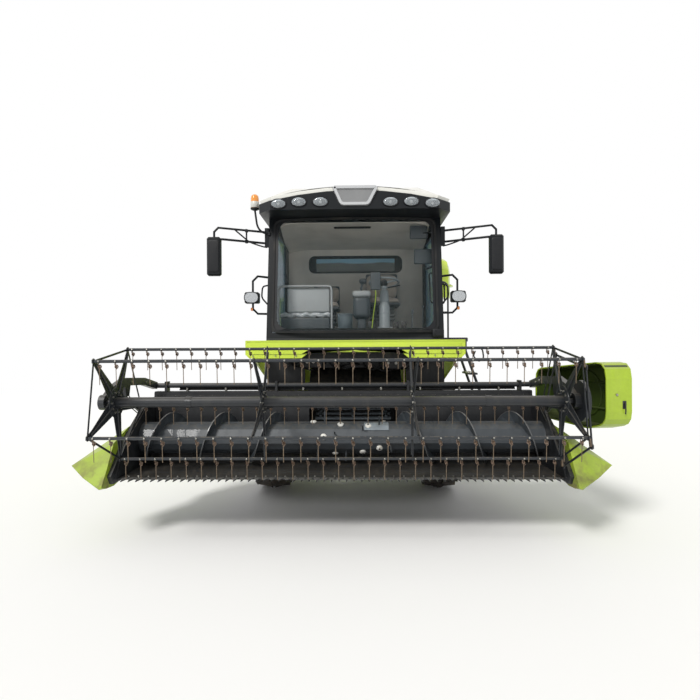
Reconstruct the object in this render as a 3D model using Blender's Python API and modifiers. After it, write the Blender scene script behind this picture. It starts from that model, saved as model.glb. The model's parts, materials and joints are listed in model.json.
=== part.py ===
"""A self-propelled combine harvester with a 4.6 m grain header, parked with its reel down.

Lengths are in metres, +Z is up, the machine faces -Y and its left side is +X. Every place is
given from the front axle's middle on the ground and, on the header, from the header's own
middle. At the end everything is moved so that the origin lies under the middle of the whole.
"""

import math

import bmesh
import bpy
from mathutils import Matrix, Vector

# Gaps between pieces
SEAT_GAP = 0.0003
PIN_GAP = 0.0003
OVERRUN = 0.05
SINK = 0.004

# Wheels and axles
FRONT_TYRE_RADIUS = 0.75
FRONT_TYRE_WIDTH = 0.48
FRONT_RIM_RADIUS = 0.345
FRONT_TRACK = 2.30
REAR_TYRE_RADIUS = 0.55
REAR_TYRE_WIDTH = 0.33
REAR_RIM_RADIUS = 0.25
REAR_TRACK = 2.02
WHEELBASE = 3.60
LUG_HEIGHT = 0.034

# Header
HEADER_MIDDLE_X = -0.16
HEADER_INSIDE = 2.285
SIDE_SHEET = 0.04
KNIFE_Y = -2.09
KNIFE_Z = 0.640
HEADER_BACK_Y = -1.12
HEADER_REAR_Y = -1.035
HEADER_TOP_Z = 1.455
HEADER_SHEET = 0.012
AUGER_Y = -1.45
AUGER_Z = 0.95
AUGER_DRUM_RADIUS = 0.18
AUGER_FLIGHT_RADIUS = 0.29
AUGER_PITCH = 0.60
PAN_CLEARANCE = 0.022

# Reel
REEL_Y = -2.33
REEL_Z = 1.447
REEL_RADIUS = 0.582
REEL_TUBE_RADIUS = 0.051
REEL_BARS = 5
REEL_FIRST_BAR = math.radians(45)
BAR_RADIUS = 0.015
TINES_PER_BAR = 29
TINE_PITCH = 0.1524
TINE_DROP = 0.215
TINE_RADIUS = 0.0042
ECCENTRIC_Y = -0.020
ECCENTRIC_Z = -0.075

# Feeder house
FEEDER_WIDTH = 1.20
FEEDER_SHEET = 0.03
FEEDER_PIVOT_Y = 0.20
FEEDER_PIVOT_Z = 1.60
FEEDER_END_RADIUS = 0.44
FEEDER_LOW_Z = 0.655
FEEDER_HIGH_Z = 1.30

# Body, cab and tank
HULL_HALF_WIDTH = 0.80
BODY_HALF_WIDTH = 1.02
PANEL_STAND = 0.22
PANEL_HALF_WIDTH = BODY_HALF_WIDTH + PANEL_STAND
CAB_HALF_WIDTH = 1.08
CAB_FLOOR_Z = 2.095
CAB_SCREEN_LOW_Y = -1.12
CAB_SCREEN_HIGH_Y = -0.87
CAB_REAR_Y = 0.55
CAB_WALL = 0.05
CAB_GLASS_TOP_Z = 3.58
ROOF_LOW_Z = 3.567
ROOF_EDGE_Z = 3.722
ROOF_CROWN_Z = 3.925
ROOF_FRONT_Y = -1.30
ROOF_HALF_WIDTH = 1.155

# Colours: red, green, blue, roughness, metallic
FINISHES = {
    "lime_paint": (0.62, 0.79, 0.07, 0.40, 0.0),
    "anthracite_paint": (0.045, 0.050, 0.058, 0.50, 0.0),
    "black_plastic": (0.012, 0.012, 0.014, 0.55, 0.0),
    "cream_paint": (0.80, 0.80, 0.74, 0.45, 0.0),
    "worn_steel": (0.36, 0.35, 0.33, 0.42, 0.9),
    "tine_steel": (0.20, 0.13, 0.09, 0.55, 0.6),
    "tyre_rubber": (0.022, 0.021, 0.020, 0.85, 0.0),
    "rim_paint": (0.72, 0.72, 0.68, 0.45, 0.0),
    "tinted_glass": (0.30, 0.40, 0.42, 0.06, 0.0),
    "seat_fabric": (0.05, 0.05, 0.055, 0.90, 0.0),
    "liner_plastic": (0.38, 0.36, 0.32, 0.80, 0.0),
    "mirror_black": (0.02, 0.02, 0.022, 0.50, 0.0),
    "engine_iron": (0.10, 0.10, 0.10, 0.70, 0.5),
    "chrome_rod": (0.75, 0.75, 0.75, 0.15, 1.0),
}

PARTS_NAME = "combine_harvester"
CUTTERS_NAME = "cutters"

# Rims and tyres
RIM_STEPS = 20
HUB_FACE = 0.06
HUB_RADIUS = 0.14
AXLE_STUB_RADIUS = 0.07
DISC_THICK = 0.02
RIM_FLANGE = 0.022
RIM_WALL = 0.012
TYRE_RINGS = (
    # out across the tyre as a share of half its width, up from bead to tread, what stands there
    (-0.80, 0.0, "plain"),
    (-1.0, 0.45, "plain"),
    (-0.90, 0.90, "lugs"),
    (-0.06, 1.0, "lugs"),
    (-0.05, 1.0, "plain"),
    (0.05, 1.0, "plain"),
    (0.06, 1.0, "lugs"),
    (0.90, 0.90, "lugs"),
    (1.0, 0.45, "plain"),
    (0.80, 0.0, "plain"),
)
LUG_SHARE = 0.40
LUG_RAMP_SHARE = 0.08
LUG_LEAN_SHARE = 0.95
RIM_WIDTH_SHARE = 0.80
DISC_SHARE = 0.15
FRONT_LUGS = 15
REAR_LUGS = 12

# Front axle, rails and rear axle
FRONT_AXLE_HALF = 0.80
BEAM_LOW_Z = 0.60
BEAM_HIGH_Z = 0.80
FINAL_DRIVE_RADIUS = 0.19
AXLE_HALF_DEPTH = 0.13
FRONT_HUB_INSET = 0.05
REAR_HUB_INSET = 0.03
RAIL_LOW_Z = 0.93
RAIL_HIGH_Z = 1.05
RAIL_INNER_X = 0.46
RAIL_OUTER_X = 0.58
RAIL_FRONT_Y = 0.22
RAIL_REAR_Y = 4.62
RAIL_STEP_Y = 2.72
RAIL_STEP = 0.20
RAIL_SLOPE = 0.25
KINGPIN_INSET = 0.25
KINGPIN_X = REAR_TRACK / 2 - KINGPIN_INSET
KNUCKLE_LOW_Z = 0.40
KNUCKLE_HIGH_Z = 0.72
KNUCKLE_HALF = 0.06
YOKE_HALF = 0.09
YOKE_THICK = 0.05
REAR_BEAM_LOW_Z = 0.47
REAR_BEAM_HIGH_Z = 0.65
REAR_BEAM_HALF = 0.10

# Steering arm
STEER_ARM = 0.20
STEER_ARM_GAP = 0.012

# Rear axle's pivot
PIVOT_HALF = 0.16

# Cross members and hitch
CROSS_HALF = 0.05
CROSS_FORE_Y = 0.90
CROSS_MID_Y = 1.90
CROSS_MEMBERS = (
    (RAIL_FRONT_Y + CROSS_HALF, 0),
    (CROSS_FORE_Y, 0),
    (CROSS_MID_Y, 0),
    (WHEELBASE - CROSS_HALF, RAIL_STEP),
    (WHEELBASE + CROSS_HALF, RAIL_STEP),
    (RAIL_REAR_Y - CROSS_HALF, RAIL_STEP),
)
HITCH_HALF = 0.16
HITCH_DROP = 0.10
HITCH_THICK = 0.03

# Lift cylinders
LIFT_X = 0.648
LIFT_BARREL_Y = 0.15
LIFT_BARREL_Z = 0.40
LIFT_ROD_Y = -0.75
LIFT_ROD_Z = 0.78
LIFT_EYE_RADIUS = 0.05
LIFT_EYE_HALF = 0.022
LIFT_BRACKET = 0.03
LIFT_BRACKET_ROOT = 0.06
LIFT_PIN_RADIUS = 0.02
LIFT_BARREL_RADIUS = 0.038
LIFT_BARREL_LENGTH = 0.62
LIFT_ROD_RADIUS = 0.022
LIFT_ROD_LENGTH = 0.57
LIFT_EYE_PLAY = 0.008

# Thresher body and service doors
HULL_LOW_Z = RAIL_HIGH_Z + SEAT_GAP
HULL_FRONT_Y = -0.30
HULL_REAR_Y = 4.36
HULL_STEP_Y = 2.72
HULL_REAR_LOW_Z = RAIL_HIGH_Z + RAIL_STEP + SEAT_GAP
HULL_SHOULDER_Z = 2.02
BODY_TOP_Z = 2.80
BODY_FRONT_Y = 0.66
BODY_LOW_Z = 1.56
RECESS_CLEARANCE = 0.03
FEEDER_SIDE_GAP = 0.012
TRUNNION_RADIUS = 0.05
TRUNNION_LENGTH = 0.10
DOOR_LOW_Z = 1.52
DOOR_FRONT_Y = 0.90
DOOR_REAR_Y = 3.95
DOOR_SHEET = 0.03
LEDGE_DEPTH = 0.06
RECESS_STEPS = 28
THROAT_SHARE = 0.66
TRUNNION_SIDES = 20
DOOR_RISE = 0.18
DOOR_CORNER = 0.06
DOOR_TOP_GAP = SEAT_GAP

# Straw hood
HOOD_LENGTH = 0.88
HOOD_WALL = 0.035
HOOD_LOW_Z = 1.30
HOOD_HALF_WIDTH = 0.98
HOOD_TOP_FRONT_Z = 2.62
HOOD_TOP_REAR_Z = 2.05

# Grain tank
TANK_FRONT_Y = 0.72
TANK_REAR_Y = 2.62
TANK_HALF_WIDTH = 1.24
TANK_RIM_Z = 3.80
TANK_WAIST_Z = 3.30
TANK_WALL = 0.04
TANK_FLARE = 0.10
TANK_FLOOR_Z = 2.95

# Unloading tube
TUBE_LENGTH = 3.70
TUBE_RADIUS = 0.15
TUBE_TURN = 0.225
TUBE_RISE_Z = 3.42
UNLOAD_STAND = 0.22
UNLOAD_X = TANK_HALF_WIDTH + UNLOAD_STAND
UNLOAD_Y = 1.45
SPOUT_DROP = 0.38
SPOUT_SHARE = 0.9
UNLOAD_LOW_Z = 3.02

# Engine and its hood
ENGINE_LOW_Z = BODY_TOP_Z + SEAT_GAP
ENGINE_HALF_WIDTH = 0.45
ENGINE_FRONT_Y = 2.80
ENGINE_REAR_Y = 3.90
ENGINE_HEIGHT = 0.55
HOOD_TOP_Z = 3.52
ENGINE_HOOD_FRONT_Y = 2.70
ENGINE_HOOD_REAR_Y = 4.20
ENGINE_HOOD_HALF = 1.10
HOOD_SKIN = 0.03
EXHAUST_X = -0.55
EXHAUST_Y = 3.20
EXHAUST_RADIUS = 0.06
EXHAUST_HEIGHT = 0.34
HOOD_DROP = 0.22

# Cab shell, screen and doors
CAB_BACK_Z = 3.605
POST = 0.06
DECK_LOW_Z = CAB_FLOOR_Z - 0.045
DECK_OUTER_X = 1.42
SILL = 0.07
SCREEN_THICK = 0.012
SCREEN_BOW = 0.09
DOOR_SKIN = 0.035
DOOR_HINGE_Y = 0.34
LAMP_X = 1.25
LAMP_Y = -1.06
LAMP_Z = 2.59
LAMP_HALF_X = 0.088
LAMP_HALF_Z = 0.068
LAMP_DEPTH = 0.10
RAIL_RADIUS = 0.014
SCREEN_CUT_Y = -0.75
REAR_WINDOW_HALF = 0.60
REAR_WINDOW_LOW_Z = 2.90
REAR_WINDOW_HIGH_Z = 3.35
SCREEN_STEPS = 8

# Cab door's edge
DOOR_GAP = 0.006
DOOR_FRAME = 0.045
DOOR_HANDLE_Y = 0.94
DOOR_HANDLE_Z = 2.35

# Roof and visor
ROOF_REAR_Y = 0.62
ROOF_CORNER = 0.16
VISOR_INSET = 0.06
VISOR_SLANT = 0.28
VISOR_RISE = 0.045
CROWN_INSET = 0.02
CROWN_LIP = 0.05
BROW_THICK = 0.03
ROOF_ARCH = 0.115
ARCH_STEPS = 6
CROWN_SLOPE = 0.22

# Deck and ladder
LANDING_FRONT_Y = -0.86
LANDING_REAR_Y = 0.50
BEAM_X = 0.70
BEAM_HALF = 0.03
LADDER_FOOT_X = 1.85
LADDER_FOOT_Z = 0.66
LADDER_FRONT_Y = -0.78
LADDER_REAR_Y = -0.30
LADDER_STRAIGHT = 0.12
LADDER_RAIL_RADIUS = 0.018
LADDER_STEPS = 4
LADDER_END_SHARE = 0.3
STEP_DEPTH = 0.10
STEP_HALF = 0.012

# Fascia
FASCIA_Y = -1.24
FASCIA_THICK = 0.09
FASCIA_HALF = 1.31
FASCIA_TOP_Z = 2.065
FASCIA_SIDE_Z = 1.855
FASCIA_MIDDLE_Z = 1.926
FASCIA_MIDDLE_HALF = 0.55
WING_LOW_Z = 1.47
WING_X = 1.24
WING_THICK = 0.03
WING_REAR_Y = -0.10
WING_TAPER = 0.06

# Side lamp rails
RAIL_Y = LAMP_Y - RAIL_RADIUS
RAIL_TURN = 0.06
LAMP_RAIL_TOP_Z = 2.86
LAMP_RAIL_LOW_Z = 2.40

# Mirrors
MIRROR_X = 1.70
MIRROR_Y = -1.20
MIRROR_Z = 3.09
MIRROR_HALF_X = 0.085
MIRROR_HALF_Z = 0.235
MIRROR_DEPTH = 0.08
ARM_TOP_Z = 3.44
ARM_LOW_Z = 3.30
ARM_BRACKET = 0.05
ARM_BRACKET_HALF = 0.021
ARM_Y = -0.895

# Seats
SEAT_X = 0.38
SEAT_Y = -0.10
SEAT_HALF = 0.24
SEAT_BASE_Z = 2.55
SEAT_THICK = 0.12
SEAT_BACK_HEIGHT = 0.62
PASSENGER_X = -0.42
PASSENGER_HALF = 0.20
PASSENGER_Z = 2.50

# Steering column
COLUMN_X = 0.38
COLUMN_Y = -0.78
WHEEL_Z = 2.83
WHEEL_RADIUS = 0.19
PEDESTAL_SHARE = 0.7
SEAT_SOFT = 0.03
COLUMN_HALF = 0.09
COLUMN_LEAN = 0.16
WHEEL_STEPS = 20
SPOKES = 3
SPOKE_SHARE = 0.25
SPOKE_THIN_SHARE = 0.8

# Feeder house
MOUTH_MIDDLE_X = -0.03
MOUTH_HALF = 0.54
MOUTH_LOW_Z = 0.72
MOUTH_HIGH_Z = 1.25
FEEDER_ROD_EAR = 0.10
FEEDER_ARC_STEPS = 10
OUTLET_HALF = 0.26

# Header trough and frame
PAN_FRONT_Y = KNIFE_Y + 0.04
PAN_RADIUS = AUGER_FLIGHT_RADIUS + PAN_CLEARANCE
PAN_STEPS = 7
BEAM_DEPTH = 0.10
RIB_THICK = 0.02
RIB_SHARES = (-0.96, -0.62, 0.62, 0.96)
SIDE_TOP_Z = 1.385
SHEET_NOSE_Y = -2.235
SHEET_LOW_Z = 0.605
ARM_PIVOT_Y = -1.088
ARM_PIVOT_Z = 1.525
ARM_PIVOT_RADIUS = 0.03
EAR_HALF = 0.05
EAR_THICK = 0.03
EAR_SHARES = (-0.94, -0.35, 0.35, 0.94)
COVER_HINGE_X = 2.25
COVER_HINGE_Y = -0.87
COVER_HINGE_RADIUS = 0.018
SHAFT_RADIUS = 0.03
SHAFT_SIDES = 16

# Header's sides
SIDE_RUN = 0.17
SIDE_STEP = 0.36
SIDE_NOSE = 0.05
DIVIDER_REAR_Y = -1.36
DIVIDER_REACH = 0.98
DIVIDER_WING = 0.44
DIVIDER_LOW_Z = 0.55
DIVIDER_RISE = 0.62
DIVIDER_SHARES = (
    # shares: forwards, ridge's rise, wing's reach, wing's rise, underside's reach, its rise
    (0.000, 1.000, 0.114, 0.758, 0.091, 0.210),
    (0.398, 0.919, 0.591, 0.565, 0.227, 0.097),
    (0.745, 0.726, 1.000, 0.355, 0.295, 0.000),
    (0.898, 0.339, 0.545, 0.210, 0.182, 0.016),
    (1.000, 0.121, 0.080, 0.105, 0.057, 0.065),
)
DIVIDER_HEEL = 0.03

# Cutterbar
GUARD_PITCH = 0.0762
GUARD_LENGTH = 0.105
GUARD_ROOT_HALF = 0.012
BAR_THICK = 0.014

# Drive cover
COVER_LENGTH = 1.44
COVER_DEPTH = 0.27
COVER_WALL = 0.012
COVER_LOW_Z = 1.125
COVER_REAR_TOP_Z = 1.71
COVER_FRONT_TOP_Z = 1.83
COVER_OPEN = math.radians(8)
COVER_CORNER = 0.16

# Auger
AUGER_HALF = 2.272
FLIGHT_INNER_X = 0.52
FLIGHT_THICK = 0.008
FLIGHT_STEPS = 12
FINGER_REACH = 0.303
FINGER_RADIUS = 0.009
FINGER_SIDES = 5
FINGER_PLACES = (
    # place along the drum and turn, as shares of the finger section and of a full turn
    (-0.86, 0.02),
    (-0.62, 0.22),
    (-0.38, 0.44),
    (-0.14, 0.64),
    (0.10, 0.86),
    (0.34, 0.10),
    (0.58, 0.34),
    (0.82, 0.56),
    (-0.74, 0.60),
    (-0.26, 0.08),
    (0.22, 0.40),
    (0.70, 0.90),
)
DRUM_SIDES = 14
FINGER_SHIFT = MOUTH_MIDDLE_X - HEADER_MIDDLE_X

# Reel arms
ARM_X = 2.30
ARM_HALF = 0.03
ARM_DEPTH = 0.042
ROD_EAR_RISE = 0.105
ARM_KNEE_Y = -1.45
ARM_KNEE_Z = 1.60
ARM_CREST_Y = -1.92
ARM_CREST_Z = 1.625
ARM_NECK_Y = -2.16
ARM_NECK_Z = 1.56
ARM_LINE = (
    # y and z of the arm's middle line from its pivot to the reel's bearing
    (ARM_PIVOT_Y, ARM_PIVOT_Z),
    (ARM_KNEE_Y, ARM_KNEE_Z),
    (ARM_CREST_Y, ARM_CREST_Z),
    (ARM_NECK_Y, ARM_NECK_Z),
    (REEL_Y, REEL_Z),
)
BEARING_RADIUS = 0.075
STUB_RADIUS = 0.024
# Reel cylinders
REEL_CYLINDER_X = 2.36
REEL_EYE_HALF = 0.018
REEL_EYE_RADIUS = 0.036
REEL_PIN_RADIUS = 0.014
REEL_BARREL_Y = -1.30
REEL_BARREL_Z = 1.22
REEL_ROD_Y = -1.85
REEL_ROD_Z = 1.50
REEL_BARREL_RADIUS = 0.030
REEL_ROD_RADIUS = 0.016
REEL_BARREL_LENGTH = 0.48
REEL_ROD_LENGTH = 0.42
REEL_EYE_PLAY = 0.006

# Reel's spiders and shaft
SPIDER_END_X = 2.185
SPIDER_INNER_X = 0.735
SPIDER_PLACES = (-SPIDER_END_X, -SPIDER_INNER_X, SPIDER_INNER_X, SPIDER_END_X)
SPIDER_THICK = 0.010
SPIDER_ARM_HALF = 0.020
BOSS_RADIUS = 0.028
BAR_SIDES = 6
SHEAVE_RADIUS = 0.20
SHEAVE_LOW_X = ARM_X + ARM_HALF + SEAT_GAP
SHEAVE_THICK = 0.035
CRANK_GAP = SEAT_GAP
CRANK_THICK = 0.012
CRANK_PIN_RADIUS = 0.008

# Tines
TINE_RAKE = 0.012
TINE_SIDES = 3

# Cylinders' necks
NECK_SHARE = 1.9


def start_scene():
    """An empty scene with one collection for the parts and one for the shapes that cut them."""
    for old in list(bpy.data.objects):
        bpy.data.objects.remove(old)
    made = []
    for name in (PARTS_NAME, CUTTERS_NAME):
        collection = bpy.data.collections.new(name)
        bpy.context.scene.collection.children.link(collection)
        made.append(collection)
    return made


PARTS, CUTTERS = start_scene()
MACHINE = bpy.data.objects.new("machine", None)
PARTS.objects.link(MACHINE)
JOINTS = {}
PLACES = {}
EMPTY_SIZE = 0.1
WELD = 0.000002
SMOOTH_UNDER = math.radians(35)


def finish(name):
    """The material of this name, made when it is first asked for."""
    made = bpy.data.materials.get(name)
    if made:
        return made
    red, green, blue, roughness, metallic = FINISHES[name]
    made = bpy.data.materials.new(name)
    made.use_nodes = True
    shader = made.node_tree.nodes["Principled BSDF"]
    shader.inputs["Base Color"].default_value = (red, green, blue, 1.0)
    shader.inputs["Roughness"].default_value = roughness
    shader.inputs["Metallic"].default_value = metallic
    return made


# Shapes: each function gives a mesh in the machine's own place

def mesh_from(bm):
    mesh = bpy.data.meshes.new("shape")
    bm.to_mesh(mesh)
    bm.free()
    return mesh


def mesh_of(obj):
    """The evaluated mesh of a helper object in world place, welded, with the helper removed."""
    bpy.context.view_layer.update()
    graph = bpy.context.evaluated_depsgraph_get()
    mesh = bpy.data.meshes.new_from_object(obj.evaluated_get(graph))
    mesh.transform(obj.matrix_world)
    bm = bmesh.new()
    bm.from_mesh(mesh)
    bmesh.ops.remove_doubles(bm, verts=bm.verts, dist=WELD)
    bmesh.ops.recalc_face_normals(bm, faces=bm.faces)
    bm.to_mesh(mesh)
    bm.free()
    bpy.data.objects.remove(obj)
    return mesh


def box(low, high, bevel=0):
    """A box from its low corner to its high corner, its edges rounded off if bevel is given."""
    size = Vector(high) - Vector(low)
    middle = (Vector(high) + Vector(low)) / 2
    bm = bmesh.new()
    place = Matrix.Translation(middle) @ Matrix.Diagonal((*size, 1))
    bmesh.ops.create_cube(bm, size=1, matrix=place)
    if bevel:
        bmesh.ops.bevel(bm, geom=list(bm.edges), offset=bevel, segments=1, affect="EDGES")
    return mesh_from(bm)


def rod(start, end, radius, sides=12, end_radius=None):
    """A round bar between two points, or a cone where its end radius differs."""
    start, end = Vector(start), Vector(end)
    along = end - start
    bm = bmesh.new()
    turn = along.to_track_quat("Z", "Y").to_matrix().to_4x4()
    place = Matrix.Translation((start + end) / 2) @ turn
    bmesh.ops.create_cone(
        bm,
        cap_ends=True,
        segments=sides,
        radius1=radius,
        radius2=radius if end_radius is None else end_radius,
        depth=along.length,
        matrix=place,
    )
    return mesh_from(bm)


def tube(points, radius, sides=2, cyclic=False):
    """A bent tube or rail along these points."""
    curve = bpy.data.curves.new("tube", "CURVE")
    curve.dimensions = "3D"
    curve.bevel_depth = radius
    curve.bevel_resolution = sides
    curve.use_fill_caps = True
    spline = curve.splines.new("POLY")
    spline.points.add(len(points) - 1)
    spline.use_cyclic_u = cyclic
    for point, place in zip(spline.points, points):
        point.co = (*place, 1)
    obj = bpy.data.objects.new("tube", curve)
    PARTS.objects.link(obj)
    return mesh_of(obj)


def plate(outline, axis, low, high):
    """A flat outline made thick along one axis, from low to high.

    Along X the outline holds (y, z), along Y it holds (x, z) and along Z it holds (x, y).
    """
    curve = bpy.data.curves.new("plate", "CURVE")
    curve.dimensions = "2D"
    curve.fill_mode = "BOTH"
    curve.extrude = (high - low) / 2
    spline = curve.splines.new("POLY")
    spline.points.add(len(outline) - 1)
    spline.use_cyclic_u = True
    for point, (across, up) in zip(spline.points, outline):
        point.co = (across, up, 0, 1)
    obj = bpy.data.objects.new("plate", curve)
    PARTS.objects.link(obj)
    middle = (low + high) / 2
    turns = {
        "X": ((0, 0, 1, middle), (1, 0, 0, 0), (0, 1, 0, 0), (0, 0, 0, 1)),
        "Y": ((1, 0, 0, 0), (0, 0, -1, middle), (0, 1, 0, 0), (0, 0, 0, 1)),
        "Z": ((1, 0, 0, 0), (0, 1, 0, 0), (0, 0, 1, middle), (0, 0, 0, 1)),
    }
    obj.matrix_world = Matrix(turns[axis])
    return mesh_of(obj)


def turned(profile, steps, axis="Z"):
    """A turned shape. The profile holds (radius, height) down its outer side."""
    mesh = bpy.data.meshes.new("profile")
    count = len(profile)
    places = [(radius, 0, height) for radius, height in profile]
    closed = min(radius for radius, height in profile) > 0
    edges = [(i, (i + 1) % count) for i in range(count if closed else count - 1)]
    mesh.from_pydata(places, edges, [])
    obj = bpy.data.objects.new("turned", mesh)
    PARTS.objects.link(obj)
    screw = obj.modifiers.new("Screw", "SCREW")
    screw.steps = steps
    screw.render_steps = steps
    screw.use_merge_vertices = True
    screw.merge_threshold = WELD
    if axis == "X":
        obj.rotation_euler = (0, math.pi / 2, 0)
    elif axis == "Y":
        obj.rotation_euler = (math.pi / 2, 0, 0)
    return mesh_of(obj)


def loft(sections, round_again=False):
    """A closed solid through sections with the same number of points, its ends filled or joined."""
    bm = bmesh.new()
    rings = [[bm.verts.new(point) for point in section] for section in sections]
    for one, two in zip(rings, rings[1:] + rings[:1] if round_again else rings[1:]):
        for i in range(len(one)):
            j = (i + 1) % len(one)
            # both faces of a thin twisted sheet are split along the same line
            if i < len(one) / 2:
                halves = ((one[i], one[j], two[j]), (one[i], two[j], two[i]))
            else:
                halves = ((one[i], one[j], two[i]), (one[j], two[j], two[i]))
            for half in halves:
                bm.faces.new(half)
    if not round_again:
        bm.faces.new(rings[0])
        bm.faces.new(rings[-1])
    bmesh.ops.recalc_face_normals(bm, faces=bm.faces)
    bmesh.ops.triangulate(bm, faces=[face for face in bm.faces if len(face.verts) > 3])
    return mesh_from(bm)


def moved(mesh, matrix):
    """A copy of a mesh in another place, turned outside out again if the matrix mirrors it."""
    copy = mesh.copy()
    copy.transform(matrix)
    if matrix.determinant() < 0:
        copy.flip_normals()
    return copy


def shifted(mesh, x=0, y=0, z=0):
    return moved(mesh, Matrix.Translation((x, y, z)))


def mirrored(mesh, middle=0):
    """The mesh on the other side of the plane at x = middle."""
    across = Matrix.Diagonal((-1, 1, 1, 1))
    across.translation = (2 * middle, 0, 0)
    return moved(mesh, across)


def both_sides(meshes, middle=0):
    return list(meshes) + [mirrored(mesh, middle) for mesh in meshes]


def turned_about(mesh, point, axis, angle):
    """The mesh turned about an axis through a point."""
    there = Matrix.Translation(point)
    return moved(mesh, there @ Matrix.Rotation(angle, 4, axis) @ there.inverted())


def arc(centre, radius, start, end, steps):
    """Points along an arc in an outline's own two directions, angles in degrees."""
    points = []
    for i in range(steps + 1):
        angle = math.radians(start + (end - start) * i / steps)
        points.append(
            (centre[0] + radius * math.cos(angle), centre[1] + radius * math.sin(angle))
        )
    return points


def rounded(corners, radius, steps=3):
    """The outline with its corners rounded, each corner (a, b), turning either way."""
    points = []
    count = len(corners)
    for i in range(count):
        before, here, after = (Vector(corners[(i + k) % count]) for k in (-1, 0, 1))
        to_before, to_after = (before - here), (after - here)
        angle = to_before.angle(to_after)
        reach = radius / math.tan(angle / 2)
        limit = min(to_before.length, to_after.length) / 2
        reach = min(reach, limit)
        one = here + to_before.normalized() * reach
        two = here + to_after.normalized() * reach
        for k in range(steps + 1):
            share = k / steps
            point = one * (1 - share) ** 2 + here * 2 * share * (1 - share) + two * share**2
            points.append((point.x, point.y))
    return points


def helper(mesh, collection):
    obj = bpy.data.objects.new("helper", mesh)
    collection.objects.link(obj)
    return obj


def fused(pieces, cuts=()):
    """One mesh from overlapping pieces, with the cuts taken out of it."""
    base = helper(pieces[0], PARTS)
    groups = []
    for operation, meshes in (("UNION", pieces[1:]), ("DIFFERENCE", cuts)):
        if not meshes:
            continue
        group = bpy.data.collections.new(operation)
        CUTTERS.children.link(group)
        helpers = [helper(mesh, group) for mesh in meshes]
        boolean = base.modifiers.new(operation, "BOOLEAN")
        boolean.operation = operation
        boolean.operand_type = "COLLECTION"
        boolean.collection = group
        boolean.solver = "EXACT"
        groups.append((group, helpers))
    mesh = mesh_of(base)
    for group, helpers in groups:
        for one in helpers:
            bpy.data.objects.remove(one)
        bpy.data.collections.remove(group)
    return mesh


def node(name, mesh, finish_name, joint=None, smooth=False):
    """A named object of the machine, with its origin on its joint's axis if it moves."""
    mesh.name = name
    mesh.materials.clear()
    mesh.materials.append(finish(finish_name))
    obj = bpy.data.objects.new(name, mesh)
    PARTS.objects.link(obj)
    if smooth:
        mesh.shade_smooth()
        mesh.set_sharp_from_angle(angle=SMOOTH_UNDER)
    if joint:
        mesh.transform(Matrix.Translation(-PLACES[joint]))
        obj.parent = JOINTS[joint]
    else:
        obj.parent = MACHINE
    return obj


def joint_at(name, place, carrier=None):
    """An empty on a joint's axis, carried by the machine or by another joint's body."""
    empty = bpy.data.objects.new(name + "_axis", None)
    empty.empty_display_size = EMPTY_SIZE
    PARTS.objects.link(empty)
    parent = JOINTS[carrier] if carrier else MACHINE
    empty.parent = parent
    bpy.context.view_layer.update()
    JOINTS[name] = empty
    PLACES[name] = Vector(place)
    empty.location = Vector(place) - (PLACES[carrier] if carrier else Vector())
    return empty


# Wheels and axles


def tyre_mesh(radius, width, rim_radius, lugs):
    """A tractor tyre about X: rings of points, raised into tread bars that lean back outwards."""
    tread = radius - LUG_HEIGHT
    pitch = 2 * math.pi / lugs
    widest = pitch * (1 - LUG_SHARE - 2 * LUG_RAMP_SHARE)
    seat = (rim_radius + SEAT_GAP) / math.cos(widest / 2)
    rings = []
    for out_share, up_share, kind in TYRE_RINGS:
        x = width / 2 * out_share
        base = seat + (tread - seat) * up_share
        lean = abs(out_share) * LUG_LEAN_SHARE * pitch + (pitch / 2 if out_share > 0 else 0)
        if up_share == 0:
            lean = pitch
        rise = LUG_HEIGHT if kind == "lugs" else 0
        ring = []
        for i in range(lugs):
            for at_share, up in (
                (0, 0),
                (LUG_RAMP_SHARE, rise),
                (LUG_RAMP_SHARE + LUG_SHARE, rise),
                (2 * LUG_RAMP_SHARE + LUG_SHARE, 0),
            ):
                angle = (i + at_share) * pitch + lean
                reach = base + up
                ring.append((x, reach * math.cos(angle), reach * math.sin(angle)))
        rings.append(ring)
    return loft(rings, True)


def rim_mesh(rim_radius, width, outward, hub_inset):
    """A dished steel wheel about X: rim, disc and hub, with its hub's seat on the inner side."""
    half = width / 2 * RIM_WIDTH_SHARE
    flange = half - RIM_FLANGE
    barrel = rim_radius - RIM_WALL
    rings = [
        (rim_radius, flange),
        (rim_radius, -flange),
        (barrel, -flange),
        (barrel, flange),
    ]
    disc_x = half * DISC_SHARE
    hub_back = -half + hub_inset
    disc = [
        (0, disc_x + HUB_FACE),
        (HUB_RADIUS, disc_x + HUB_FACE),
        (HUB_RADIUS + HUB_FACE, disc_x),
        (barrel + RIM_WALL / 2, disc_x - HUB_FACE),
        (barrel + RIM_WALL / 2, disc_x - HUB_FACE - DISC_THICK),
        (HUB_RADIUS + HUB_FACE, disc_x - DISC_THICK),
        (HUB_RADIUS, hub_back),
        (0, hub_back),
    ]
    mesh = fused([turned(rings, RIM_STEPS, "X"), turned(disc, RIM_STEPS, "X")])
    if outward < 0:
        mesh = mirrored(mesh)
    return mesh


def hub_seat(track, width, hub_inset):
    """How far out the hub's inner face lies, where the axle's stub ends."""
    return track / 2 - width / 2 * RIM_WIDTH_SHARE + hub_inset


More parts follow.
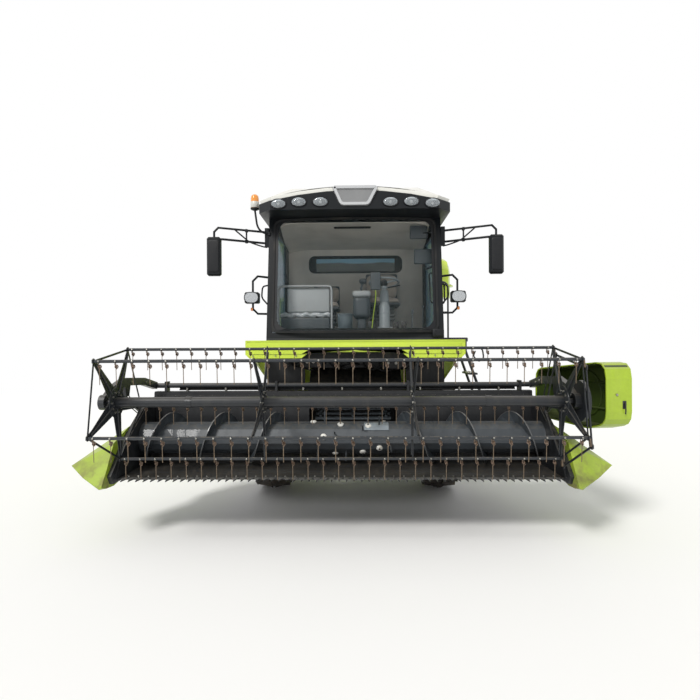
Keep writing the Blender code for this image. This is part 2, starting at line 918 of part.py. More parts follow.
def make_wheels():
    table = (
        # place, y of the axle, side: 1 is the left
        ("front_left", 0, 1),
        ("front_right", 0, -1),
        ("rear_left", WHEELBASE, 1),
        ("rear_right", WHEELBASE, -1),
    )
    meshes = {}
    for place, y, side in table:
        front = y == 0
        radius = FRONT_TYRE_RADIUS if front else REAR_TYRE_RADIUS
        width = FRONT_TYRE_WIDTH if front else REAR_TYRE_WIDTH
        rim = FRONT_RIM_RADIUS if front else REAR_RIM_RADIUS
        track = FRONT_TRACK if front else REAR_TRACK
        inset = FRONT_HUB_INSET if front else REAR_HUB_INSET
        if (front, 0) not in meshes:
            meshes[front, 0] = tyre_mesh(radius, width, rim, FRONT_LUGS if front else REAR_LUGS)
        carrier = None if front else "steer_" + place.split("_")[1]
        if carrier:
            joint_at(carrier, (side * KINGPIN_X, y, radius))
            make_knuckle(place.split("_")[1], side)
        centre = (side * track / 2, y, radius)
        spin = "wheel_" + place
        joint_at(spin, centre, carrier)
        tyre = moved(meshes[front, 0], Matrix.Translation(centre))
        node("tyre_" + place, tyre, "tyre_rubber", spin)
        disc = rim_mesh(rim, width, side, inset)
        node("rim_" + place, shifted(disc, *centre), "rim_paint", spin, smooth=True)


def make_knuckle(side_name, side):
    """The steered knuckle: a post round the kingpin, its stub axle and its steering arm."""
    z = REAR_TYRE_RADIUS
    x = KINGPIN_X
    y = WHEELBASE
    seat = hub_seat(REAR_TRACK, REAR_TYRE_WIDTH, REAR_HUB_INSET) - SEAT_GAP
    post = rod((x, y, KNUCKLE_LOW_Z), (x, y, KNUCKLE_HIGH_Z), KNUCKLE_HALF)
    stub = rod((x, y, z), (seat, y, z), KNUCKLE_HALF)
    arm_y = y - STEER_ARM
    arm_z = REAR_BEAM_LOW_Z - STEER_ARM_GAP
    arm = box((x - YOKE_THICK, arm_y, KNUCKLE_LOW_Z + SINK), (x, y, arm_z))
    mesh = fused([post, stub, arm])
    if side < 0:
        mesh = mirrored(mesh)
    node("knuckle_" + side_name, mesh, "worn_steel", "steer_" + side_name)


def make_front_axle():
    """The drive axle's beam with a final drive drum and a hub stub at each end."""
    seat = hub_seat(FRONT_TRACK, FRONT_TYRE_WIDTH, FRONT_HUB_INSET) - SEAT_GAP
    z = FRONT_TYRE_RADIUS
    beam = box(
        (-FRONT_AXLE_HALF, -AXLE_HALF_DEPTH, BEAM_LOW_Z),
        (FRONT_AXLE_HALF, AXLE_HALF_DEPTH, BEAM_HIGH_Z),
    )
    post = box(
        (RAIL_OUTER_X + OVERRUN, -AXLE_HALF_DEPTH, BEAM_HIGH_Z - SINK),
        (FRONT_AXLE_HALF - SINK, AXLE_HALF_DEPTH - SINK, RAIL_HIGH_Z - SEAT_GAP),
    )
    drum = rod((FRONT_AXLE_HALF - OVERRUN * 2, 0, z), (seat - OVERRUN, 0, z), FINAL_DRIVE_RADIUS, 20)
    stub = rod((FRONT_AXLE_HALF, 0, z), (seat, 0, z), AXLE_STUB_RADIUS * 2)
    bracket = plate(
        [
            (AXLE_HALF_DEPTH - SINK, BEAM_LOW_Z + LIFT_BRACKET_ROOT),
            (LIFT_BARREL_Y - LIFT_EYE_RADIUS, BEAM_LOW_Z + LIFT_BRACKET_ROOT),
            (LIFT_BARREL_Y - LIFT_EYE_RADIUS, LIFT_BARREL_Z - LIFT_EYE_RADIUS),
            (LIFT_BARREL_Y + LIFT_EYE_RADIUS, LIFT_BARREL_Z - LIFT_EYE_RADIUS),
        ],
        "X",
        LIFT_X - LIFT_EYE_HALF - SEAT_GAP - LIFT_BRACKET,
        LIFT_X - LIFT_EYE_HALF - SEAT_GAP,
    )
    pin = rod(
        (LIFT_X - LIFT_EYE_HALF - LIFT_BRACKET, LIFT_BARREL_Y, LIFT_BARREL_Z),
        (LIFT_X + LIFT_EYE_HALF, LIFT_BARREL_Y, LIFT_BARREL_Z),
        LIFT_PIN_RADIUS,
    )
    mesh = fused([beam] + both_sides([post, drum, stub, bracket, pin]))
    node("front_axle", mesh, "anthracite_paint")


def make_rear_axle():
    """The rear beam on its middle pivot, with a yoke above and below each knuckle."""
    y = WHEELBASE
    inner = KINGPIN_X - YOKE_HALF
    beam = box(
        (-inner, y - REAR_BEAM_HALF, REAR_BEAM_LOW_Z), (inner, y + REAR_BEAM_HALF, REAR_BEAM_HIGH_Z)
    )
    pillar = box(
        (-PIVOT_HALF, y - REAR_BEAM_HALF, REAR_BEAM_HIGH_Z - OVERRUN),
        (PIVOT_HALF, y + REAR_BEAM_HALF, RAIL_LOW_Z + RAIL_STEP - SEAT_GAP),
    )
    pieces = []
    for low, high in (
        (KNUCKLE_LOW_Z - YOKE_THICK - SEAT_GAP, KNUCKLE_LOW_Z - SEAT_GAP),
        (KNUCKLE_HIGH_Z + SEAT_GAP, KNUCKLE_HIGH_Z + YOKE_THICK + SEAT_GAP),
    ):
        pieces.append(rod((KINGPIN_X, y, low), (KINGPIN_X, y, high), KNUCKLE_HALF))
        pieces.append(
            box((inner - OVERRUN, y - YOKE_HALF / 2, low), (KINGPIN_X, y + YOKE_HALF / 2, high))
        )
    low = KNUCKLE_LOW_Z - YOKE_THICK - SEAT_GAP
    high = KNUCKLE_HIGH_Z + YOKE_THICK + SEAT_GAP
    pieces.append(
        box(
            (inner - OVERRUN * 2, y - REAR_BEAM_HALF / 2, low),
            (inner - OVERRUN, y + REAR_BEAM_HALF / 2, high),
        )
    )
    mesh = fused([beam, pillar] + both_sides(pieces))
    node("rear_axle", mesh, "anthracite_paint")


def make_main_frame():
    """Two rails that step up over the rear wheels, their cross members and the rear hitch."""
    low, high = RAIL_LOW_Z, RAIL_HIGH_Z
    step = RAIL_STEP_Y
    outline = [
        (RAIL_FRONT_Y, low),
        (step, low),
        (step + RAIL_SLOPE, low + RAIL_STEP),
        (RAIL_REAR_Y, low + RAIL_STEP),
        (RAIL_REAR_Y, high + RAIL_STEP),
        (step + RAIL_SLOPE, high + RAIL_STEP),
        (step, high),
        (RAIL_FRONT_Y, high),
    ]
    rails = both_sides([plate(outline, "X", RAIL_INNER_X, RAIL_OUTER_X)])
    crosses = []
    inside = RAIL_INNER_X + SINK
    for y, lift in CROSS_MEMBERS:
        crosses.append(
            box(
                (-inside, y - CROSS_HALF, low + lift),
                (inside, y + CROSS_HALF, high + lift - CROSS_HALF / 2),
            )
        )
    hitch = box(
        (-HITCH_HALF, RAIL_REAR_Y - SINK, low + RAIL_STEP - HITCH_DROP),
        (HITCH_HALF, RAIL_REAR_Y + HITCH_THICK, high + RAIL_STEP),
    )
    stub = box(
        (-HITCH_HALF / 2, RAIL_REAR_Y - HITCH_HALF, low + RAIL_STEP),
        (HITCH_HALF / 2, RAIL_REAR_Y, high + RAIL_STEP - CROSS_HALF / 2),
    )
    mesh = fused(rails + crosses + [hitch, stub])
    node("main_frame", mesh, "anthracite_paint")


# Threshing body


def make_thresher_body():
    """The threshing body: a narrow hull between the wheels under a wider upper body."""
    outline = [
        (HULL_FRONT_Y, HULL_LOW_Z),
        (HULL_STEP_Y, HULL_LOW_Z),
        (HULL_STEP_Y + RAIL_SLOPE, HULL_REAR_LOW_Z),
        (HULL_REAR_Y, HULL_REAR_LOW_Z),
        (HULL_REAR_Y, BODY_TOP_Z - SINK),
        (BODY_FRONT_Y + SINK, BODY_TOP_Z - SINK),
        (BODY_FRONT_Y + SINK, HULL_SHOULDER_Z),
        (HULL_FRONT_Y, HULL_SHOULDER_Z),
    ]
    hull = plate(outline, "X", -HULL_HALF_WIDTH, HULL_HALF_WIDTH)
    upper = box(
        (-BODY_HALF_WIDTH, BODY_FRONT_Y, BODY_LOW_Z),
        (BODY_HALF_WIDTH, HULL_REAR_Y - SINK, BODY_TOP_Z),
    )
    ledge = box(
        (BODY_HALF_WIDTH - SINK, DOOR_FRONT_Y, BODY_TOP_Z - LEDGE_DEPTH),
        (PANEL_HALF_WIDTH, DOOR_REAR_Y, BODY_TOP_Z - SINK),
    )
    centre = (FEEDER_PIVOT_Y, FEEDER_PIVOT_Z)
    radius = FEEDER_END_RADIUS + RECESS_CLEARANCE
    half = FEEDER_WIDTH / 2 + FEEDER_SIDE_GAP
    recess = fused(
        [
            plate(arc(centre, radius, 0, 360, RECESS_STEPS)[:-1], "X", -half, half),
            box(
                (-half, HULL_FRONT_Y - OVERRUN, HULL_LOW_Z - OVERRUN),
                (
                    half,
                    FEEDER_PIVOT_Y + FEEDER_END_RADIUS * THROAT_SHARE,
                    FEEDER_PIVOT_Z,
                ),
            ),
            box(
                (-half, HULL_FRONT_Y - OVERRUN, FEEDER_PIVOT_Z),
                (half, FEEDER_PIVOT_Y, FEEDER_PIVOT_Z + radius - OVERRUN),
            ),
        ]
    )
    reach = FEEDER_WIDTH / 2 + TRUNNION_LENGTH
    holes = rod(
        (-reach, FEEDER_PIVOT_Y, FEEDER_PIVOT_Z),
        (reach, FEEDER_PIVOT_Y, FEEDER_PIVOT_Z),
        (TRUNNION_RADIUS + PIN_GAP) / math.cos(math.pi / TRUNNION_SIDES),
        TRUNNION_SIDES,
    )
    mesh = fused([hull, upper] + both_sides([ledge]), [recess, holes])
    node("thresher_body", mesh, "lime_paint")


def make_service_doors():
    """Large side panels that swing up from a hinge along their top edge."""
    for side_name, side in (("left", 1), ("right", -1)):
        joint = "service_door_" + side_name
        outer = PANEL_HALF_WIDTH
        top = BODY_TOP_Z - LEDGE_DEPTH
        joint_at(joint, (side * outer, DOOR_REAR_Y, top - DOOR_TOP_GAP))
        skin = plate(
            rounded(
                [
                    (DOOR_FRONT_Y, DOOR_LOW_Z + DOOR_RISE),
                    (DOOR_FRONT_Y + DOOR_RISE, DOOR_LOW_Z),
                    (DOOR_REAR_Y - DOOR_RISE, DOOR_LOW_Z),
                    (DOOR_REAR_Y, DOOR_LOW_Z + DOOR_RISE),
                    (DOOR_REAR_Y, top - DOOR_TOP_GAP),
                    (DOOR_FRONT_Y, top - DOOR_TOP_GAP),
                ],
                DOOR_CORNER,
                2,
            ),
            "X",
            outer - DOOR_SHEET,
            outer,
        )
        mesh = skin if side > 0 else mirrored(skin)
        node("service_door_" + side_name, mesh, "lime_paint", joint)


def make_straw_hood():
    """The hood behind the walkers, open downwards and towards the body."""
    front = HULL_REAR_Y + SEAT_GAP
    rear = front + HOOD_LENGTH

    def shape(inset, overrun):
        return [
            (front - overrun, HOOD_LOW_Z - overrun),
            (rear - inset, HOOD_LOW_Z - overrun),
            (rear - inset, HOOD_TOP_REAR_Z - inset),
            (front - overrun, HOOD_TOP_FRONT_Z - inset),
        ]

    outer = plate(shape(0, 0), "X", -HOOD_HALF_WIDTH, HOOD_HALF_WIDTH)
    inside = HOOD_HALF_WIDTH - HOOD_WALL
    inner = plate(shape(HOOD_WALL, OVERRUN), "X", -inside, inside)
    node("straw_hood", fused([outer], [inner]), "lime_paint")


def make_grain_tank():
    """The open grain tank on top of the body, flared outwards at its rim."""
    low = BODY_TOP_Z + SEAT_GAP
    middle_y = (TANK_FRONT_Y + TANK_REAR_Y) / 2
    half_length = (TANK_REAR_Y - TANK_FRONT_Y) / 2

    def ring(half_x, half_y, z):
        return [
            (-half_x, middle_y - half_y, z),
            (half_x, middle_y - half_y, z),
            (half_x, middle_y + half_y, z),
            (-half_x, middle_y + half_y, z),
        ]

    narrow = TANK_HALF_WIDTH - TANK_FLARE
    short = half_length - TANK_FLARE
    outer = loft(
        [
            ring(narrow, short, low),
            ring(narrow, short, TANK_WAIST_Z),
            ring(TANK_HALF_WIDTH, half_length, TANK_RIM_Z),
        ]
    )
    wall = TANK_WALL
    inner = loft(
        [
            ring(narrow - wall - TANK_FLARE * 2, short - wall - TANK_FLARE * 2, TANK_FLOOR_Z),
            ring(narrow - wall, short - wall, TANK_WAIST_Z),
            ring(TANK_HALF_WIDTH - wall, half_length - wall, TANK_RIM_Z + SINK),
        ]
    )
    mesh = fused([outer], [inner])
    node("grain_tank", fused([mesh] + unload_elbow()), "lime_paint")


def unload_elbow():
    """The elbow that leads out of the tank's side to the unloading tube's turning joint."""
    base_z = BODY_TOP_Z + LEDGE_DEPTH / 2
    low = UNLOAD_LOW_Z
    foot = box(
        (TANK_HALF_WIDTH - TANK_FLARE - SINK, UNLOAD_Y - TUBE_RADIUS, base_z),
        (UNLOAD_X, UNLOAD_Y + TUBE_RADIUS, low - SINK),
    )
    column = rod((UNLOAD_X, UNLOAD_Y, base_z - SINK), (UNLOAD_X, UNLOAD_Y, low), TUBE_RADIUS, 16)
    return [foot, column]


def make_unloader():
    """The unloading auger's tube, folded back along the left side, with its drop spout."""
    low = UNLOAD_LOW_Z
    joint_at("unload_swing", (UNLOAD_X, UNLOAD_Y, low))
    path = [
        (UNLOAD_X, UNLOAD_Y, low + SEAT_GAP),
        (UNLOAD_X, UNLOAD_Y, TUBE_RISE_Z - TUBE_RADIUS),
        (UNLOAD_X, UNLOAD_Y + TUBE_RADIUS / 2, TUBE_RISE_Z - TUBE_RADIUS / 3),
        (UNLOAD_X, UNLOAD_Y + TUBE_TURN, TUBE_RISE_Z),
        (UNLOAD_X, UNLOAD_Y + TUBE_LENGTH, TUBE_RISE_Z),
    ]
    barrel = tube(path, TUBE_RADIUS, 2)
    end = UNLOAD_Y + TUBE_LENGTH
    spout = rod(
        (UNLOAD_X, end - TUBE_RADIUS, TUBE_RISE_Z),
        (UNLOAD_X, end + TUBE_RADIUS, TUBE_RISE_Z - SPOUT_DROP),
        TUBE_RADIUS * SPOUT_SHARE,
        12,
    )
    node("unload_tube", fused([barrel, spout]), "lime_paint", "unload_swing", smooth=True)


def make_engine():
    """The engine as a plain block, under a hood that is open below onto the body."""
    block = box(
        (-ENGINE_HALF_WIDTH, ENGINE_FRONT_Y, ENGINE_LOW_Z),
        (ENGINE_HALF_WIDTH, ENGINE_REAR_Y, ENGINE_LOW_Z + ENGINE_HEIGHT),
    )
    node("engine_block", block, "engine_iron")
    low = ENGINE_LOW_Z
    outline = [
        (ENGINE_HOOD_FRONT_Y, low),
        (ENGINE_HOOD_REAR_Y, low),
        (ENGINE_HOOD_REAR_Y, HOOD_TOP_Z - HOOD_DROP),
        (ENGINE_HOOD_REAR_Y - HOOD_DROP, HOOD_TOP_Z),
        (ENGINE_HOOD_FRONT_Y, HOOD_TOP_Z),
    ]
    outer = plate(outline, "X", -ENGINE_HOOD_HALF, ENGINE_HOOD_HALF)
    skin = HOOD_SKIN
    hollow = [
        (ENGINE_HOOD_FRONT_Y + skin, low - OVERRUN),
        (ENGINE_HOOD_REAR_Y - skin, low - OVERRUN),
        (ENGINE_HOOD_REAR_Y - skin, HOOD_TOP_Z - HOOD_DROP - skin),
        (ENGINE_HOOD_REAR_Y - HOOD_DROP - skin, HOOD_TOP_Z - skin),
        (ENGINE_HOOD_FRONT_Y + skin, HOOD_TOP_Z - skin),
    ]
    inner = plate(hollow, "X", skin - ENGINE_HOOD_HALF, ENGINE_HOOD_HALF - skin)
    foot = HOOD_TOP_Z - SINK
    pipe = tube(
        [
            (EXHAUST_X, EXHAUST_Y, foot),
            (EXHAUST_X, EXHAUST_Y, foot + EXHAUST_HEIGHT - EXHAUST_RADIUS * 2),
            (EXHAUST_X, EXHAUST_Y + EXHAUST_RADIUS * 2, foot + EXHAUST_HEIGHT),
        ],
        EXHAUST_RADIUS,
        2,
    )
    node("engine_hood", fused([fused([outer], [inner]), pipe]), "lime_paint")


# Cab


def screen_line(z):
    """Where the screen's plane lies, from its low edge to its high edge."""
    share = (z - CAB_FLOOR_Z) / (CAB_BACK_Z - CAB_FLOOR_Z)
    return CAB_SCREEN_LOW_Y + (CAB_SCREEN_HIGH_Y - CAB_SCREEN_LOW_Y) * share


def side_outline(inset):
    """The cab seen from its side, drawn in by an inset."""
    low, high = CAB_FLOOR_Z + inset, CAB_BACK_Z - inset
    return [
        (screen_line(low) + inset, low),
        (CAB_REAR_Y - inset, low),
        (CAB_REAR_Y - inset, high),
        (screen_line(high) + inset, high),
    ]


def make_cab_frame():
    """The cab's shell: floor, posts, roof ring and rear wall, open at its front and sides."""
    half = CAB_HALF_WIDTH
    shell = plate(side_outline(0), "X", -half, half)
    inside = plate(side_outline(CAB_WALL), "X", CAB_WALL - half, half - CAB_WALL)
    screen = box(
        (POST - half + SINK, CAB_SCREEN_LOW_Y - OVERRUN * 2, CAB_FLOOR_Z + SILL),
        (half - POST - SINK, SCREEN_CUT_Y, CAB_GLASS_TOP_Z - SINK),
    )
    door_low = CAB_FLOOR_Z + SILL
    door_top = CAB_BACK_Z - SILL
    side = plate(
        [
            (screen_line(door_low) + POST + SINK, door_low),
            (DOOR_HINGE_Y, door_low),
            (DOOR_HINGE_Y, door_top),
            (screen_line(door_top) + POST + SINK, door_top),
        ],
        "X",
        -half - OVERRUN,
        half + OVERRUN,
    )
    window = box(
        (-REAR_WINDOW_HALF, CAB_REAR_Y - CAB_WALL - OVERRUN, REAR_WINDOW_LOW_Z),
        (REAR_WINDOW_HALF, CAB_REAR_Y + OVERRUN, REAR_WINDOW_HIGH_Z),
    )
    mesh = fused([shell], [inside, screen, side, window])
    node("cab_frame", fused([mesh] + both_sides(side_lamp())), "black_plastic")


def make_windshield():
    """The large front screen, bowed forwards in the middle, set into the cab's front opening."""
    half = CAB_HALF_WIDTH - POST - SINK - SEAT_GAP
    sections = []
    for z in (CAB_FLOOR_Z + SILL + SEAT_GAP + SINK, CAB_GLASS_TOP_Z - SEAT_GAP - SINK * 2):
        front = screen_line(z)
        ring = []
        for k in range(SCREEN_STEPS + 1):
            share = 2 * k / SCREEN_STEPS - 1
            ring.append((share * half, front - SCREEN_BOW * (1 - share * share), z))
        back = [(x, y + SCREEN_THICK, z) for x, y, z in reversed(ring)]
        sections.append(ring + back)
    node("windshield", loft(sections), "tinted_glass", smooth=True)


def pane(rear_y, inset, x_low, x_high):
    """A sheet that fills the cab's side opening, drawn in by an inset, up to its rear edge."""
    low = CAB_FLOOR_Z + SILL + inset
    high = CAB_BACK_Z - SILL - inset
    outline = [
        (screen_line(low) + POST + SINK + inset, low),
        (rear_y - inset, low),
        (rear_y - inset, high),
        (screen_line(high) + POST + SINK + inset, high),
    ]
    return plate(outline, "X", x_low, x_high)


def make_cab_sides():
    """A fixed pane on the right and a framed glass door on the left."""
    half = CAB_HALF_WIDTH
    inner = half - CAB_WALL
    fixed = pane(DOOR_HINGE_Y, SEAT_GAP, -half + SINK, SINK * 4 - half)
    node("side_glass_right", fixed, "tinted_glass")
    hinge_y = DOOR_HINGE_Y + DOOR_GAP - SEAT_GAP
    joint_at("cab_door_hinge", (half, DOOR_HINGE_Y - SEAT_GAP, CAB_FLOOR_Z + SILL))
    frame = pane(hinge_y, DOOR_GAP, inner + SINK, half)
    hole = pane(hinge_y, DOOR_GAP + DOOR_FRAME, inner - OVERRUN, half + OVERRUN)
    handle = box(
        (half - SINK, -DOOR_HANDLE_Y, DOOR_HANDLE_Z),
        (half + DOOR_SKIN, -DOOR_HANDLE_Y + DOOR_FRAME, DOOR_HANDLE_Z + DOOR_FRAME * 2),
    )
    node("cab_door", fused([frame, handle], [hole]), "black_plastic", "cab_door_hinge")
    middle = (inner + half) / 2
    glass = pane(
        hinge_y,
        DOOR_GAP + DOOR_FRAME + SEAT_GAP,
        middle - SCREEN_THICK / 2,
        middle + SCREEN_THICK / 2,
    )
    node("door_glass", glass, "tinted_glass", "cab_door_hinge")


def make_cab_roof():
    """The pale roof over a black visor, their shared front edge arched up in the middle."""
    half = ROOF_HALF_WIDTH
    front, rear = ROOF_FRONT_Y, ROOF_REAR_Y

    def ring(half_x, y_front, y_rear, z, rise=0):
        cut = ROOF_CORNER
        arched = []
        for i in range(ARCH_STEPS + 1):
            share = 2 * i / ARCH_STEPS - 1
            arched.append((share * (half_x - cut), y_front, z + rise * (1 - share * share)))
        return arched + [
            (half_x, y_front + cut, z),
            (half_x, y_rear - cut, z),
            (half_x - cut, y_rear, z),
            (-half_x + cut, y_rear, z),
            (-half_x, y_rear - cut, z),
            (-half_x, y_front + cut, z),
        ]

    visor = loft(
        [
            ring(half - VISOR_INSET, front + VISOR_SLANT, rear, CAB_BACK_Z + SEAT_GAP),
            ring(half, front, rear, ROOF_LOW_Z + VISOR_RISE),
            ring(half, front, rear, ROOF_EDGE_Z),
        ]
    )
    edge = ring(half, front, rear, ROOF_EDGE_Z, ROOF_ARCH)[: ARCH_STEPS + 1]
    arc = [(x, z) for x, y, z in edge]
    foot = [(x, ROOF_EDGE_Z - SINK) for x, z in (arc[-1], arc[0])]
    brow = plate(arc + foot, "Y", front + SINK, front + BROW_THICK)
    lip = front + BROW_THICK + SEAT_GAP
    crown = loft(
        [
            ring(half - CROWN_INSET, lip, rear, ROOF_EDGE_Z + SEAT_GAP),
            ring(half, lip, rear, ROOF_EDGE_Z + CROWN_LIP, ROOF_ARCH),
            ring(half - CROWN_SLOPE, front + CROWN_SLOPE, rear - CROWN_SLOPE, ROOF_CROWN_Z),
        ]
    )
    node("cab_visor", fused([visor, brow]), "black_plastic")
    node("cab_roof", crown, "cream_paint")


def make_deck():
    """The cab's floor deck with the landing outside its door and the ladder down from it."""
    deck = box(
        (-CAB_HALF_WIDTH, CAB_SCREEN_LOW_Y, DECK_LOW_Z),
        (CAB_HALF_WIDTH, BODY_FRONT_Y - SEAT_GAP, CAB_FLOOR_Z - SEAT_GAP),
    )
    landing = box(
        (CAB_HALF_WIDTH - SINK, LANDING_FRONT_Y, DECK_LOW_Z),
        (DECK_OUTER_X, LANDING_REAR_Y, CAB_FLOOR_Z - SEAT_GAP),
    )
    pieces = [deck, landing]
    for x in (-BEAM_X, BEAM_X):
        pieces.append(
            box(
                (x - BEAM_HALF, CAB_SCREEN_LOW_Y, DECK_LOW_Z - BEAM_HALF),
                (x + BEAM_HALF, BODY_FRONT_Y - SEAT_GAP, DECK_LOW_Z + SINK),
            )
        )
    top = (DECK_OUTER_X - RAIL_RADIUS, DECK_LOW_Z + SINK)
    foot = (LADDER_FOOT_X, LADDER_FOOT_Z)
    for y in (LADDER_FRONT_Y, LADDER_REAR_Y):
        pieces.append(
            tube(
                [
                    (top[0], y, top[1]),
                    (top[0], y, top[1] - LADDER_STRAIGHT),
                    (foot[0], y, foot[1]),
                ],
                LADDER_RAIL_RADIUS,
            )
        )
    start_z = top[1] - LADDER_STRAIGHT
    for i in range(LADDER_STEPS):
        share = (i + 1) / (LADDER_STEPS + LADDER_END_SHARE)
        x = top[0] + (foot[0] - top[0]) * share
        z = start_z + (foot[1] - start_z) * share
        pieces.append(
            box(
                (x - STEP_DEPTH / 2, LADDER_FRONT_Y, z - STEP_HALF),
                (x + STEP_DEPTH / 2, LADDER_REAR_Y, z + STEP_HALF),
            )
        )
    node("platform_ladder", fused(pieces), "anthracite_paint")


def make_fascia():
    """The lime cross panel below the cab, higher in its middle, with the two side wings."""
    outline = [
        (-FASCIA_HALF, FASCIA_SIDE_Z + FASCIA_THICK / 2),
        (-FASCIA_HALF + FASCIA_THICK / 2, FASCIA_SIDE_Z),
        (-FASCIA_MIDDLE_HALF - FASCIA_THICK, FASCIA_SIDE_Z),
        (-FASCIA_MIDDLE_HALF, FASCIA_MIDDLE_Z),
        (FASCIA_MIDDLE_HALF, FASCIA_MIDDLE_Z),
        (FASCIA_MIDDLE_HALF + FASCIA_THICK, FASCIA_SIDE_Z),
        (FASCIA_HALF - FASCIA_THICK / 2, FASCIA_SIDE_Z),
        (FASCIA_HALF, FASCIA_SIDE_Z + FASCIA_THICK / 2),
        (FASCIA_HALF, FASCIA_TOP_Z),
        (-FASCIA_HALF, FASCIA_TOP_Z),
    ]
    bar = plate(outline, "Y", FASCIA_Y, FASCIA_Y + FASCIA_THICK)
    stay = box(
        (BEAM_X - BEAM_HALF, FASCIA_Y + FASCIA_THICK - SINK, FASCIA_TOP_Z - FASCIA_THICK),
        (BEAM_X + BEAM_HALF, CAB_SCREEN_LOW_Y - SEAT_GAP, FASCIA_TOP_Z - SINK),
    )
    wing = plate(
        [
            (FASCIA_Y + SINK, FASCIA_TOP_Z - SINK),
            (FASCIA_Y + SINK, FASCIA_SIDE_Z + SINK),
            (WING_REAR_Y - WING_TAPER, WING_LOW_Z + WING_TAPER),
            (WING_REAR_Y, FASCIA_TOP_Z - WING_TAPER),
        ],
        "X",
        WING_X - WING_THICK,
        WING_X,
    )
    mesh = fused([bar] + both_sides([stay, wing]))
    node("fascia", mesh, "lime_paint")


def side_lamp():
    """A lamp out on the cab's corner, inside the bent handrail that carries it."""
    root = CAB_HALF_WIDTH - SINK
    shell = box(
        (LAMP_X - LAMP_HALF_X, LAMP_Y - LAMP_DEPTH, LAMP_Z - LAMP_HALF_Z),
        (LAMP_X + LAMP_HALF_X, LAMP_Y, LAMP_Z + LAMP_HALF_Z),
        RAIL_RADIUS,
    )
    rail = tube(
        [
            (root, screen_line(LAMP_RAIL_TOP_Z) + POST / 2, LAMP_RAIL_TOP_Z),
            (LAMP_X - RAIL_TURN, RAIL_Y, LAMP_RAIL_TOP_Z),
            (LAMP_X, RAIL_Y, LAMP_RAIL_TOP_Z - RAIL_TURN),
            (LAMP_X, RAIL_Y, LAMP_RAIL_LOW_Z + RAIL_TURN),
            (LAMP_X - RAIL_TURN, RAIL_Y, LAMP_RAIL_LOW_Z),
            (root, screen_line(LAMP_RAIL_LOW_Z) + POST / 2, LAMP_RAIL_LOW_Z),
        ],
        RAIL_RADIUS,
    )
    return [shell, rail]


def make_mirrors():
    """Large mirrors out on two bent arms from a bracket on each front post."""
    for side_name, side in (("left", 1), ("right", -1)):
        root_x = CAB_HALF_WIDTH + SEAT_GAP
        head = box(
            (MIRROR_X - MIRROR_HALF_X, MIRROR_Y, MIRROR_Z - MIRROR_HALF_Z),
            (MIRROR_X + MIRROR_HALF_X, MIRROR_Y + MIRROR_DEPTH, MIRROR_Z + MIRROR_HALF_Z),
            MIRROR_DEPTH / 4,
        )
        bracket = box(
            (root_x, ARM_Y - ARM_BRACKET_HALF, ARM_LOW_Z - ARM_BRACKET),
            (root_x + ARM_BRACKET, ARM_Y + ARM_BRACKET_HALF, ARM_TOP_Z + ARM_BRACKET),
        )
        stem_x = MIRROR_X
        upper = tube(
            [
                (root_x + ARM_BRACKET / 2, ARM_Y, ARM_TOP_Z),
                (stem_x - ARM_BRACKET, MIRROR_Y + MIRROR_DEPTH / 2, ARM_TOP_Z),
                (stem_x, MIRROR_Y + MIRROR_DEPTH / 2, ARM_TOP_Z - ARM_BRACKET),
                (stem_x, MIRROR_Y + MIRROR_DEPTH / 2, MIRROR_Z),
            ],
            RAIL_RADIUS,
        )
        lower = tube(
            [
                (root_x + ARM_BRACKET / 2, ARM_Y, ARM_LOW_Z),
                (stem_x - ARM_BRACKET * 2, MIRROR_Y + MIRROR_DEPTH / 2, ARM_LOW_Z),
                (stem_x, MIRROR_Y + MIRROR_DEPTH / 2, ARM_LOW_Z),
            ],
            RAIL_RADIUS,
        )
        mesh = fused([head, bracket, upper, lower])
        node("mirror_" + side_name, mesh if side > 0 else mirrored(mesh), "mirror_black")


def make_seats():
    """The driver's seat on its pedestal and the smaller second seat on its box."""
    floor = CAB_FLOOR_Z + CAB_WALL + SEAT_GAP
    for name, x, y, half, top in (
        ("driver_seat", SEAT_X, SEAT_Y, SEAT_HALF, SEAT_BASE_Z),
        ("passenger_seat", PASSENGER_X, SEAT_Y, PASSENGER_HALF, PASSENGER_Z),
    ):
        pedestal = box(
            (x - half * PEDESTAL_SHARE, y - half * PEDESTAL_SHARE, floor),
            (x + half * PEDESTAL_SHARE, y + half * PEDESTAL_SHARE, top + SINK),
        )
        cushion = box((x - half, y - half, top), (x + half, y + half, top + SEAT_THICK), SEAT_SOFT)
        back = box(
            (x - half, y + half - SEAT_THICK, top + SEAT_SOFT * 2),
            (x + half, y + half, top + SEAT_BACK_HEIGHT),
            SEAT_SOFT,
        )
        node(name, fused([pedestal, cushion, back]), "seat_fabric")


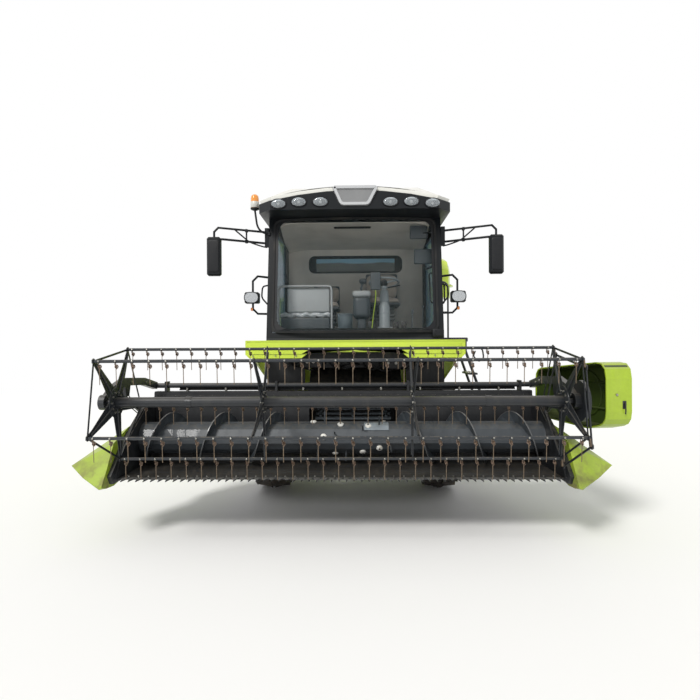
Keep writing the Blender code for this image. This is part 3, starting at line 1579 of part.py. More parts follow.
def make_steering_column():
    """The steering column with its wheel, leaning towards the seat."""
    floor = CAB_FLOOR_Z + CAB_WALL + SEAT_GAP
    base = box(
        (COLUMN_X - COLUMN_HALF, COLUMN_Y - COLUMN_HALF, floor),
        (COLUMN_X + COLUMN_HALF, COLUMN_Y + COLUMN_HALF, floor + COLUMN_HALF),
    )
    top = Vector((COLUMN_X, COLUMN_Y + COLUMN_LEAN, WHEEL_Z))
    foot = Vector((COLUMN_X, COLUMN_Y, floor))
    stem = rod(foot + Vector((0, 0, COLUMN_HALF / 2)), top, COLUMN_HALF / 3)
    axis = (top - foot).normalized()
    turn = axis.to_track_quat("Z", "Y").to_matrix().to_4x4()
    ring = []
    for i in range(WHEEL_STEPS):
        angle = 2 * math.pi * i / WHEEL_STEPS
        ring.append((WHEEL_RADIUS * math.cos(angle), WHEEL_RADIUS * math.sin(angle), 0))
    rim = moved(tube(ring, RAIL_RADIUS, 1, True), Matrix.Translation(top) @ turn)
    pieces = [base, stem, rim]
    for i in range(SPOKES):
        angle = 2 * math.pi * (i + SPOKE_SHARE) / SPOKES
        tip = Vector((WHEEL_RADIUS * math.cos(angle), WHEEL_RADIUS * math.sin(angle), 0))
        reach = turn @ tip
        pieces.append(rod(top - axis * SINK, top + reach, RAIL_RADIUS * SPOKE_THIN_SHARE, 6))
    node("steering_column", fused(pieces), "black_plastic")


# Feeder house


def tangent_angle(y, z, radius, below):
    """The slope, in degrees, of the line from a point to a circle about the feeder's pivot."""
    across, up = FEEDER_PIVOT_Y - y, FEEDER_PIVOT_Z - z
    offset = math.asin(radius / math.hypot(across, up))
    return math.degrees(math.atan2(up, across) + (-offset if below else offset))


def feeder_outline(inset, front):
    """The feeder house from its side: a box that tapers back to a round end about its pivot."""
    radius = FEEDER_END_RADIUS - inset
    low, high = FEEDER_LOW_Z + inset, FEEDER_HIGH_Z - inset
    under = tangent_angle(HEADER_REAR_Y, low, radius, True)
    above = tangent_angle(HEADER_REAR_Y, high, radius, False)
    centre = (FEEDER_PIVOT_Y, FEEDER_PIVOT_Z)
    end = arc(centre, radius, under - 90, above + 90, FEEDER_ARC_STEPS)
    return [(front, high), (front, low)] + end


def make_feeder_house():
    """The feeder house: an open channel from the header's mouth up to the body."""
    joint_at("feeder_lift", (0, FEEDER_PIVOT_Y, FEEDER_PIVOT_Z))
    half = FEEDER_WIDTH / 2
    front = HEADER_REAR_Y + SEAT_GAP
    shell = plate(feeder_outline(0, front), "X", -half, half)
    wall = FEEDER_SHEET
    hollow = plate(feeder_outline(wall, front - OVERRUN), "X", wall - half, half - wall)
    outlet = box(
        (wall - half, FEEDER_PIVOT_Y, FEEDER_PIVOT_Z - OUTLET_HALF),
        (half - wall, FEEDER_PIVOT_Y + FEEDER_END_RADIUS + OVERRUN, FEEDER_PIVOT_Z + OUTLET_HALF),
    )
    pivot = rod(
        (half - SINK, FEEDER_PIVOT_Y, FEEDER_PIVOT_Z),
        (half + TRUNNION_LENGTH - PIN_GAP, FEEDER_PIVOT_Y, FEEDER_PIVOT_Z),
        TRUNNION_RADIUS,
        TRUNNION_SIDES,
    )
    ear = plate(
        [
            (LIFT_ROD_Y - LIFT_EYE_RADIUS, LIFT_ROD_Z - LIFT_EYE_RADIUS),
            (LIFT_ROD_Y + LIFT_EYE_RADIUS, LIFT_ROD_Z - LIFT_EYE_RADIUS),
            (LIFT_ROD_Y + FEEDER_ROD_EAR, LIFT_ROD_Z + FEEDER_ROD_EAR),
            (LIFT_ROD_Y - FEEDER_ROD_EAR, LIFT_ROD_Z + FEEDER_ROD_EAR),
        ],
        "X",
        half - SINK,
        LIFT_X - LIFT_EYE_HALF - SEAT_GAP,
    )
    pin = rod(
        (half, LIFT_ROD_Y, LIFT_ROD_Z),
        (LIFT_X + LIFT_EYE_HALF, LIFT_ROD_Y, LIFT_ROD_Z),
        LIFT_PIN_RADIUS,
    )
    mesh = fused([shell] + both_sides([pivot, ear, pin]), [hollow, outlet])
    node("feeder_house", mesh, "anthracite_paint", "feeder_lift")


def make_header_frame():
    """The grain header's pan, back sheet, beams, ribs and two side sheets, as one weldment."""
    centre = (AUGER_Y, AUGER_Z)
    top = HEADER_TOP_Z - HEADER_SHEET
    inside = arc(centre, PAN_RADIUS, 270, 360, PAN_STEPS)
    outside = arc(centre, PAN_RADIUS + HEADER_SHEET, 360, 270, PAN_STEPS)
    pan_z = AUGER_Z - PAN_RADIUS
    pan = plate(
        [(PAN_FRONT_Y, pan_z)]
        + inside
        + [(inside[-1][0], top), (outside[0][0], top)]
        + outside
        + [(PAN_FRONT_Y, pan_z - HEADER_SHEET)],
        "X",
        -HEADER_INSIDE - SINK,
        HEADER_INSIDE + SINK,
    )
    back = outside[0][0]
    beam = box(
        (-HEADER_INSIDE - SINK, back - SINK, HEADER_TOP_Z - BEAM_DEPTH),
        (HEADER_INSIDE + SINK, HEADER_REAR_Y, HEADER_TOP_Z),
    )
    toe = box(
        (-HEADER_INSIDE - SINK, AUGER_Y, SHEET_LOW_Z - HEADER_SHEET * 2),
        (HEADER_INSIDE + SINK, AUGER_Y + BEAM_DEPTH, pan_z - HEADER_SHEET / 2),
    )
    rib_line = arc(centre, PAN_RADIUS + HEADER_SHEET / 2, 288, 360, PAN_STEPS)
    ribs = []
    places = [share * HEADER_INSIDE for share in RIB_SHARES]
    for side in (-1, 1):
        places.append(MOUTH_MIDDLE_X - HEADER_MIDDLE_X + side * (MOUTH_HALF + RIB_THICK))
    for x in places:
        ribs.append(
            plate(
                rib_line
                + [
                    (back, HEADER_TOP_Z - BEAM_DEPTH / 2),
                    (HEADER_REAR_Y, HEADER_TOP_Z - BEAM_DEPTH / 2),
                    (HEADER_REAR_Y, SHEET_LOW_Z),
                    (rib_line[0][0], SHEET_LOW_Z),
                ],
                "X",
                x - RIB_THICK / 2,
                x + RIB_THICK / 2,
            )
        )
    sheet = plate(
        [
            (HEADER_REAR_Y, SHEET_LOW_Z),
            (HEADER_REAR_Y, SIDE_TOP_Z),
            (HEADER_BACK_Y - SIDE_RUN, SIDE_TOP_Z),
            (KNIFE_Y + SIDE_RUN, KNIFE_Z + SIDE_STEP),
            (SHEET_NOSE_Y, KNIFE_Z + SIDE_NOSE),
            (SHEET_NOSE_Y + SIDE_NOSE, SHEET_LOW_Z),
        ],
        "X",
        HEADER_INSIDE,
        HEADER_INSIDE + SIDE_SHEET,
    )
    ears = []
    for share in EAR_SHARES:
        x = share * HEADER_INSIDE
        ears.append(
            plate(
                [
                    (ARM_PIVOT_Y - EAR_HALF, HEADER_TOP_Z - SINK),
                    (ARM_PIVOT_Y + EAR_HALF, HEADER_TOP_Z - SINK),
                    (ARM_PIVOT_Y + EAR_HALF, ARM_PIVOT_Z + EAR_HALF),
                    (ARM_PIVOT_Y - EAR_HALF, ARM_PIVOT_Z + EAR_HALF),
                ],
                "X",
                x - EAR_THICK / 2,
                x + EAR_THICK / 2,
            )
        )
    hinge_x = COVER_HINGE_X - HEADER_MIDDLE_X
    bracket = box(
        (HEADER_INSIDE + SINK, HEADER_REAR_Y - BEAM_DEPTH, COVER_LOW_Z + BEAM_DEPTH),
        (
            hinge_x - COVER_HINGE_RADIUS - SEAT_GAP,
            COVER_HINGE_Y + COVER_HINGE_RADIUS,
            SIDE_TOP_Z - BEAM_DEPTH / 2,
        ),
    )
    barrel_pin = rod(
        (HEADER_INSIDE, REEL_BARREL_Y, REEL_BARREL_Z),
        (REEL_CYLINDER_X + REEL_EYE_HALF, REEL_BARREL_Y, REEL_BARREL_Z),
        REEL_PIN_RADIUS,
    )
    mouth = box(
        (MOUTH_MIDDLE_X - HEADER_MIDDLE_X - MOUTH_HALF, AUGER_Y + PAN_RADIUS / 2, MOUTH_LOW_Z),
        (MOUTH_MIDDLE_X - HEADER_MIDDLE_X + MOUTH_HALF, HEADER_REAR_Y + OVERRUN, MOUTH_HIGH_Z),
    )
    long_hole = HEADER_INSIDE + OVERRUN * 2
    facet = math.cos(math.pi / SHAFT_SIDES)
    pivot_hole = rod(
        (-long_hole, ARM_PIVOT_Y, ARM_PIVOT_Z),
        (long_hole, ARM_PIVOT_Y, ARM_PIVOT_Z),
        (ARM_PIVOT_RADIUS + PIN_GAP) / facet,
        SHAFT_SIDES,
    )
    shaft_hole = rod(
        (-long_hole, AUGER_Y, AUGER_Z),
        (long_hole, AUGER_Y, AUGER_Z),
        (SHAFT_RADIUS + PIN_GAP) / facet,
        SHAFT_SIDES,
    )
    pieces = [pan, beam, toe] + ribs + ears + both_sides([sheet, barrel_pin]) + [bracket]
    mesh = fused(pieces, [mouth, pivot_hole, shaft_hole])
    header_node("header_frame", mesh, "anthracite_paint", "feeder_lift")


def header_node(name, mesh, finish_name, joint):
    """A node whose mesh was made from the header's own middle."""
    return node(name, shifted(mesh, HEADER_MIDDLE_X), finish_name, joint)


def make_dividers():
    """The pointed crop dividers outside the side sheets, each with its flared wing."""
    root = HEADER_INSIDE + SIDE_SHEET + SEAT_GAP
    sections = []
    for ahead, ridge, wing, wing_rise, under, under_rise in DIVIDER_SHARES:
        y = DIVIDER_REAR_Y - ahead * DIVIDER_REACH
        low = DIVIDER_LOW_Z + under_rise * DIVIDER_RISE
        sections.append(
            [
                (root, y, DIVIDER_LOW_Z + ridge * DIVIDER_RISE),
                (root + wing * DIVIDER_WING, y, DIVIDER_LOW_Z + wing_rise * DIVIDER_RISE),
                (root + under * DIVIDER_WING, y, low),
                (root, y, low + DIVIDER_HEEL / 2),
            ]
        )
    mesh = loft(sections)
    header_node("divider_left", mesh, "lime_paint", "feeder_lift")
    header_node("divider_right", mirrored(mesh), "lime_paint", "feeder_lift")


def make_cutterbar():
    """The cutterbar: a flat bar with a pointed guard every three inches."""
    half = HEADER_INSIDE - SEAT_GAP
    back = PAN_FRONT_Y - SEAT_GAP
    count = int((2 * half - GUARD_PITCH) / GUARD_PITCH)
    start = -count * GUARD_PITCH / 2
    outline = [(half, back), (-half, back), (-half, KNIFE_Y)]
    for i in range(count + 1):
        x = start + i * GUARD_PITCH
        outline += [
            (x - GUARD_ROOT_HALF, KNIFE_Y),
            (x, KNIFE_Y - GUARD_LENGTH),
            (x + GUARD_ROOT_HALF, KNIFE_Y),
        ]
    outline.append((half, KNIFE_Y))
    low = KNIFE_Z - BAR_THICK
    mesh = plate(outline, "Z", low, KNIFE_Z)
    header_node("cutterbar", mesh, "worn_steel", "feeder_lift")


def cover_outline(inset):
    front = COVER_HINGE_Y - COVER_LENGTH + inset
    rear = COVER_HINGE_Y - COVER_HINGE_RADIUS - inset
    return rounded(
        [
            (front, COVER_LOW_Z + COVER_CORNER / 2 + inset),
            (front + COVER_CORNER * 2, COVER_LOW_Z + inset),
            (rear, COVER_LOW_Z + inset),
            (rear, COVER_REAR_TOP_Z - inset),
            (front, COVER_FRONT_TOP_Z - inset),
        ],
        COVER_CORNER - inset,
        3,
    )


def make_drive_cover():
    """The lime cover over the header's drives, a deep tray hinged at its rear, ajar."""
    joint_at("cover_hinge", (COVER_HINGE_X, COVER_HINGE_Y, COVER_LOW_Z), "feeder_lift")
    outer_x = COVER_HINGE_X + COVER_DEPTH
    tray = plate(cover_outline(0), "X", COVER_HINGE_X, outer_x)
    hollow = plate(
        cover_outline(COVER_WALL), "X", COVER_HINGE_X - OVERRUN, outer_x - COVER_WALL
    )
    low, high = COVER_LOW_Z + BEAM_DEPTH, SIDE_TOP_Z - BEAM_DEPTH / 2
    knuckle = rod(
        (COVER_HINGE_X, COVER_HINGE_Y, low), (COVER_HINGE_X, COVER_HINGE_Y, high), COVER_HINGE_RADIUS
    )
    leaf = box(
        (COVER_HINGE_X - COVER_WALL / 2, COVER_HINGE_Y - COVER_WALL * 4, low),
        (COVER_HINGE_X + COVER_WALL / 2, COVER_HINGE_Y, high),
    )
    mesh = fused([tray, knuckle, leaf], [hollow])
    place = (COVER_HINGE_X, COVER_HINGE_Y, COVER_LOW_Z)
    mesh = turned_about(mesh, place, "Z", COVER_OPEN)
    node("drive_cover", mesh, "lime_paint", "cover_hinge")


def flight(side):
    """A screw flight from the drum's end in towards the fingers, wound by side."""
    length = AUGER_HALF - OVERRUN - FLIGHT_INNER_X
    count = math.ceil(length / AUGER_PITCH * FLIGHT_STEPS)
    sections = []
    for i in range(count + 1):
        x = side * (AUGER_HALF - OVERRUN - length * i / count)
        angle = side * 2 * math.pi * x / AUGER_PITCH
        out = Vector((0, math.cos(angle), math.sin(angle)))
        middle = Vector((x, AUGER_Y, AUGER_Z))
        thick = Vector((FLIGHT_THICK / 2, 0, 0))
        low = out * (AUGER_DRUM_RADIUS - SINK * 2)
        high = out * AUGER_FLIGHT_RADIUS
        sections.append(
            [middle + low - thick, middle + low + thick, middle + high + thick, middle + high - thick]
        )
    return loft(sections)


def make_header_auger():
    """The cross auger: a drum with a flight from each end and steel fingers between them."""
    joint_at("auger_spin", (HEADER_MIDDLE_X, AUGER_Y, AUGER_Z), "feeder_lift")
    axis = (AUGER_Y, AUGER_Z)
    drum = rod((-AUGER_HALF, *axis), (AUGER_HALF, *axis), AUGER_DRUM_RADIUS, DRUM_SIDES)
    reach = HEADER_INSIDE + SIDE_SHEET
    shaft = rod((-reach, *axis), (reach, *axis), SHAFT_RADIUS, SHAFT_SIDES)
    sunk = AUGER_DRUM_RADIUS - SINK * 3
    fingers = []
    for along_share, turn_share in FINGER_PLACES:
        angle = 2 * math.pi * turn_share
        foot = Vector((along_share * FLIGHT_INNER_X + FINGER_SHIFT, *axis))
        out = Vector((0, math.cos(angle), math.sin(angle)))
        tip = foot + out * FINGER_REACH
        fingers.append(rod(foot + out * sunk, tip, FINGER_RADIUS, FINGER_SIDES))
    mesh = fused([drum, shaft, flight(1), flight(-1)] + fingers)
    header_node("header_auger", mesh, "worn_steel", "auger_spin")


def band(line, half):
    """The outline of a strip of this half width along a line of points."""
    left, right = [], []
    for i, point in enumerate(line):
        before = Vector(line[max(i - 1, 0)])
        after = Vector(line[min(i + 1, len(line) - 1)])
        along = (after - before).normalized()
        across = Vector((-along.y, along.x)) * half
        left.append(tuple(Vector(point) + across))
        right.append(tuple(Vector(point) - across))
    return left + right[::-1]


def make_reel_arms():
    """The two bent reel arms on their cross tube, each with a bearing for the reel."""
    joint_at("reel_lift", (HEADER_MIDDLE_X, ARM_PIVOT_Y, ARM_PIVOT_Z), "feeder_lift")
    arm = plate(band(ARM_LINE, ARM_DEPTH), "X", ARM_X - ARM_HALF, ARM_X + ARM_HALF)
    hub = rod(
        (ARM_X - ARM_HALF, REEL_Y, REEL_Z), (ARM_X + ARM_HALF, REEL_Y, REEL_Z), BEARING_RADIUS, 16
    )
    ear = plate(
        [
            (REEL_ROD_Y - REEL_EYE_RADIUS, REEL_ROD_Z - REEL_EYE_RADIUS),
            (REEL_ROD_Y + REEL_EYE_RADIUS, REEL_ROD_Z - REEL_EYE_RADIUS),
            (REEL_ROD_Y + REEL_EYE_RADIUS * 2, REEL_ROD_Z + ROD_EAR_RISE),
            (REEL_ROD_Y - REEL_EYE_RADIUS * 2, REEL_ROD_Z + ROD_EAR_RISE),
        ],
        "X",
        ARM_X - ARM_HALF / 2,
        ARM_X + ARM_HALF,
    )
    pin = rod(
        (ARM_X, REEL_ROD_Y, REEL_ROD_Z),
        (REEL_CYLINDER_X + REEL_EYE_HALF, REEL_ROD_Y, REEL_ROD_Z),
        REEL_PIN_RADIUS,
    )
    cross = rod(
        (-ARM_X, ARM_PIVOT_Y, ARM_PIVOT_Z),
        (ARM_X, ARM_PIVOT_Y, ARM_PIVOT_Z),
        ARM_PIVOT_RADIUS,
        SHAFT_SIDES,
    )
    bore = rod(
        (-ARM_X - OVERRUN, REEL_Y, REEL_Z),
        (ARM_X + OVERRUN, REEL_Y, REEL_Z),
        (STUB_RADIUS + PIN_GAP) / math.cos(math.pi / SHAFT_SIDES),
        SHAFT_SIDES,
    )
    mesh = fused([cross] + both_sides([arm, hub, ear, pin]), [bore])
    header_node("reel_arms", mesh, "anthracite_paint", "reel_lift")


def bar_place(i):
    """Middle of the reel's bar number i, its angle counted up from straight ahead."""
    angle = REEL_FIRST_BAR - 2 * math.pi * i / REEL_BARS
    return (REEL_Y - REEL_RADIUS * math.cos(angle), REEL_Z + REEL_RADIUS * math.sin(angle))


def strap(start, end, half, x, thick):
    """A flat bar between two (y, z) places, standing across the reel's axis."""
    return plate(band((start, end), half), "X", x - thick / 2, x + thick / 2)


def make_reel_core():
    """The reel's centre tube with its spiders, stub shafts and drive sheave."""
    joint_at("reel_spin", (HEADER_MIDDLE_X, REEL_Y, REEL_Z), "reel_lift")
    axis = (REEL_Y, REEL_Z)
    half = SPIDER_PLACES[-1] + SPIDER_THICK / 2
    core = rod((-half, *axis), (half, *axis), REEL_TUBE_RADIUS, 16)
    right_end = ARM_X + ARM_HALF
    stub = rod((-right_end, *axis), (SHEAVE_LOW_X + SHEAVE_THICK, *axis), STUB_RADIUS, SHAFT_SIDES)
    sheave = rod(
        (SHEAVE_LOW_X, *axis), (SHEAVE_LOW_X + SHEAVE_THICK, *axis), SHEAVE_RADIUS, 24
    )
    pieces = [core, stub, sheave]
    bores = []
    facet = math.cos(math.pi / BAR_SIDES)
    corners = [bar_place(i) for i in range(REEL_BARS)]
    for x in SPIDER_PLACES:
        low, high = x - SPIDER_THICK / 2, x + SPIDER_THICK / 2
        for i, corner in enumerate(corners):
            pieces.append(strap(axis, corner, SPIDER_ARM_HALF, x, SPIDER_THICK - SINK / 2))
            pieces.append(rod((low, *corner), (high, *corner), BOSS_RADIUS, BAR_SIDES))
            if abs(x) == SPIDER_PLACES[-1]:
                after = corners[(i + 1) % REEL_BARS]
                pieces.append(strap(corner, after, SPIDER_ARM_HALF / 2, x, SPIDER_THICK - SINK))
    bore = (BAR_RADIUS + PIN_GAP) / facet
    for corner in corners:
        low, high = (-half - OVERRUN, *corner), (half + OVERRUN, *corner)
        bores.append(rod(low, high, bore, BAR_SIDES))
    header_node("reel_core", fused(pieces, bores), "anthracite_paint", "reel_spin")


def make_tine_bars():
    """Five tine bars that stay upright as the reel turns, each with a crank at its left end."""
    half = SPIDER_PLACES[-1] + SPIDER_THICK / 2
    end = half + CRANK_GAP + CRANK_THICK
    bar = rod((-half - CRANK_GAP, 0, 0), (end, 0, 0), BAR_RADIUS, BAR_SIDES)
    crank = plate(
        band(((0, 0), (ECCENTRIC_Y, ECCENTRIC_Z)), BAR_RADIUS), "X", end - CRANK_THICK, end
    )
    pin = rod(
        (end - SINK, ECCENTRIC_Y, ECCENTRIC_Z),
        (end + CRANK_GAP + CRANK_THICK + CRANK_GAP, ECCENTRIC_Y, ECCENTRIC_Z),
        CRANK_PIN_RADIUS,
        BAR_SIDES,
    )
    tines = []
    for i in range(TINES_PER_BAR):
        x = (i - (TINES_PER_BAR - 1) / 2) * TINE_PITCH
        tines.append(rod((x, 0, 0), (x, TINE_RAKE, -TINE_DROP), TINE_RADIUS, TINE_SIDES))
    mesh = fused([bar, crank, pin] + tines)
    for i in range(REEL_BARS):
        y, z = bar_place(i)
        name = f"tine_bar_{i + 1}"
        joint_at(name + "_swing", (HEADER_MIDDLE_X, y, z), "reel_spin")
        node(name, shifted(mesh, HEADER_MIDDLE_X, y, z), "tine_steel", name + "_swing")


def make_reel_eccentric():
    """The eccentric ring that joins the five cranks and keeps the tines upright."""
    centre = (REEL_Y + ECCENTRIC_Y, REEL_Z + ECCENTRIC_Z)
    joint_at("eccentric_spin", (HEADER_MIDDLE_X, *centre), "reel_lift")
    half = SPIDER_PLACES[-1] + SPIDER_THICK / 2
    low = half + CRANK_GAP + CRANK_THICK + CRANK_GAP
    x = low + CRANK_THICK / 2
    pieces, bores = [], []
    for i in range(REEL_BARS):
        one, two = bar_place(i), bar_place((i + 1) % REEL_BARS)
        one = (one[0] + ECCENTRIC_Y, one[1] + ECCENTRIC_Z)
        two = (two[0] + ECCENTRIC_Y, two[1] + ECCENTRIC_Z)
        pieces.append(strap(one, two, SPIDER_ARM_HALF / 2, x, CRANK_THICK - SINK / 2))
        pieces.append(rod((low, *one), (low + CRANK_THICK, *one), BOSS_RADIUS, BAR_SIDES))
        hole = (CRANK_PIN_RADIUS + PIN_GAP) / math.cos(math.pi / BAR_SIDES)
        bores.append(rod((low - OVERRUN, *one), (low + OVERRUN, *one), hole, BAR_SIDES))
    header_node("reel_eccentric", fused(pieces, bores), "anthracite_paint", "eccentric_spin")


# Cylinders

def make_cylinder(name, low, high, sizes, carrier, finish_name="anthracite_paint"):
    """A hydraulic cylinder from its barrel's eye to its rod's eye, both across X.

    The rod's eye has play round its pin, because the joints carry it along a line that only
    comes near the pin's true arc.
    """
    (
        eye_radius,
        eye_half,
        pin_radius,
        barrel_radius,
        barrel_length,
        rod_radius,
        rod_length,
        eye_play,
    ) = sizes
    low, high = Vector(low), Vector(high)
    along = (high - low).normalized()
    joint_at(name + "_hinge", low, carrier)
    joint_at(name + "_slide", low, name + "_hinge")
    facet = math.cos(math.pi / 12)
    side = Vector((eye_half, 0, 0))
    hole = (pin_radius + PIN_GAP) / facet
    long_side = Vector((eye_half + OVERRUN, 0, 0))
    start = low + along * eye_radius * NECK_SHARE
    barrel = rod(start, low + along * barrel_length, barrel_radius)
    neck = rod(low, start + along * SINK, eye_half)
    eye = rod(low - side, low + side, eye_radius)
    bore = rod(
        start + along * SINK,
        low + along * (barrel_length + OVERRUN),
        (rod_radius + PIN_GAP) / facet,
    )
    pin_hole = rod(low - long_side, low + long_side, hole)
    mesh = fused([barrel, neck, eye], [bore, pin_hole])
    node(name + "_barrel", mesh, finish_name, name + "_hinge")
    shaft = rod(high - along * rod_length, high, rod_radius)
    eye = rod(high - side, high + side, eye_radius)
    wide_hole = (pin_radius + eye_play) / facet
    mesh = fused([shaft, eye], [rod(high - long_side, high + long_side, wide_hole)])
    node(name + "_rod", mesh, "chrome_rod", name + "_slide")


def make_cylinders():
    lift_sizes = (
        LIFT_EYE_RADIUS,
        LIFT_EYE_HALF,
        LIFT_PIN_RADIUS,
        LIFT_BARREL_RADIUS,
        LIFT_BARREL_LENGTH,
        LIFT_ROD_RADIUS,
        LIFT_ROD_LENGTH,
        LIFT_EYE_PLAY,
    )
    reel_sizes = (
        REEL_EYE_RADIUS,
        REEL_EYE_HALF,
        REEL_PIN_RADIUS,
        REEL_BARREL_RADIUS,
        REEL_BARREL_LENGTH,
        REEL_ROD_RADIUS,
        REEL_ROD_LENGTH,
        REEL_EYE_PLAY,
    )
    for side_name, side in (("left", 1), ("right", -1)):
        x = side * LIFT_X
        make_cylinder(
            "lift_cylinder_" + side_name,
            (x, LIFT_BARREL_Y, LIFT_BARREL_Z),
            (x, LIFT_ROD_Y, LIFT_ROD_Z),
            lift_sizes,
            None,
        )
        x = HEADER_MIDDLE_X + side * REEL_CYLINDER_X
        make_cylinder(
            "reel_cylinder_" + side_name,
            (x, REEL_BARREL_Y, REEL_BARREL_Z),
            (x, REEL_ROD_Y, REEL_ROD_Z),
            reel_sizes,
            "feeder_lift",
        )


def stand_on_origin():
    """Moves the whole so that the origin lies on the ground under the middle of its outline."""
    bpy.context.view_layer.update()
    corners = [
        obj.matrix_world @ vertex.co
        for obj in PARTS.objects
        if obj.type == "MESH"
        for vertex in obj.data.vertices
    ]
    low = [min(corner[k] for corner in corners) for k in range(3)]
    high = [max(corner[k] for corner in corners) for k in range(3)]
    MACHINE.location = (-(low[0] + high[0]) / 2, -(low[1] + high[1]) / 2, -low[2])


def main():
    make_front_axle()
    make_rear_axle()
    make_main_frame()
    make_wheels()
    make_thresher_body()
    make_service_doors()
    make_straw_hood()
    make_grain_tank()
    make_unloader()
    make_engine()
    make_cab_frame()
    make_windshield()
    make_cab_sides()
    make_cab_roof()
    make_deck()
    make_fascia()
    make_mirrors()
    make_seats()
    make_steering_column()
    make_feeder_house()
    make_header_frame()
    make_dividers()
    make_cutterbar()
    make_drive_cover()
    make_header_auger()
    make_reel_arms()
    make_reel_core()
    make_tine_bars()
    make_reel_eccentric()
    make_cylinders()
    stand_on_origin()


main()
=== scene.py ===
"""Looks of a combine harvester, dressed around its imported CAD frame.

Sizes are metres in the machine's own frame: the front axle's middle is at x 0, y 0, the
ground is at z 0, the header points towards -Y and the machine's left side is +X.
"""
import json
import math

import bmesh
import bpy
import numpy as np
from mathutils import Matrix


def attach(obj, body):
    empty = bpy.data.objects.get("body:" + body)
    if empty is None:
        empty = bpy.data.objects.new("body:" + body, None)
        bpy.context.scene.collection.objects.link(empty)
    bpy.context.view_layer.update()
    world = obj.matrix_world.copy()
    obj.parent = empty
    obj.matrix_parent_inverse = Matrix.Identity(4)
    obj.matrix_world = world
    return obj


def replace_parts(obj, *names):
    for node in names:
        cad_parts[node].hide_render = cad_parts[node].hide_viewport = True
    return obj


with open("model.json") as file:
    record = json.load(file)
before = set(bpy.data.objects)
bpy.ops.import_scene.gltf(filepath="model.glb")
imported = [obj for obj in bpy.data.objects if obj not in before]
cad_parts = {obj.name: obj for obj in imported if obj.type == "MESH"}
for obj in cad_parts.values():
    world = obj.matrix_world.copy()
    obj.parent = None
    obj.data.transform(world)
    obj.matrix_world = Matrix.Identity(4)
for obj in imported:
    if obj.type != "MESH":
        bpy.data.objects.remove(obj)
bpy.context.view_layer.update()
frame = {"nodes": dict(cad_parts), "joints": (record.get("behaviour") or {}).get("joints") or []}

# Shapes are drawn in the machine's own frame and set down at MACHINE, the point on the ground
# under the front axle. FORWARD is the scale that makes a shape facing +Y face -Y.
HUBS = {joint["name"]: np.array(joint["pos_m"]) for joint in frame["joints"] if "pos_m" in joint}
HUB_HEIGHT = 0.75
FORWARD = (1, -1, 1)
MACHINE = (HUBS["wheel_front_left"] + HUBS["wheel_front_right"]) / 2 - (0, 0, HUB_HEIGHT)

# The studio: a pale floor that fades to white far behind the machine, and a camera where the
# photographer stood, level with the cab's floor and seven metres ahead of the front axle.
CAMERA_PLACE = (0.05, -7.25, 1.95)
CAMERA_TURN = (90.0, 0.3, 1.04)
CAMERA_LENS = 25.97
SENSOR_WIDTH, FAR_CLIP = 36.0, 200.0

camera = bpy.data.objects.new("camera", bpy.data.cameras.new("camera"))
bpy.context.scene.collection.objects.link(camera)
camera.data.lens = CAMERA_LENS
camera.data.sensor_width = SENSOR_WIDTH
camera.data.clip_end = FAR_CLIP
camera.location = MACHINE + CAMERA_PLACE
camera.rotation_euler = [math.radians(angle) for angle in CAMERA_TURN]
bpy.context.scene.camera = camera
bpy.context.scene.view_settings.view_transform = "Standard"


class Value:
    """A number that changes over a surface. It holds one shader socket, and each operator
    on it adds the Math node of that name."""

    def __init__(self, finish, socket):
        self.finish = finish
        self.socket = socket

    def math(self, operation, *values):
        return self.finish.node("ShaderNodeMath", {"operation": operation}, dict(enumerate(values)))

    def __add__(self, other):
        return self.math("ADD", self, other)

    __radd__ = __add__

    def __sub__(self, other):
        return self.math("SUBTRACT", self, other)

    def __rsub__(self, other):
        return self.math("SUBTRACT", other, self)

    def __mul__(self, other):
        return self.math("MULTIPLY", self, other)

    __rmul__ = __mul__

    def __pow__(self, other):
        return self.math("POWER", self, other)

    def least(self, other):
        return self.math("MINIMUM", self, other)

    def most(self, other):
        return self.math("MAXIMUM", self, other)

    def sine(self):
        return self.math("SINE", self)

    def rising(self, low, high):
        """0 below low and 1 above high, with a smooth step between."""
        settings = {"interpolation_type": "SMOOTHSTEP", "clamp": True}
        return self.finish.node("ShaderNodeMapRange", settings, {0: self, 1: low, 2: high})


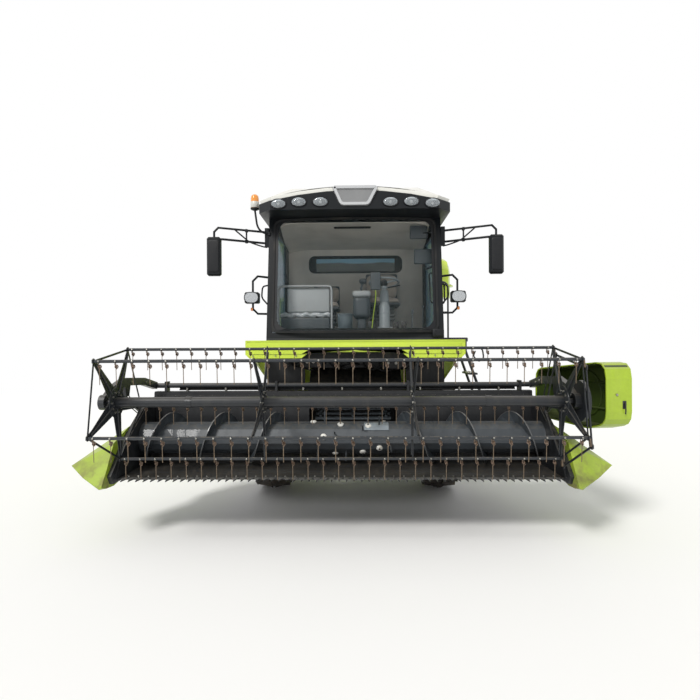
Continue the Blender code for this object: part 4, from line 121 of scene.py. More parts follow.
class Finish:
    """One material while it is made: a Principled shader and the nodes that feed it."""

    def __init__(self, name, color, roughness, metallic=0.0, **plain):
        self.material = bpy.data.materials.new(name)
        self.material.use_nodes = True
        self.tree = self.material.node_tree
        self.shader = self.tree.nodes["Principled BSDF"]
        self.color = (*color, 1.0)
        self.feed(Base_Color=self.color, Roughness=roughness, Metallic=metallic, **plain)

    def put(self, socket, value):
        if isinstance(value, Value):
            self.tree.links.new(value.socket, socket)
        else:
            socket.default_value = value

    def node(self, kind, settings=None, sockets=None, out=0):
        made = self.tree.nodes.new(kind)
        for key, value in (settings or {}).items():
            setattr(made, key, value)
        for key, value in (sockets or {}).items():
            self.put(made.inputs[key], value)
        return Value(self, made.outputs[out])

    def feed(self, **sockets):
        for key, value in sockets.items():
            self.put(self.shader.inputs[key.replace("_", " ")], value)
        return self

    def place(self, stretch=(1, 1, 1), turn=(0, 0, 0)):
        spot = self.node("ShaderNodeTexCoord", out="Object")
        return self.node(
            "ShaderNodeMapping", {}, {"Vector": spot, "Rotation": turn, "Scale": stretch},
        )

    def noise(self, scale, detail=3.0, rough=0.55, stretch=(1, 1, 1), turn=(0, 0, 0)):
        sockets = {
            "Vector": self.place(stretch, turn), "Scale": scale, "Detail": detail,
            "Roughness": rough,
        }
        return self.node("ShaderNodeTexNoise", {}, sockets)

    def cells(self, scale):
        return self.node("ShaderNodeTexVoronoi", {}, {"Vector": self.place(), "Scale": scale})

    def along(self, axis):
        return self.node("ShaderNodeSeparateXYZ", {}, {0: self.place()}, out=axis)

    def facing(self, axis="Z"):
        """How far the surface looks along one of the world's axes, from -1 to 1."""
        return self.node(
            "ShaderNodeSeparateXYZ", {}, {0: self.node("ShaderNodeNewGeometry", out="Normal")},
            out=axis,
        )

    def mixed(self, factor, first, second):
        first, second = (
            (*c, 1.0) if isinstance(c, tuple) and len(c) == 3 else c
            for c in (first, second)
        )
        return self.node(
            "ShaderNodeMix", {"data_type": "RGBA"}, {0: factor, 6: first, 7: second}, out=2,
        )

    def bump(self, height, depth, strength=0.6, under=None):
        sockets = {"Height": height, "Distance": depth, "Strength": strength}
        if under is not None:
            sockets["Normal"] = under
        return self.node("ShaderNodeBump", {}, sockets)

    def mottled(self, scale, detail, low, high, first, second):
        """The colour drifts from the first to the second in patches of noise."""
        patches = self.noise(scale, detail).rising(low, high)
        return self.feed(Base_Color=self.mixed(patches, first, second))

    def grained(self, *relief):
        skin = self.bump(*relief)
        return self.feed(Normal=skin)


def woven(points, around=False):
    """A surface from a grid of points: four neighbours make a face, and `around` joins the
    last column to the first."""
    rows, cols = points.shape[:2]
    index = np.arange(rows * cols).reshape(rows, cols)
    if around:
        index = np.hstack([index, index[:, :1]])
    corners = (index[:-1, :-1], index[:-1, 1:], index[1:, 1:], index[1:, :-1])
    return points.reshape(-1, 3), [np.stack(corners, -1).reshape(-1, 4)]


def mesh_of(name, shape, material, smooth=40.0):
    """An object from points and faces, its doubles merged, its faces turned outwards and its
    edges left sharp where they bend by more than `smooth` degrees."""
    points, faces = shape
    mesh = bpy.data.meshes.new(name)
    mesh.from_pydata(
        (points + MACHINE).tolist(), [], [face for group in faces for face in group.tolist()],
    )
    work = bmesh.new()
    work.from_mesh(mesh)
    bmesh.ops.remove_doubles(work, verts=work.verts, dist=0.00002)
    bmesh.ops.recalc_face_normals(work, faces=work.faces)
    work.to_mesh(mesh)
    work.free()
    mesh.shade_smooth()
    mesh.set_sharp_from_angle(angle=math.radians(smooth))
    mesh.materials.append(material)
    made = bpy.data.objects.new(name, mesh)
    bpy.context.scene.collection.objects.link(made)
    return made


FLOOR_X, FLOOR_FRONT_Y, FLOOR_REAR_Y = 60.0, -40.0, 90.0
FADE_START_Y, FADE_END_Y = 7.0, 16.0
pale = Finish("studio_floor", (0.93, 0.93, 0.92), 0.9)
glow = pale.node("ShaderNodeEmission", {}, {"Color": (1, 1, 1, 1), "Strength": 1.0})
seen = pale.node("ShaderNodeLightPath", out="Is Camera Ray").most(
    pale.node("ShaderNodeLightPath", out="Is Glossy Ray")
)
far_off = pale.along("Y").rising(FADE_START_Y, FADE_END_Y) * seen
shaded = pale.node(
    "ShaderNodeMixShader", {}, {0: far_off, 1: Value(pale, pale.shader.outputs[0]), 2: glow},
)
pale.tree.links.new(shaded.socket, pale.tree.nodes["Material Output"].inputs[0])
corners = np.array(
    [[(x, y, 0.0) for x in (-FLOOR_X, FLOOR_X)] for y in (FLOOR_FRONT_Y, FLOOR_REAR_Y)]
)
floor = mesh_of("studio_floor", woven(corners), pale.material)


class Room(Finish):
    """The world's own nodes: white where it is seen, dimmer where it only lights."""

    def __init__(self, light):
        world = bpy.data.worlds.new("soft_room")
        world.use_nodes = True
        bpy.context.scene.world = world
        self.tree = world.node_tree
        seen = self.node("ShaderNodeLightPath", out="Is Camera Ray")
        for ray in ("Is Glossy Ray", "Is Transmission Ray"):
            seen = seen.most(self.node("ShaderNodeLightPath", out=ray))
        self.shader = self.tree.nodes["Background"]
        self.feed(Color=(1.0, 1.0, 1.0, 1.0), Strength=seen * (1.0 - light) + light)


ROOM_LIGHT = 0.62
SUN_LIGHT = 2.3
SUN_TURN = (48.0, 0.0, -32.0)
SUN_SPREAD = 14.0
SUN_COLOR = (1.0, 0.98, 0.95)
Room(ROOM_LIGHT)
sun = bpy.data.objects.new("key_light", bpy.data.lights.new("key_light", "SUN"))
sun.data.energy = SUN_LIGHT
sun.data.angle = math.radians(SUN_SPREAD)
sun.data.color = SUN_COLOR
sun.rotation_euler = [math.radians(angle) for angle in SUN_TURN]
bpy.context.scene.collection.objects.link(sun)


# Main frame, axles and knuckles: welded plate and castings under one coat of dark grey
# paint, dusty on top and rubbed where mud and straw pass.
DUST = (0.4, 0.33, 0.22)
EARTH = (0.16, 0.115, 0.07)


def painted(
    name, color, roughness=0.38, dust=0.35, mud=0.0, worn=0.0, bare=(0.3, 0.28, 0.26), coat=0.25,
    drift=0.1, metallic=0.0, **plain,
):
    """Sprayed paint: its colour drifts a little, dust lies where it faces up, mud hangs low
    down, rubbed spots show the bare metal, and the coat has a faint orange peel."""
    made = Finish(name, color, roughness, metallic, Coat_Weight=coat, Coat_Roughness=0.18, **plain)
    broad, fine = made.noise(1.7, 4.0), made.noise(38.0, 3.0, 0.7)
    shade = tuple(c * (1.0 - 2.2 * drift) for c in color)
    tone = made.mixed((broad + fine * 0.25).rising(0.35, 0.85), color, shade)
    streaks = made.noise(9.0, 4.0, 0.6, stretch=(1.0, 1.0, 0.12))
    flat = made.facing("Z").rising(0.35, 0.95)
    veil = (flat * 0.75 + streaks.rising(0.5, 0.78) * 0.3) * (fine * 0.8 + 0.4) * dust
    tone = made.mixed(veil, tone, DUST)
    rough = veil * 0.4 + broad * 0.16 + (roughness - 0.08)
    if mud > 0.0:
        low = (1.15 - made.along("Z")).rising(0.0, 0.75)
        splash = (made.noise(5.0, 6.0, 0.65).rising(0.44, 0.66) * low) * mud
        tone = made.mixed(splash, tone, EARTH)
        rough = rough + splash * 0.45
    if worn > 0.0:
        chips = made.noise(24.0, 6.0, 0.7).rising(0.66, 0.7) * worn
        tone = made.mixed(chips, tone, bare)
        made.feed(Metallic=chips * 0.7)
    peel = made.bump(made.noise(260.0, 1.0), 0.0006, 0.35)
    made.feed(Base_Color=tone, Roughness=rough, Normal=made.bump(broad, 0.004, 0.25, peel))
    return made.material


def wear(material, *nodes):
    """The CAD nodes take this material in place of their plain one."""
    for name in nodes:
        node = frame["nodes"][name]
        node.data.materials.clear()
        node.data.materials.append(material)


grey_paint = painted(
    "anthracite_paint", (0.024, 0.028, 0.034), 0.42, dust=0.18, mud=0.5, worn=0.18,
    bare=(0.14, 0.13, 0.12), coat=0.12,
)
wear(grey_paint, "main_frame", "front_axle", "rear_axle", "knuckle_left", "knuckle_right")


def ring(radius, sides, start=0.0):
    """Points of a regular polygon: cosine and sine of even steps round."""
    turn = np.linspace(0, 2 * np.pi, sides, endpoint=False) + start
    return np.stack([np.cos(turn), np.sin(turn)], -1) * radius


def turned(profile, place, axis=0, sides=24, start=0.0):
    """A profile of radius and height turned about an axis: each ring is the polygon of that
    radius, set at that height along the axis."""
    profile = np.asarray(profile, float)
    round_off = ring(1.0, sides, start)
    grid = np.zeros((len(profile), sides, 3))
    across = [(axis + 1) % 3, (axis + 2) % 3]
    grid[..., axis] = profile[:, 1, None]
    grid[..., across[0]] = profile[:, 0, None] * round_off[None, :, 0]
    grid[..., across[1]] = profile[:, 0, None] * round_off[None, :, 1]
    return woven(grid + np.asarray(place, float), around=True)


def capped(rings):
    """Rings of points woven together and closed at both ends by the middle of the last."""
    first, last = (rings[end].mean(0)[None, None].repeat(rings.shape[1], 1) for end in (0, -1))
    return woven(np.concatenate([first, rings, last]), around=True)


def carried(path, outline, rise=(0, 0, 1), growth=None):
    """An outline carried along a path: its first coordinate goes along the cross product of
    the run and the rise, its second along the cross product of that and the run."""
    path, outline = np.asarray(path, float), np.asarray(outline, float)
    run = np.gradient(path, axis=0)
    run /= np.linalg.norm(run, axis=1, keepdims=True)
    side = np.cross(run, np.asarray(rise, float))
    side /= np.linalg.norm(side, axis=1, keepdims=True)
    up = np.cross(side, run)
    size = np.ones(len(path)) if growth is None else np.asarray(growth, float)
    spread = outline[None] * size[:, None, None]
    rings = path[:, None] + spread[..., :1] * side[:, None] + spread[..., 1:] * up[:, None]
    return capped(rings)


def bent(corners, radius=0.05, steps=5):
    """A path through corners, each one cut to a quadratic arc that starts and ends at
    `radius` from it."""
    corners = np.asarray(corners, float)
    if len(corners) < 3:
        return corners
    before, at, after = corners[:-2], corners[1:-1], corners[2:]
    back, ahead = before - at, after - at
    back_run, ahead_run = (np.linalg.norm(v, axis=1, keepdims=True) for v in (back, ahead))
    start = at + back / back_run * np.minimum(radius, back_run * 0.45)
    end = at + ahead / ahead_run * np.minimum(radius, ahead_run * 0.45)
    t = np.linspace(0, 1, steps + 1)[None, :, None]
    arcs = (1 - t) ** 2 * start[:, None] + 2 * t * (1 - t) * at[:, None] + t**2 * end[:, None]
    return np.concatenate([corners[:1], arcs.reshape(-1, 3), corners[-1:]])


def pipe(corners, radius, sides=10, bend=0.05, rise=(0.31, 0.17, 0.93)):
    """A round bar or hose: a polygon carried along a path with rounded corners."""
    return carried(bent(corners, bend), ring(radius, sides), rise)


def block(low, high, radius=0.01, steps=2):
    """A box with rounded edges: points of a ball of that radius, pushed out along each axis
    by what is left of the half size, with a flat top and bottom."""
    low, high = np.asarray(low, float), np.asarray(high, float)
    half = (high - low) / 2
    radius = min(radius, half.min() * 0.98)
    quarter = np.linspace(0, np.pi / 2, steps + 1)
    azimuth = np.concatenate([quarter + q * np.pi / 2 for q in range(4)])
    sign_x = np.repeat([1, -1, -1, 1], steps + 1)
    sign_y = np.repeat([1, 1, -1, -1], steps + 1)
    height = np.concatenate([quarter - np.pi / 2, quarter])
    sign_z = np.repeat([-1, 1], steps + 1)
    grid = np.empty((len(height), len(azimuth), 3))
    grid[..., 0] = radius * np.cos(height)[:, None] * np.cos(azimuth) + sign_x * (half[0] - radius)
    grid[..., 1] = radius * np.cos(height)[:, None] * np.sin(azimuth) + sign_y * (half[1] - radius)
    grid[..., 2] = radius * np.sin(height)[:, None] + (sign_z * (half[2] - radius))[:, None]
    cap = np.zeros((1, len(azimuth), 3))
    grid = np.concatenate([cap - (0, 0, half[2]), grid, cap + (0, 0, half[2])])
    return woven(grid + (low + high) / 2, around=True)


def loop(points):
    """A path closed by its own first point."""
    return np.vstack([points, points[:1]])


def divided(outline, parts):
    """A closed outline with each of its sides cut into so many equal parts."""
    sides = zip(outline, np.roll(outline, -1, axis=0))
    return np.concatenate([np.linspace(a, b, parts + 1)[:-1] for a, b in sides])


def upright(outline, y):
    """An outline in x and z as a path that stands at one y."""
    return np.insert(np.asarray(outline, float), 1, y, axis=1)


def stacked(outlines, axis, heights):
    """Outlines of one count, each set at its height along an axis: one grid of points."""
    grid = np.zeros((len(outlines), len(outlines[0]), 3))
    grid[..., [k for k in range(3) if k != axis]] = outlines
    grid[..., axis] = np.asarray(heights, float)[:, None]
    return grid


def plate(outline, axis, low, high):
    """A flat sheet: an outline in the other two axes, in order, closed at `low` and `high`
    along its own axis."""
    count = len(outline)
    points = stacked([outline, outline], axis, [low, high])
    index = np.arange(2 * count).reshape(2, count)
    following = np.roll(index, -1, axis=1)
    sides = np.stack([index[0], following[0], following[1], index[1]], -1)
    return points.reshape(-1, 3), [sides, index[:1], index[1:, ::-1]]


def drum(radius, half, place, axis, sides):
    """A plain cylinder about an axis, `half` to each side of its place."""
    return turned([(0, -half), (radius, -half), (radius, half), (0, half)], place, axis, sides)


def sleeve(inner, outer, half, place, axis, sides):
    """A drum with a bore, its wall from the inner to the outer radius."""
    return turned(
        [(inner, -half), (outer, -half), (outer, half), (inner, half)], place, axis, sides,
    )


def bar_outline(low_half, low, high_half, high):
    """The outline of a bar with four corners: its half width at its low and high edge."""
    return [(-low_half, low), (low_half, low), (high_half, high), (-high_half, high)]


def moved(shape, by, scale=1):
    """A shape drawn out by a scale and shifted: points * scale + by."""
    points, faces = shape
    return points * scale + by, faces


def many(shape, places):
    """One shape set down at each of many places: the places are added to its points."""
    points, faces = shape
    places = np.asarray(places, float)
    step = (np.arange(len(places)) * len(points))[:, None, None]
    return (points[None] + places[:, None]).reshape(-1, 3), [
        (group[None] + step).reshape(-1, group.shape[1])
        for group in faces
    ]


def joined(*shapes):
    """Several shapes as one: their points in a row, their faces counted on."""
    starts = np.cumsum([0] + [len(points) for points, _ in shapes])
    faces = [group + start for (_, groups), start in zip(shapes, starts) for group in groups]
    return np.concatenate([points for points, _ in shapes]), faces


def spun(shape, angle, axis=0, about=(0, 0, 0)):
    """A shape turned about an axis through a point, by a rotation matrix."""
    points, faces = shape
    a, b = (axis + 1) % 3, (axis + 2) % 3
    matrix = np.eye(3)
    matrix[a, a] = matrix[b, b] = math.cos(angle)
    matrix[b, a], matrix[a, b] = math.sin(angle), -math.sin(angle)
    return (points - about) @ matrix.T + about, faces


def flipped(shape, middle=0.0):
    """A shape mirrored across the plane x = middle."""
    points, faces = shape
    return points * (-1, 1, 1) + (2 * middle, 0, 0), [group[:, ::-1] for group in faces]


def pair(shape, middle=0.0):
    """A shape and its mirror image as one."""
    return joined(shape, flipped(shape, middle))


def both(*shapes):
    """Shapes for the left side and their mirror images for the right one."""
    return ("left", shapes), ("right", [flipped(shape) for shape in shapes])


def grid_of(*steps):
    """All combinations of three lists of coordinates, as a list of places."""
    return np.stack(np.meshgrid(*steps, indexing="ij"), -1).reshape(-1, 3)


def piece(name, shape, material, body="chassis", smooth=40.0):
    """A visible piece with its material, riding on a body of the pack."""
    made = mesh_of(name, shape, material, smooth)
    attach(made, body)
    return made


def bolts(axis, radius=0.011, height=0.008):
    """A hexagon head: six sides, a short edge and a flat top, standing along an axis."""
    profile = [(0, 0), (radius, 0), (radius, height * 0.7), (radius * 0.8, height), (0, height)]
    return turned(profile, (0, 0, 0), axis, 6)


zinc = painted("zinc_bolts", (0.42, 0.41, 0.37), 0.36, dust=0.3, drift=0.2, metallic=0.85)


# Front and rear wheels: block-lugged rubber tyres on dished steel rims. The rubber is grey
# with grey-brown dust in broad patches.
def rubber(name):
    """Black rubber: grey-brown dust gathers in broad patches, and the skin is faintly
    pebbled."""
    made = Finish(name, (0.03, 0.028, 0.026), 0.78)
    patches, grain = made.noise(3.2, 6.0, 0.65), made.noise(90.0, 3.0, 0.7)
    dusty = patches.rising(0.38, 0.7) * 0.55 + grain.rising(0.45, 0.75) * 0.25
    tone = made.mixed(dusty, (0.024, 0.023, 0.022), (0.17, 0.135, 0.095))
    rough = 0.95 - grain * 0.25
    pebble = made.bump(made.noise(160.0, 2.0), 0.0012, 0.5)
    made.feed(Base_Color=tone, Roughness=rough, Normal=made.bump(patches, 0.006, 0.3, pebble))
    return made.material


tyre_rubber = rubber("tyre_rubber")
rim_paint = painted("rim_paint", (0.66, 0.66, 0.62), 0.4, dust=0.3, mud=0.75, worn=0.2)
for end_side in ("front_left", "front_right", "rear_left", "rear_right"):
    wear(tyre_rubber, f"tyre_{end_side}")
    wear(rim_paint, f"rim_{end_side}")
# For each axle: its track, y, z, the disc's depth, the nuts' circle, count and size.
WHEELS = (
    ("front", 1.15, 0.0, 0.75, 0.029, 0.1, 10, 0.014),
    ("rear", 1.01, 3.6, 0.55, 0.02, 0.1, 8, 0.012),
)
for end, track, y, z, disc, circle, count, size in WHEELS:
    face = track + disc + 0.058
    ring_places = np.column_stack([np.full(count, face), ring(circle, count) + (y, z)])
    nuts = many(bolts(0, size, size * 1.4), ring_places)
    hub = [
        (0, 0.05), (0.03, 0.05), (0.045, 0.044), (0.052, 0.034), (0.055, 0.0), (0.072, 0.0),
        (0.074, -0.004), (0, -0.004),
    ]
    cap = turned(hub, (face, y, z), 0, 28)
    valve = pipe(
        [(face - 0.05, y, z + circle * 1.9), (face - 0.01, y, z + circle * 1.95)], 0.005, 8,
    )
    for side, (studs, stem) in both(joined(nuts, cap), valve):
        body = f"{end}_wheel_{side}"
        piece(f"wheel_nuts_{end}_{side}", studs, zinc, body)
        piece(f"wheel_valve_{end}_{side}", stem, tyre_rubber, body)


# Rear axle's tie rod: a forged steel rod with a ball joint and an arm at each end, under the
# frame's grey paint, held behind the beam.
REAR_AXLE_Y, ROD_Z, ROD_END_X, ROD_BEHIND = 3.6, 0.5, 0.52, 0.2
rod_y = REAR_AXLE_Y + ROD_BEHIND
rod_ends = [(-ROD_END_X, rod_y, ROD_Z), (ROD_END_X, rod_y, ROD_Z)]
tie_rod = joined(
    pipe(rod_ends, 0.016),
    many(block((-0.03, -0.025, -0.02), (0.03, 0.025, 0.02), 0.012), rod_ends),
    many(
        block((-0.05, -0.1, -0.012), (0.05, 0.11, 0.012), 0.008),
        [(x, rod_y - 0.09, ROD_Z) for x in (-0.4, 0.4)],
    ),
)
piece("steering_tie_rod", tie_rod, grey_paint)


# Threshing body: folded sheet panels under lime paint, with pressed ribs, a louvred vent on
# each service door, quarter-turn latches and rows of panel bolts.
LIME = (0.6, 0.77, 0.055)
# A darker copy of the lime, lowered as painted shade for the parts that stand in shadow: the hull's
# ribs, the dividers and the drive cover.
LIME_IN_SHADE = (0.38, 0.53, 0.028)
lime_paint = painted(
    "lime_paint", LIME, 0.34, dust=0.3, mud=0.35, worn=0.1, bare=(0.2, 0.22, 0.1), coat=0.45,
    drift=0.05,
)
# The shaded lime: its colour is painted shade, and its dust, mud and chips are wear.
lime_shaded_dusty = painted(
    "lime_paint_shaded_dusty", LIME_IN_SHADE, 0.45, dust=0.4, mud=0.9, worn=0.45, bare=(0.22, 0.21, 0.16),
    coat=0.2, drift=0.12,
)
wear(
    lime_paint, "thresher_body", "service_door_left", "service_door_right", "straw_hood",
    "grain_tank",
)
wear(lime_paint, "engine_hood", "unload_tube")
black_rubber = Finish("black_rubber", (0.01, 0.011, 0.012), 0.62, Specular_IOR_Level=0.3)
black_rubber.grained(black_rubber.noise(120.0, 2.0), 0.0008, 0.4)
black_rubber = black_rubber.mottled(
    6.0, 5.0, 0.45, 0.8, (0.008, 0.009, 0.01), (0.03, 0.028, 0.025),
).material
dark_steel = painted(
    "dark_steel", (0.01, 0.011, 0.013), 0.5, dust=0.12, worn=0.2, bare=(0.1, 0.1, 0.1), coat=0.05,
)


def pressed(outline, axis, at, lift, edge=0.018):
    """A pressed panel: an outline drawn in by the edge at its raised top, so that its rim
    slopes, as one loft of four rings."""
    outline = np.asarray(outline, float)
    middle = outline.mean(0)
    inward = middle - outline
    inward /= np.linalg.norm(inward, axis=1, keepdims=True)
    rims = [outline + inward * edge * share for share in (0, 0.15, 0.8, 1.3)]
    return capped(stacked(rims, axis, [at + lift * share for share in (0, 0.25, 0.9, 1)]))


def rounded(low, high, radius, steps=4):
    """A rectangle's outline with quarter circles at its corners."""
    low, high = np.asarray(low, float), np.asarray(high, float)
    turn = np.linspace(0, np.pi / 2, steps + 1)
    quarters = []
    for place, (sx, sy) in enumerate(((1, 1), (-1, 1), (-1, -1), (1, -1))):
        corner = np.array(
            (high[0] if sx > 0 else low[0], high[1] if sy > 0 else low[1])
        ) - np.array((sx, sy)) * radius
        spin = turn + place * np.pi / 2
        quarters.append(corner + radius * np.stack([np.cos(spin), np.sin(spin)], -1))
    return np.concatenate(quarters)


DOOR_FACE = 1.24
DOOR_RIB_Z = (1.72, 2.56)
door_ribs = joined(
    *[
        pressed(
            rounded((y_low, DOOR_RIB_Z[0]), (y_high, DOOR_RIB_Z[1]), 0.1), 0, DOOR_FACE - 0.002,
            0.012, 0.03,
        )
        for y_low, y_high in ((1.25, 2.45), (2.6, 3.72))
    ]
)
slat = carried(
    [(1.252, 2.72, 0), (1.252, 3.58, 0)],
    [(-0.012, -0.012), (0.006, 0.002), (0.006, 0.006), (-0.012, 0.012)],
)
slats = many(slat, grid_of([0.0], [0.0], np.linspace(1.84, 2.42, 13)))
vent_frame = carried(
    np.column_stack(
        [
            np.full(25, 1.256),
            np.vstack([rounded((2.68, 1.78), (3.62, 2.48), 0.04, 5), [(3.62, 2.44)]]),
        ]
    ),
    bar_outline(0.008, -0.006, 0.008, 0.006), rise=(1, 0, 0),
)
latch = joined(
    turned(
        [(0, 0.014), (0.02, 0.014), (0.026, 0.008), (0.028, 0.0), (0, 0)], (DOOR_FACE, 0, 0), 0, 18,
    ),
    block((DOOR_FACE + 0.008, -0.03, -0.006), (DOOR_FACE + 0.02, 0.03, 0.006), 0.004, 1),
)
latches = many(latch, [(0, 1.35, 1.62), (0, 2.42, 1.6), (0, 3.5, 1.62)])
grab = pipe(
    [
        (DOOR_FACE - 0.01, 2.15, 1.66), (DOOR_FACE + 0.045, 2.15, 1.66),
        (DOOR_FACE + 0.045, 2.35, 1.66), (DOOR_FACE - 0.01, 2.35, 1.66),
    ],
    0.007, 8, 0.03, (0, 0, 1),
)
vent, handles = joined(slats, vent_frame), joined(latches, grab)
for side, (pressings, louvres, catches) in both(door_ribs, vent, handles):
    body = f"{side}_service_door"
    piece(f"service_door_ribs_{side}", pressings, lime_paint, body)
    piece(f"service_door_vent_{side}", louvres, dark_steel, body)
    piece(f"service_door_latches_{side}", catches, dark_steel, body)

HULL_X, HULL_RIB_X, HULL_RIB_WIDE = 0.795, 0.818, 0.035


def hull_rib_row(low, high, places):
    """Upright ribs on the hull's side, between two heights, one at each place along y."""
    rib = block((HULL_X, 0.0, low), (HULL_RIB_X, HULL_RIB_WIDE, high), 0.008, 1)
    return many(rib, [(0, y, 0) for y in places])


hull_ribs = hull_rib_row(1.12, 1.5, (0.75, 1.35, 1.95, 2.55))
rear_ribs = hull_rib_row(1.32, 1.55, (3.15, 3.65, 4.15))
hull_bolts = many(bolts(0, 0.009, 0.007), grid_of([0.8], np.linspace(0.85, 2.6, 16), [1.09, 1.53]))
# The hull's ribs take the shaded lime: painted shade.
piece("hull_ribs", pair(joined(hull_ribs, rear_ribs)), lime_shaded_dusty)
piece("hull_bolts", pair(hull_bolts), zinc)
tank_steel = painted("fuel_tank_plastic", (0.03, 0.03, 0.032), 0.55, dust=0.45, mud=0.5)
reservoirs = joined(
    block((0.83, 1.02, 1.1), (1.16, 1.75, 1.52), 0.05, 3),
    turned(
        [(0, 0.03), (0.045, 0.03), (0.05, 0.02), (0.05, -0.02), (0, -0.02)], (0.99, 1.2, 1.54), 2,
        20,
    ),
)
straps = many(
    block((0.82, -0.02, 1.085), (1.17, 0.02, 1.535), 0.02, 1), [(0, 1.16, 0), (0, 1.6, 0)],
)
brackets = block((0.78, 1.05, 1.06), (1.14, 1.72, 1.1), 0.01, 1)
piece("side_reservoirs", pair(joined(reservoirs, brackets)), tank_steel)
piece("reservoir_straps", pair(straps), dark_steel)


# Straw hood: a folded sheet hood with a hanging rubber apron over its mouth, stiffening ribs
# and a rear lamp with an amber and a red field on each side.
HOOD_REAR_Y = 5.2403
tread = np.linspace(0, 1, 60)
apron_wave = np.stack(
    [-0.93 + 1.86 * tread, HOOD_REAR_Y - 0.05 + 0.006 * np.sin(tread * 60), np.full(60, 1.34)], -1,
)
apron_low = apron_wave + (0, -0.02, -0.3)
apron = np.stack(
    [
        apron_wave, (apron_wave + apron_low) / 2 + (0, 0.012, 0), apron_low,
        apron_low - (0, 0.006, 0), apron_wave - (0, 0.008, 0), apron_wave,
    ]
)
piece("straw_apron", woven(apron), black_rubber)
rib = pressed(rounded((-0.8, 1.42), (0.8, 1.92), 0.08), 1, HOOD_REAR_Y - 0.001, 0.01, 0.03)
side_rib = pressed(rounded((4.46, 1.45), (5.12, 2.0), 0.08), 0, 0.979, 0.01, 0.03)
piece("straw_hood_pressings", joined(rib, pair(side_rib)), lime_paint)
piece(
    "straw_hood_bolts",
    pair(many(bolts(0, 0.009, 0.007), grid_of([0.98], np.linspace(4.42, 5.18, 7), [1.36]))), zinc,
)


def lens(name, color, roughness=0.12, ribs=70.0):
    """A moulded lamp lens: a clear coloured plastic with fine vertical flutes, which catches
    light by its coat and hides most of what is behind it."""
    made = Finish(name, color, roughness, Coat_Weight=1.0, Coat_Roughness=0.04, Alpha=0.92)
    flutes = (made.along("X") * ribs * 6.0).sine()
    made.grained(flutes, 0.0015, 0.5)
    return made.material


red_lens = lens("red_lens", (0.45, 0.012, 0.01))
amber_lens = lens("amber_lens", (0.75, 0.22, 0.012))
lamp_case = block((0.86, HOOD_REAR_Y - 0.01, 1.7), (0.96, HOOD_REAR_Y + 0.045, 1.98), 0.015, 2)
piece("rear_lamp_cases", pair(lamp_case), dark_steel)
for tint, finish, low, high in (("red", red_lens, 1.71, 1.84), ("amber", amber_lens, 1.85, 1.97)):
    field = block((0.868, HOOD_REAR_Y + 0.04, low), (0.952, HOOD_REAR_Y + 0.06, high), 0.012, 3)
    piece(f"rear_{tint}_lenses", pair(field), finish)
piece(
    "blank_rear_plate",
    block((-0.26, HOOD_REAR_Y + 0.01, 2.0), (0.26, HOOD_REAR_Y + 0.018, 2.12), 0.004, 1), rim_paint,
)


# Grain tank: flared lime sheet walls with pressed ribs and a rolled rim, and inside it two
# painted cross bars and the head of the filling auger, open to the sky.
RIM_Z, WAIST_Z, RIM_X, RIM_Y = 3.8, 3.3, 1.24, (0.72, 2.62)
rim_front, rim_rear = RIM_Y
rim_corners = (
    (-RIM_X, rim_front), (RIM_X, rim_front), (RIM_X, rim_rear), (-RIM_X, rim_rear),
    (-RIM_X, rim_front - 0.001),
)
rim_path = [(x, y, RIM_Z) for x, y in rim_corners]
piece("tank_rim", pipe(rim_path, 0.022, 10, 0.04, (0, 0, 1)), lime_paint)
flare = 0.2
tank_rib = carried(
    [(0, 0, 0), (0, 0, 0.47)], [(-0.03, -0.004), (-0.018, 0.014), (0.018, 0.014), (0.03, -0.004)],
    rise=(0, -1, 0),
)


def leaning(shape, x=0.0, y=0.0):
    """A shape sheared so that it leans by x and y for each metre of height."""
    points, faces = shape
    return points + np.outer(points[:, 2], (x, y, 0.0)), faces


front_rib = leaning(tank_rib, y=-flare)
front_ribs = many(
    front_rib, grid_of(np.linspace(-0.95, 0.95, 5), [rim_front + 0.1], [WAIST_Z + 0.015]),
)
rear_ribs = moved(front_ribs, (0, rim_front + rim_rear, 0), FORWARD)
side_rib = leaning(spun(tank_rib, math.pi / 2, 2), x=flare)
side_ribs = many(side_rib, grid_of([RIM_X - 0.1], np.linspace(0.95, 2.4, 5), [WAIST_Z + 0.015]))
piece("tank_ribs", joined(front_ribs, rear_ribs, pair(side_ribs)), lime_paint)
tank_window = pressed(rounded((-0.16, 3.02), (0.16, 3.2), 0.04), 1, 0.0, 0.01, 0.012)
tank_window = moved(tank_window, (0, 0.82, 0), FORWARD)
piece("tank_window_frame", tank_window, black_rubber)
tank_bars = many(pipe([(-1.12, 0, 0), (1.12, 0, 0)], 0.018, 10), [(0, 1.25, 3.42), (0, 2.08, 3.42)])
piece("tank_cross_bars", tank_bars, grey_paint)
leveller = joined(
    pipe([(0, 0.86, 3.05), (0, 1.7, 3.55)], 0.045, 16),
    turned(
        [(0, -0.05), (0.11, -0.05), (0.13, 0.0), (0.11, 0.05), (0, 0.05)], (0, 1.7, 3.55), 1, 20,
    ),
)
piece("tank_filling_auger", leveller, grey_paint)


# Engine hood: folded sheet over the engine, with a rotating dust screen's frame and mesh on
# its right side, louvres at the rear, an exhaust stub burnt brown and an air intake bowl.
HOOD_SIDE, HOOD_REAR, HOOD_TOP = 1.1, 4.2, 3.52
iron = painted("engine_iron", (0.055, 0.058, 0.06), 0.6, dust=0.5, worn=0.2, coat=0.0)
wear(iron, "engine_block")
perforated = Finish("perforated_steel", (0.1, 0.1, 0.1), 0.45, 0.7)
# The holes are painted near-black: painted shade for the dark seen through them.
hole = perforated.cells(90.0).rising(0.3, 0.42)
perforated.feed(Base_Color=perforated.mixed(hole, (0.006, 0.006, 0.006), (0.2, 0.195, 0.18)))
perforated = perforated.feed(
    Roughness=0.75 - hole * 0.25, Normal=perforated.bump(hole, 0.002, 0.6),
).material
screen_disc = turned(
    [(0, 0.03), (0.3, 0.026), (0.36, 0.012), (0.375, -0.004), (0, -0.004)], (HOOD_SIDE, 3.45, 3.12),
    0, 48,
)
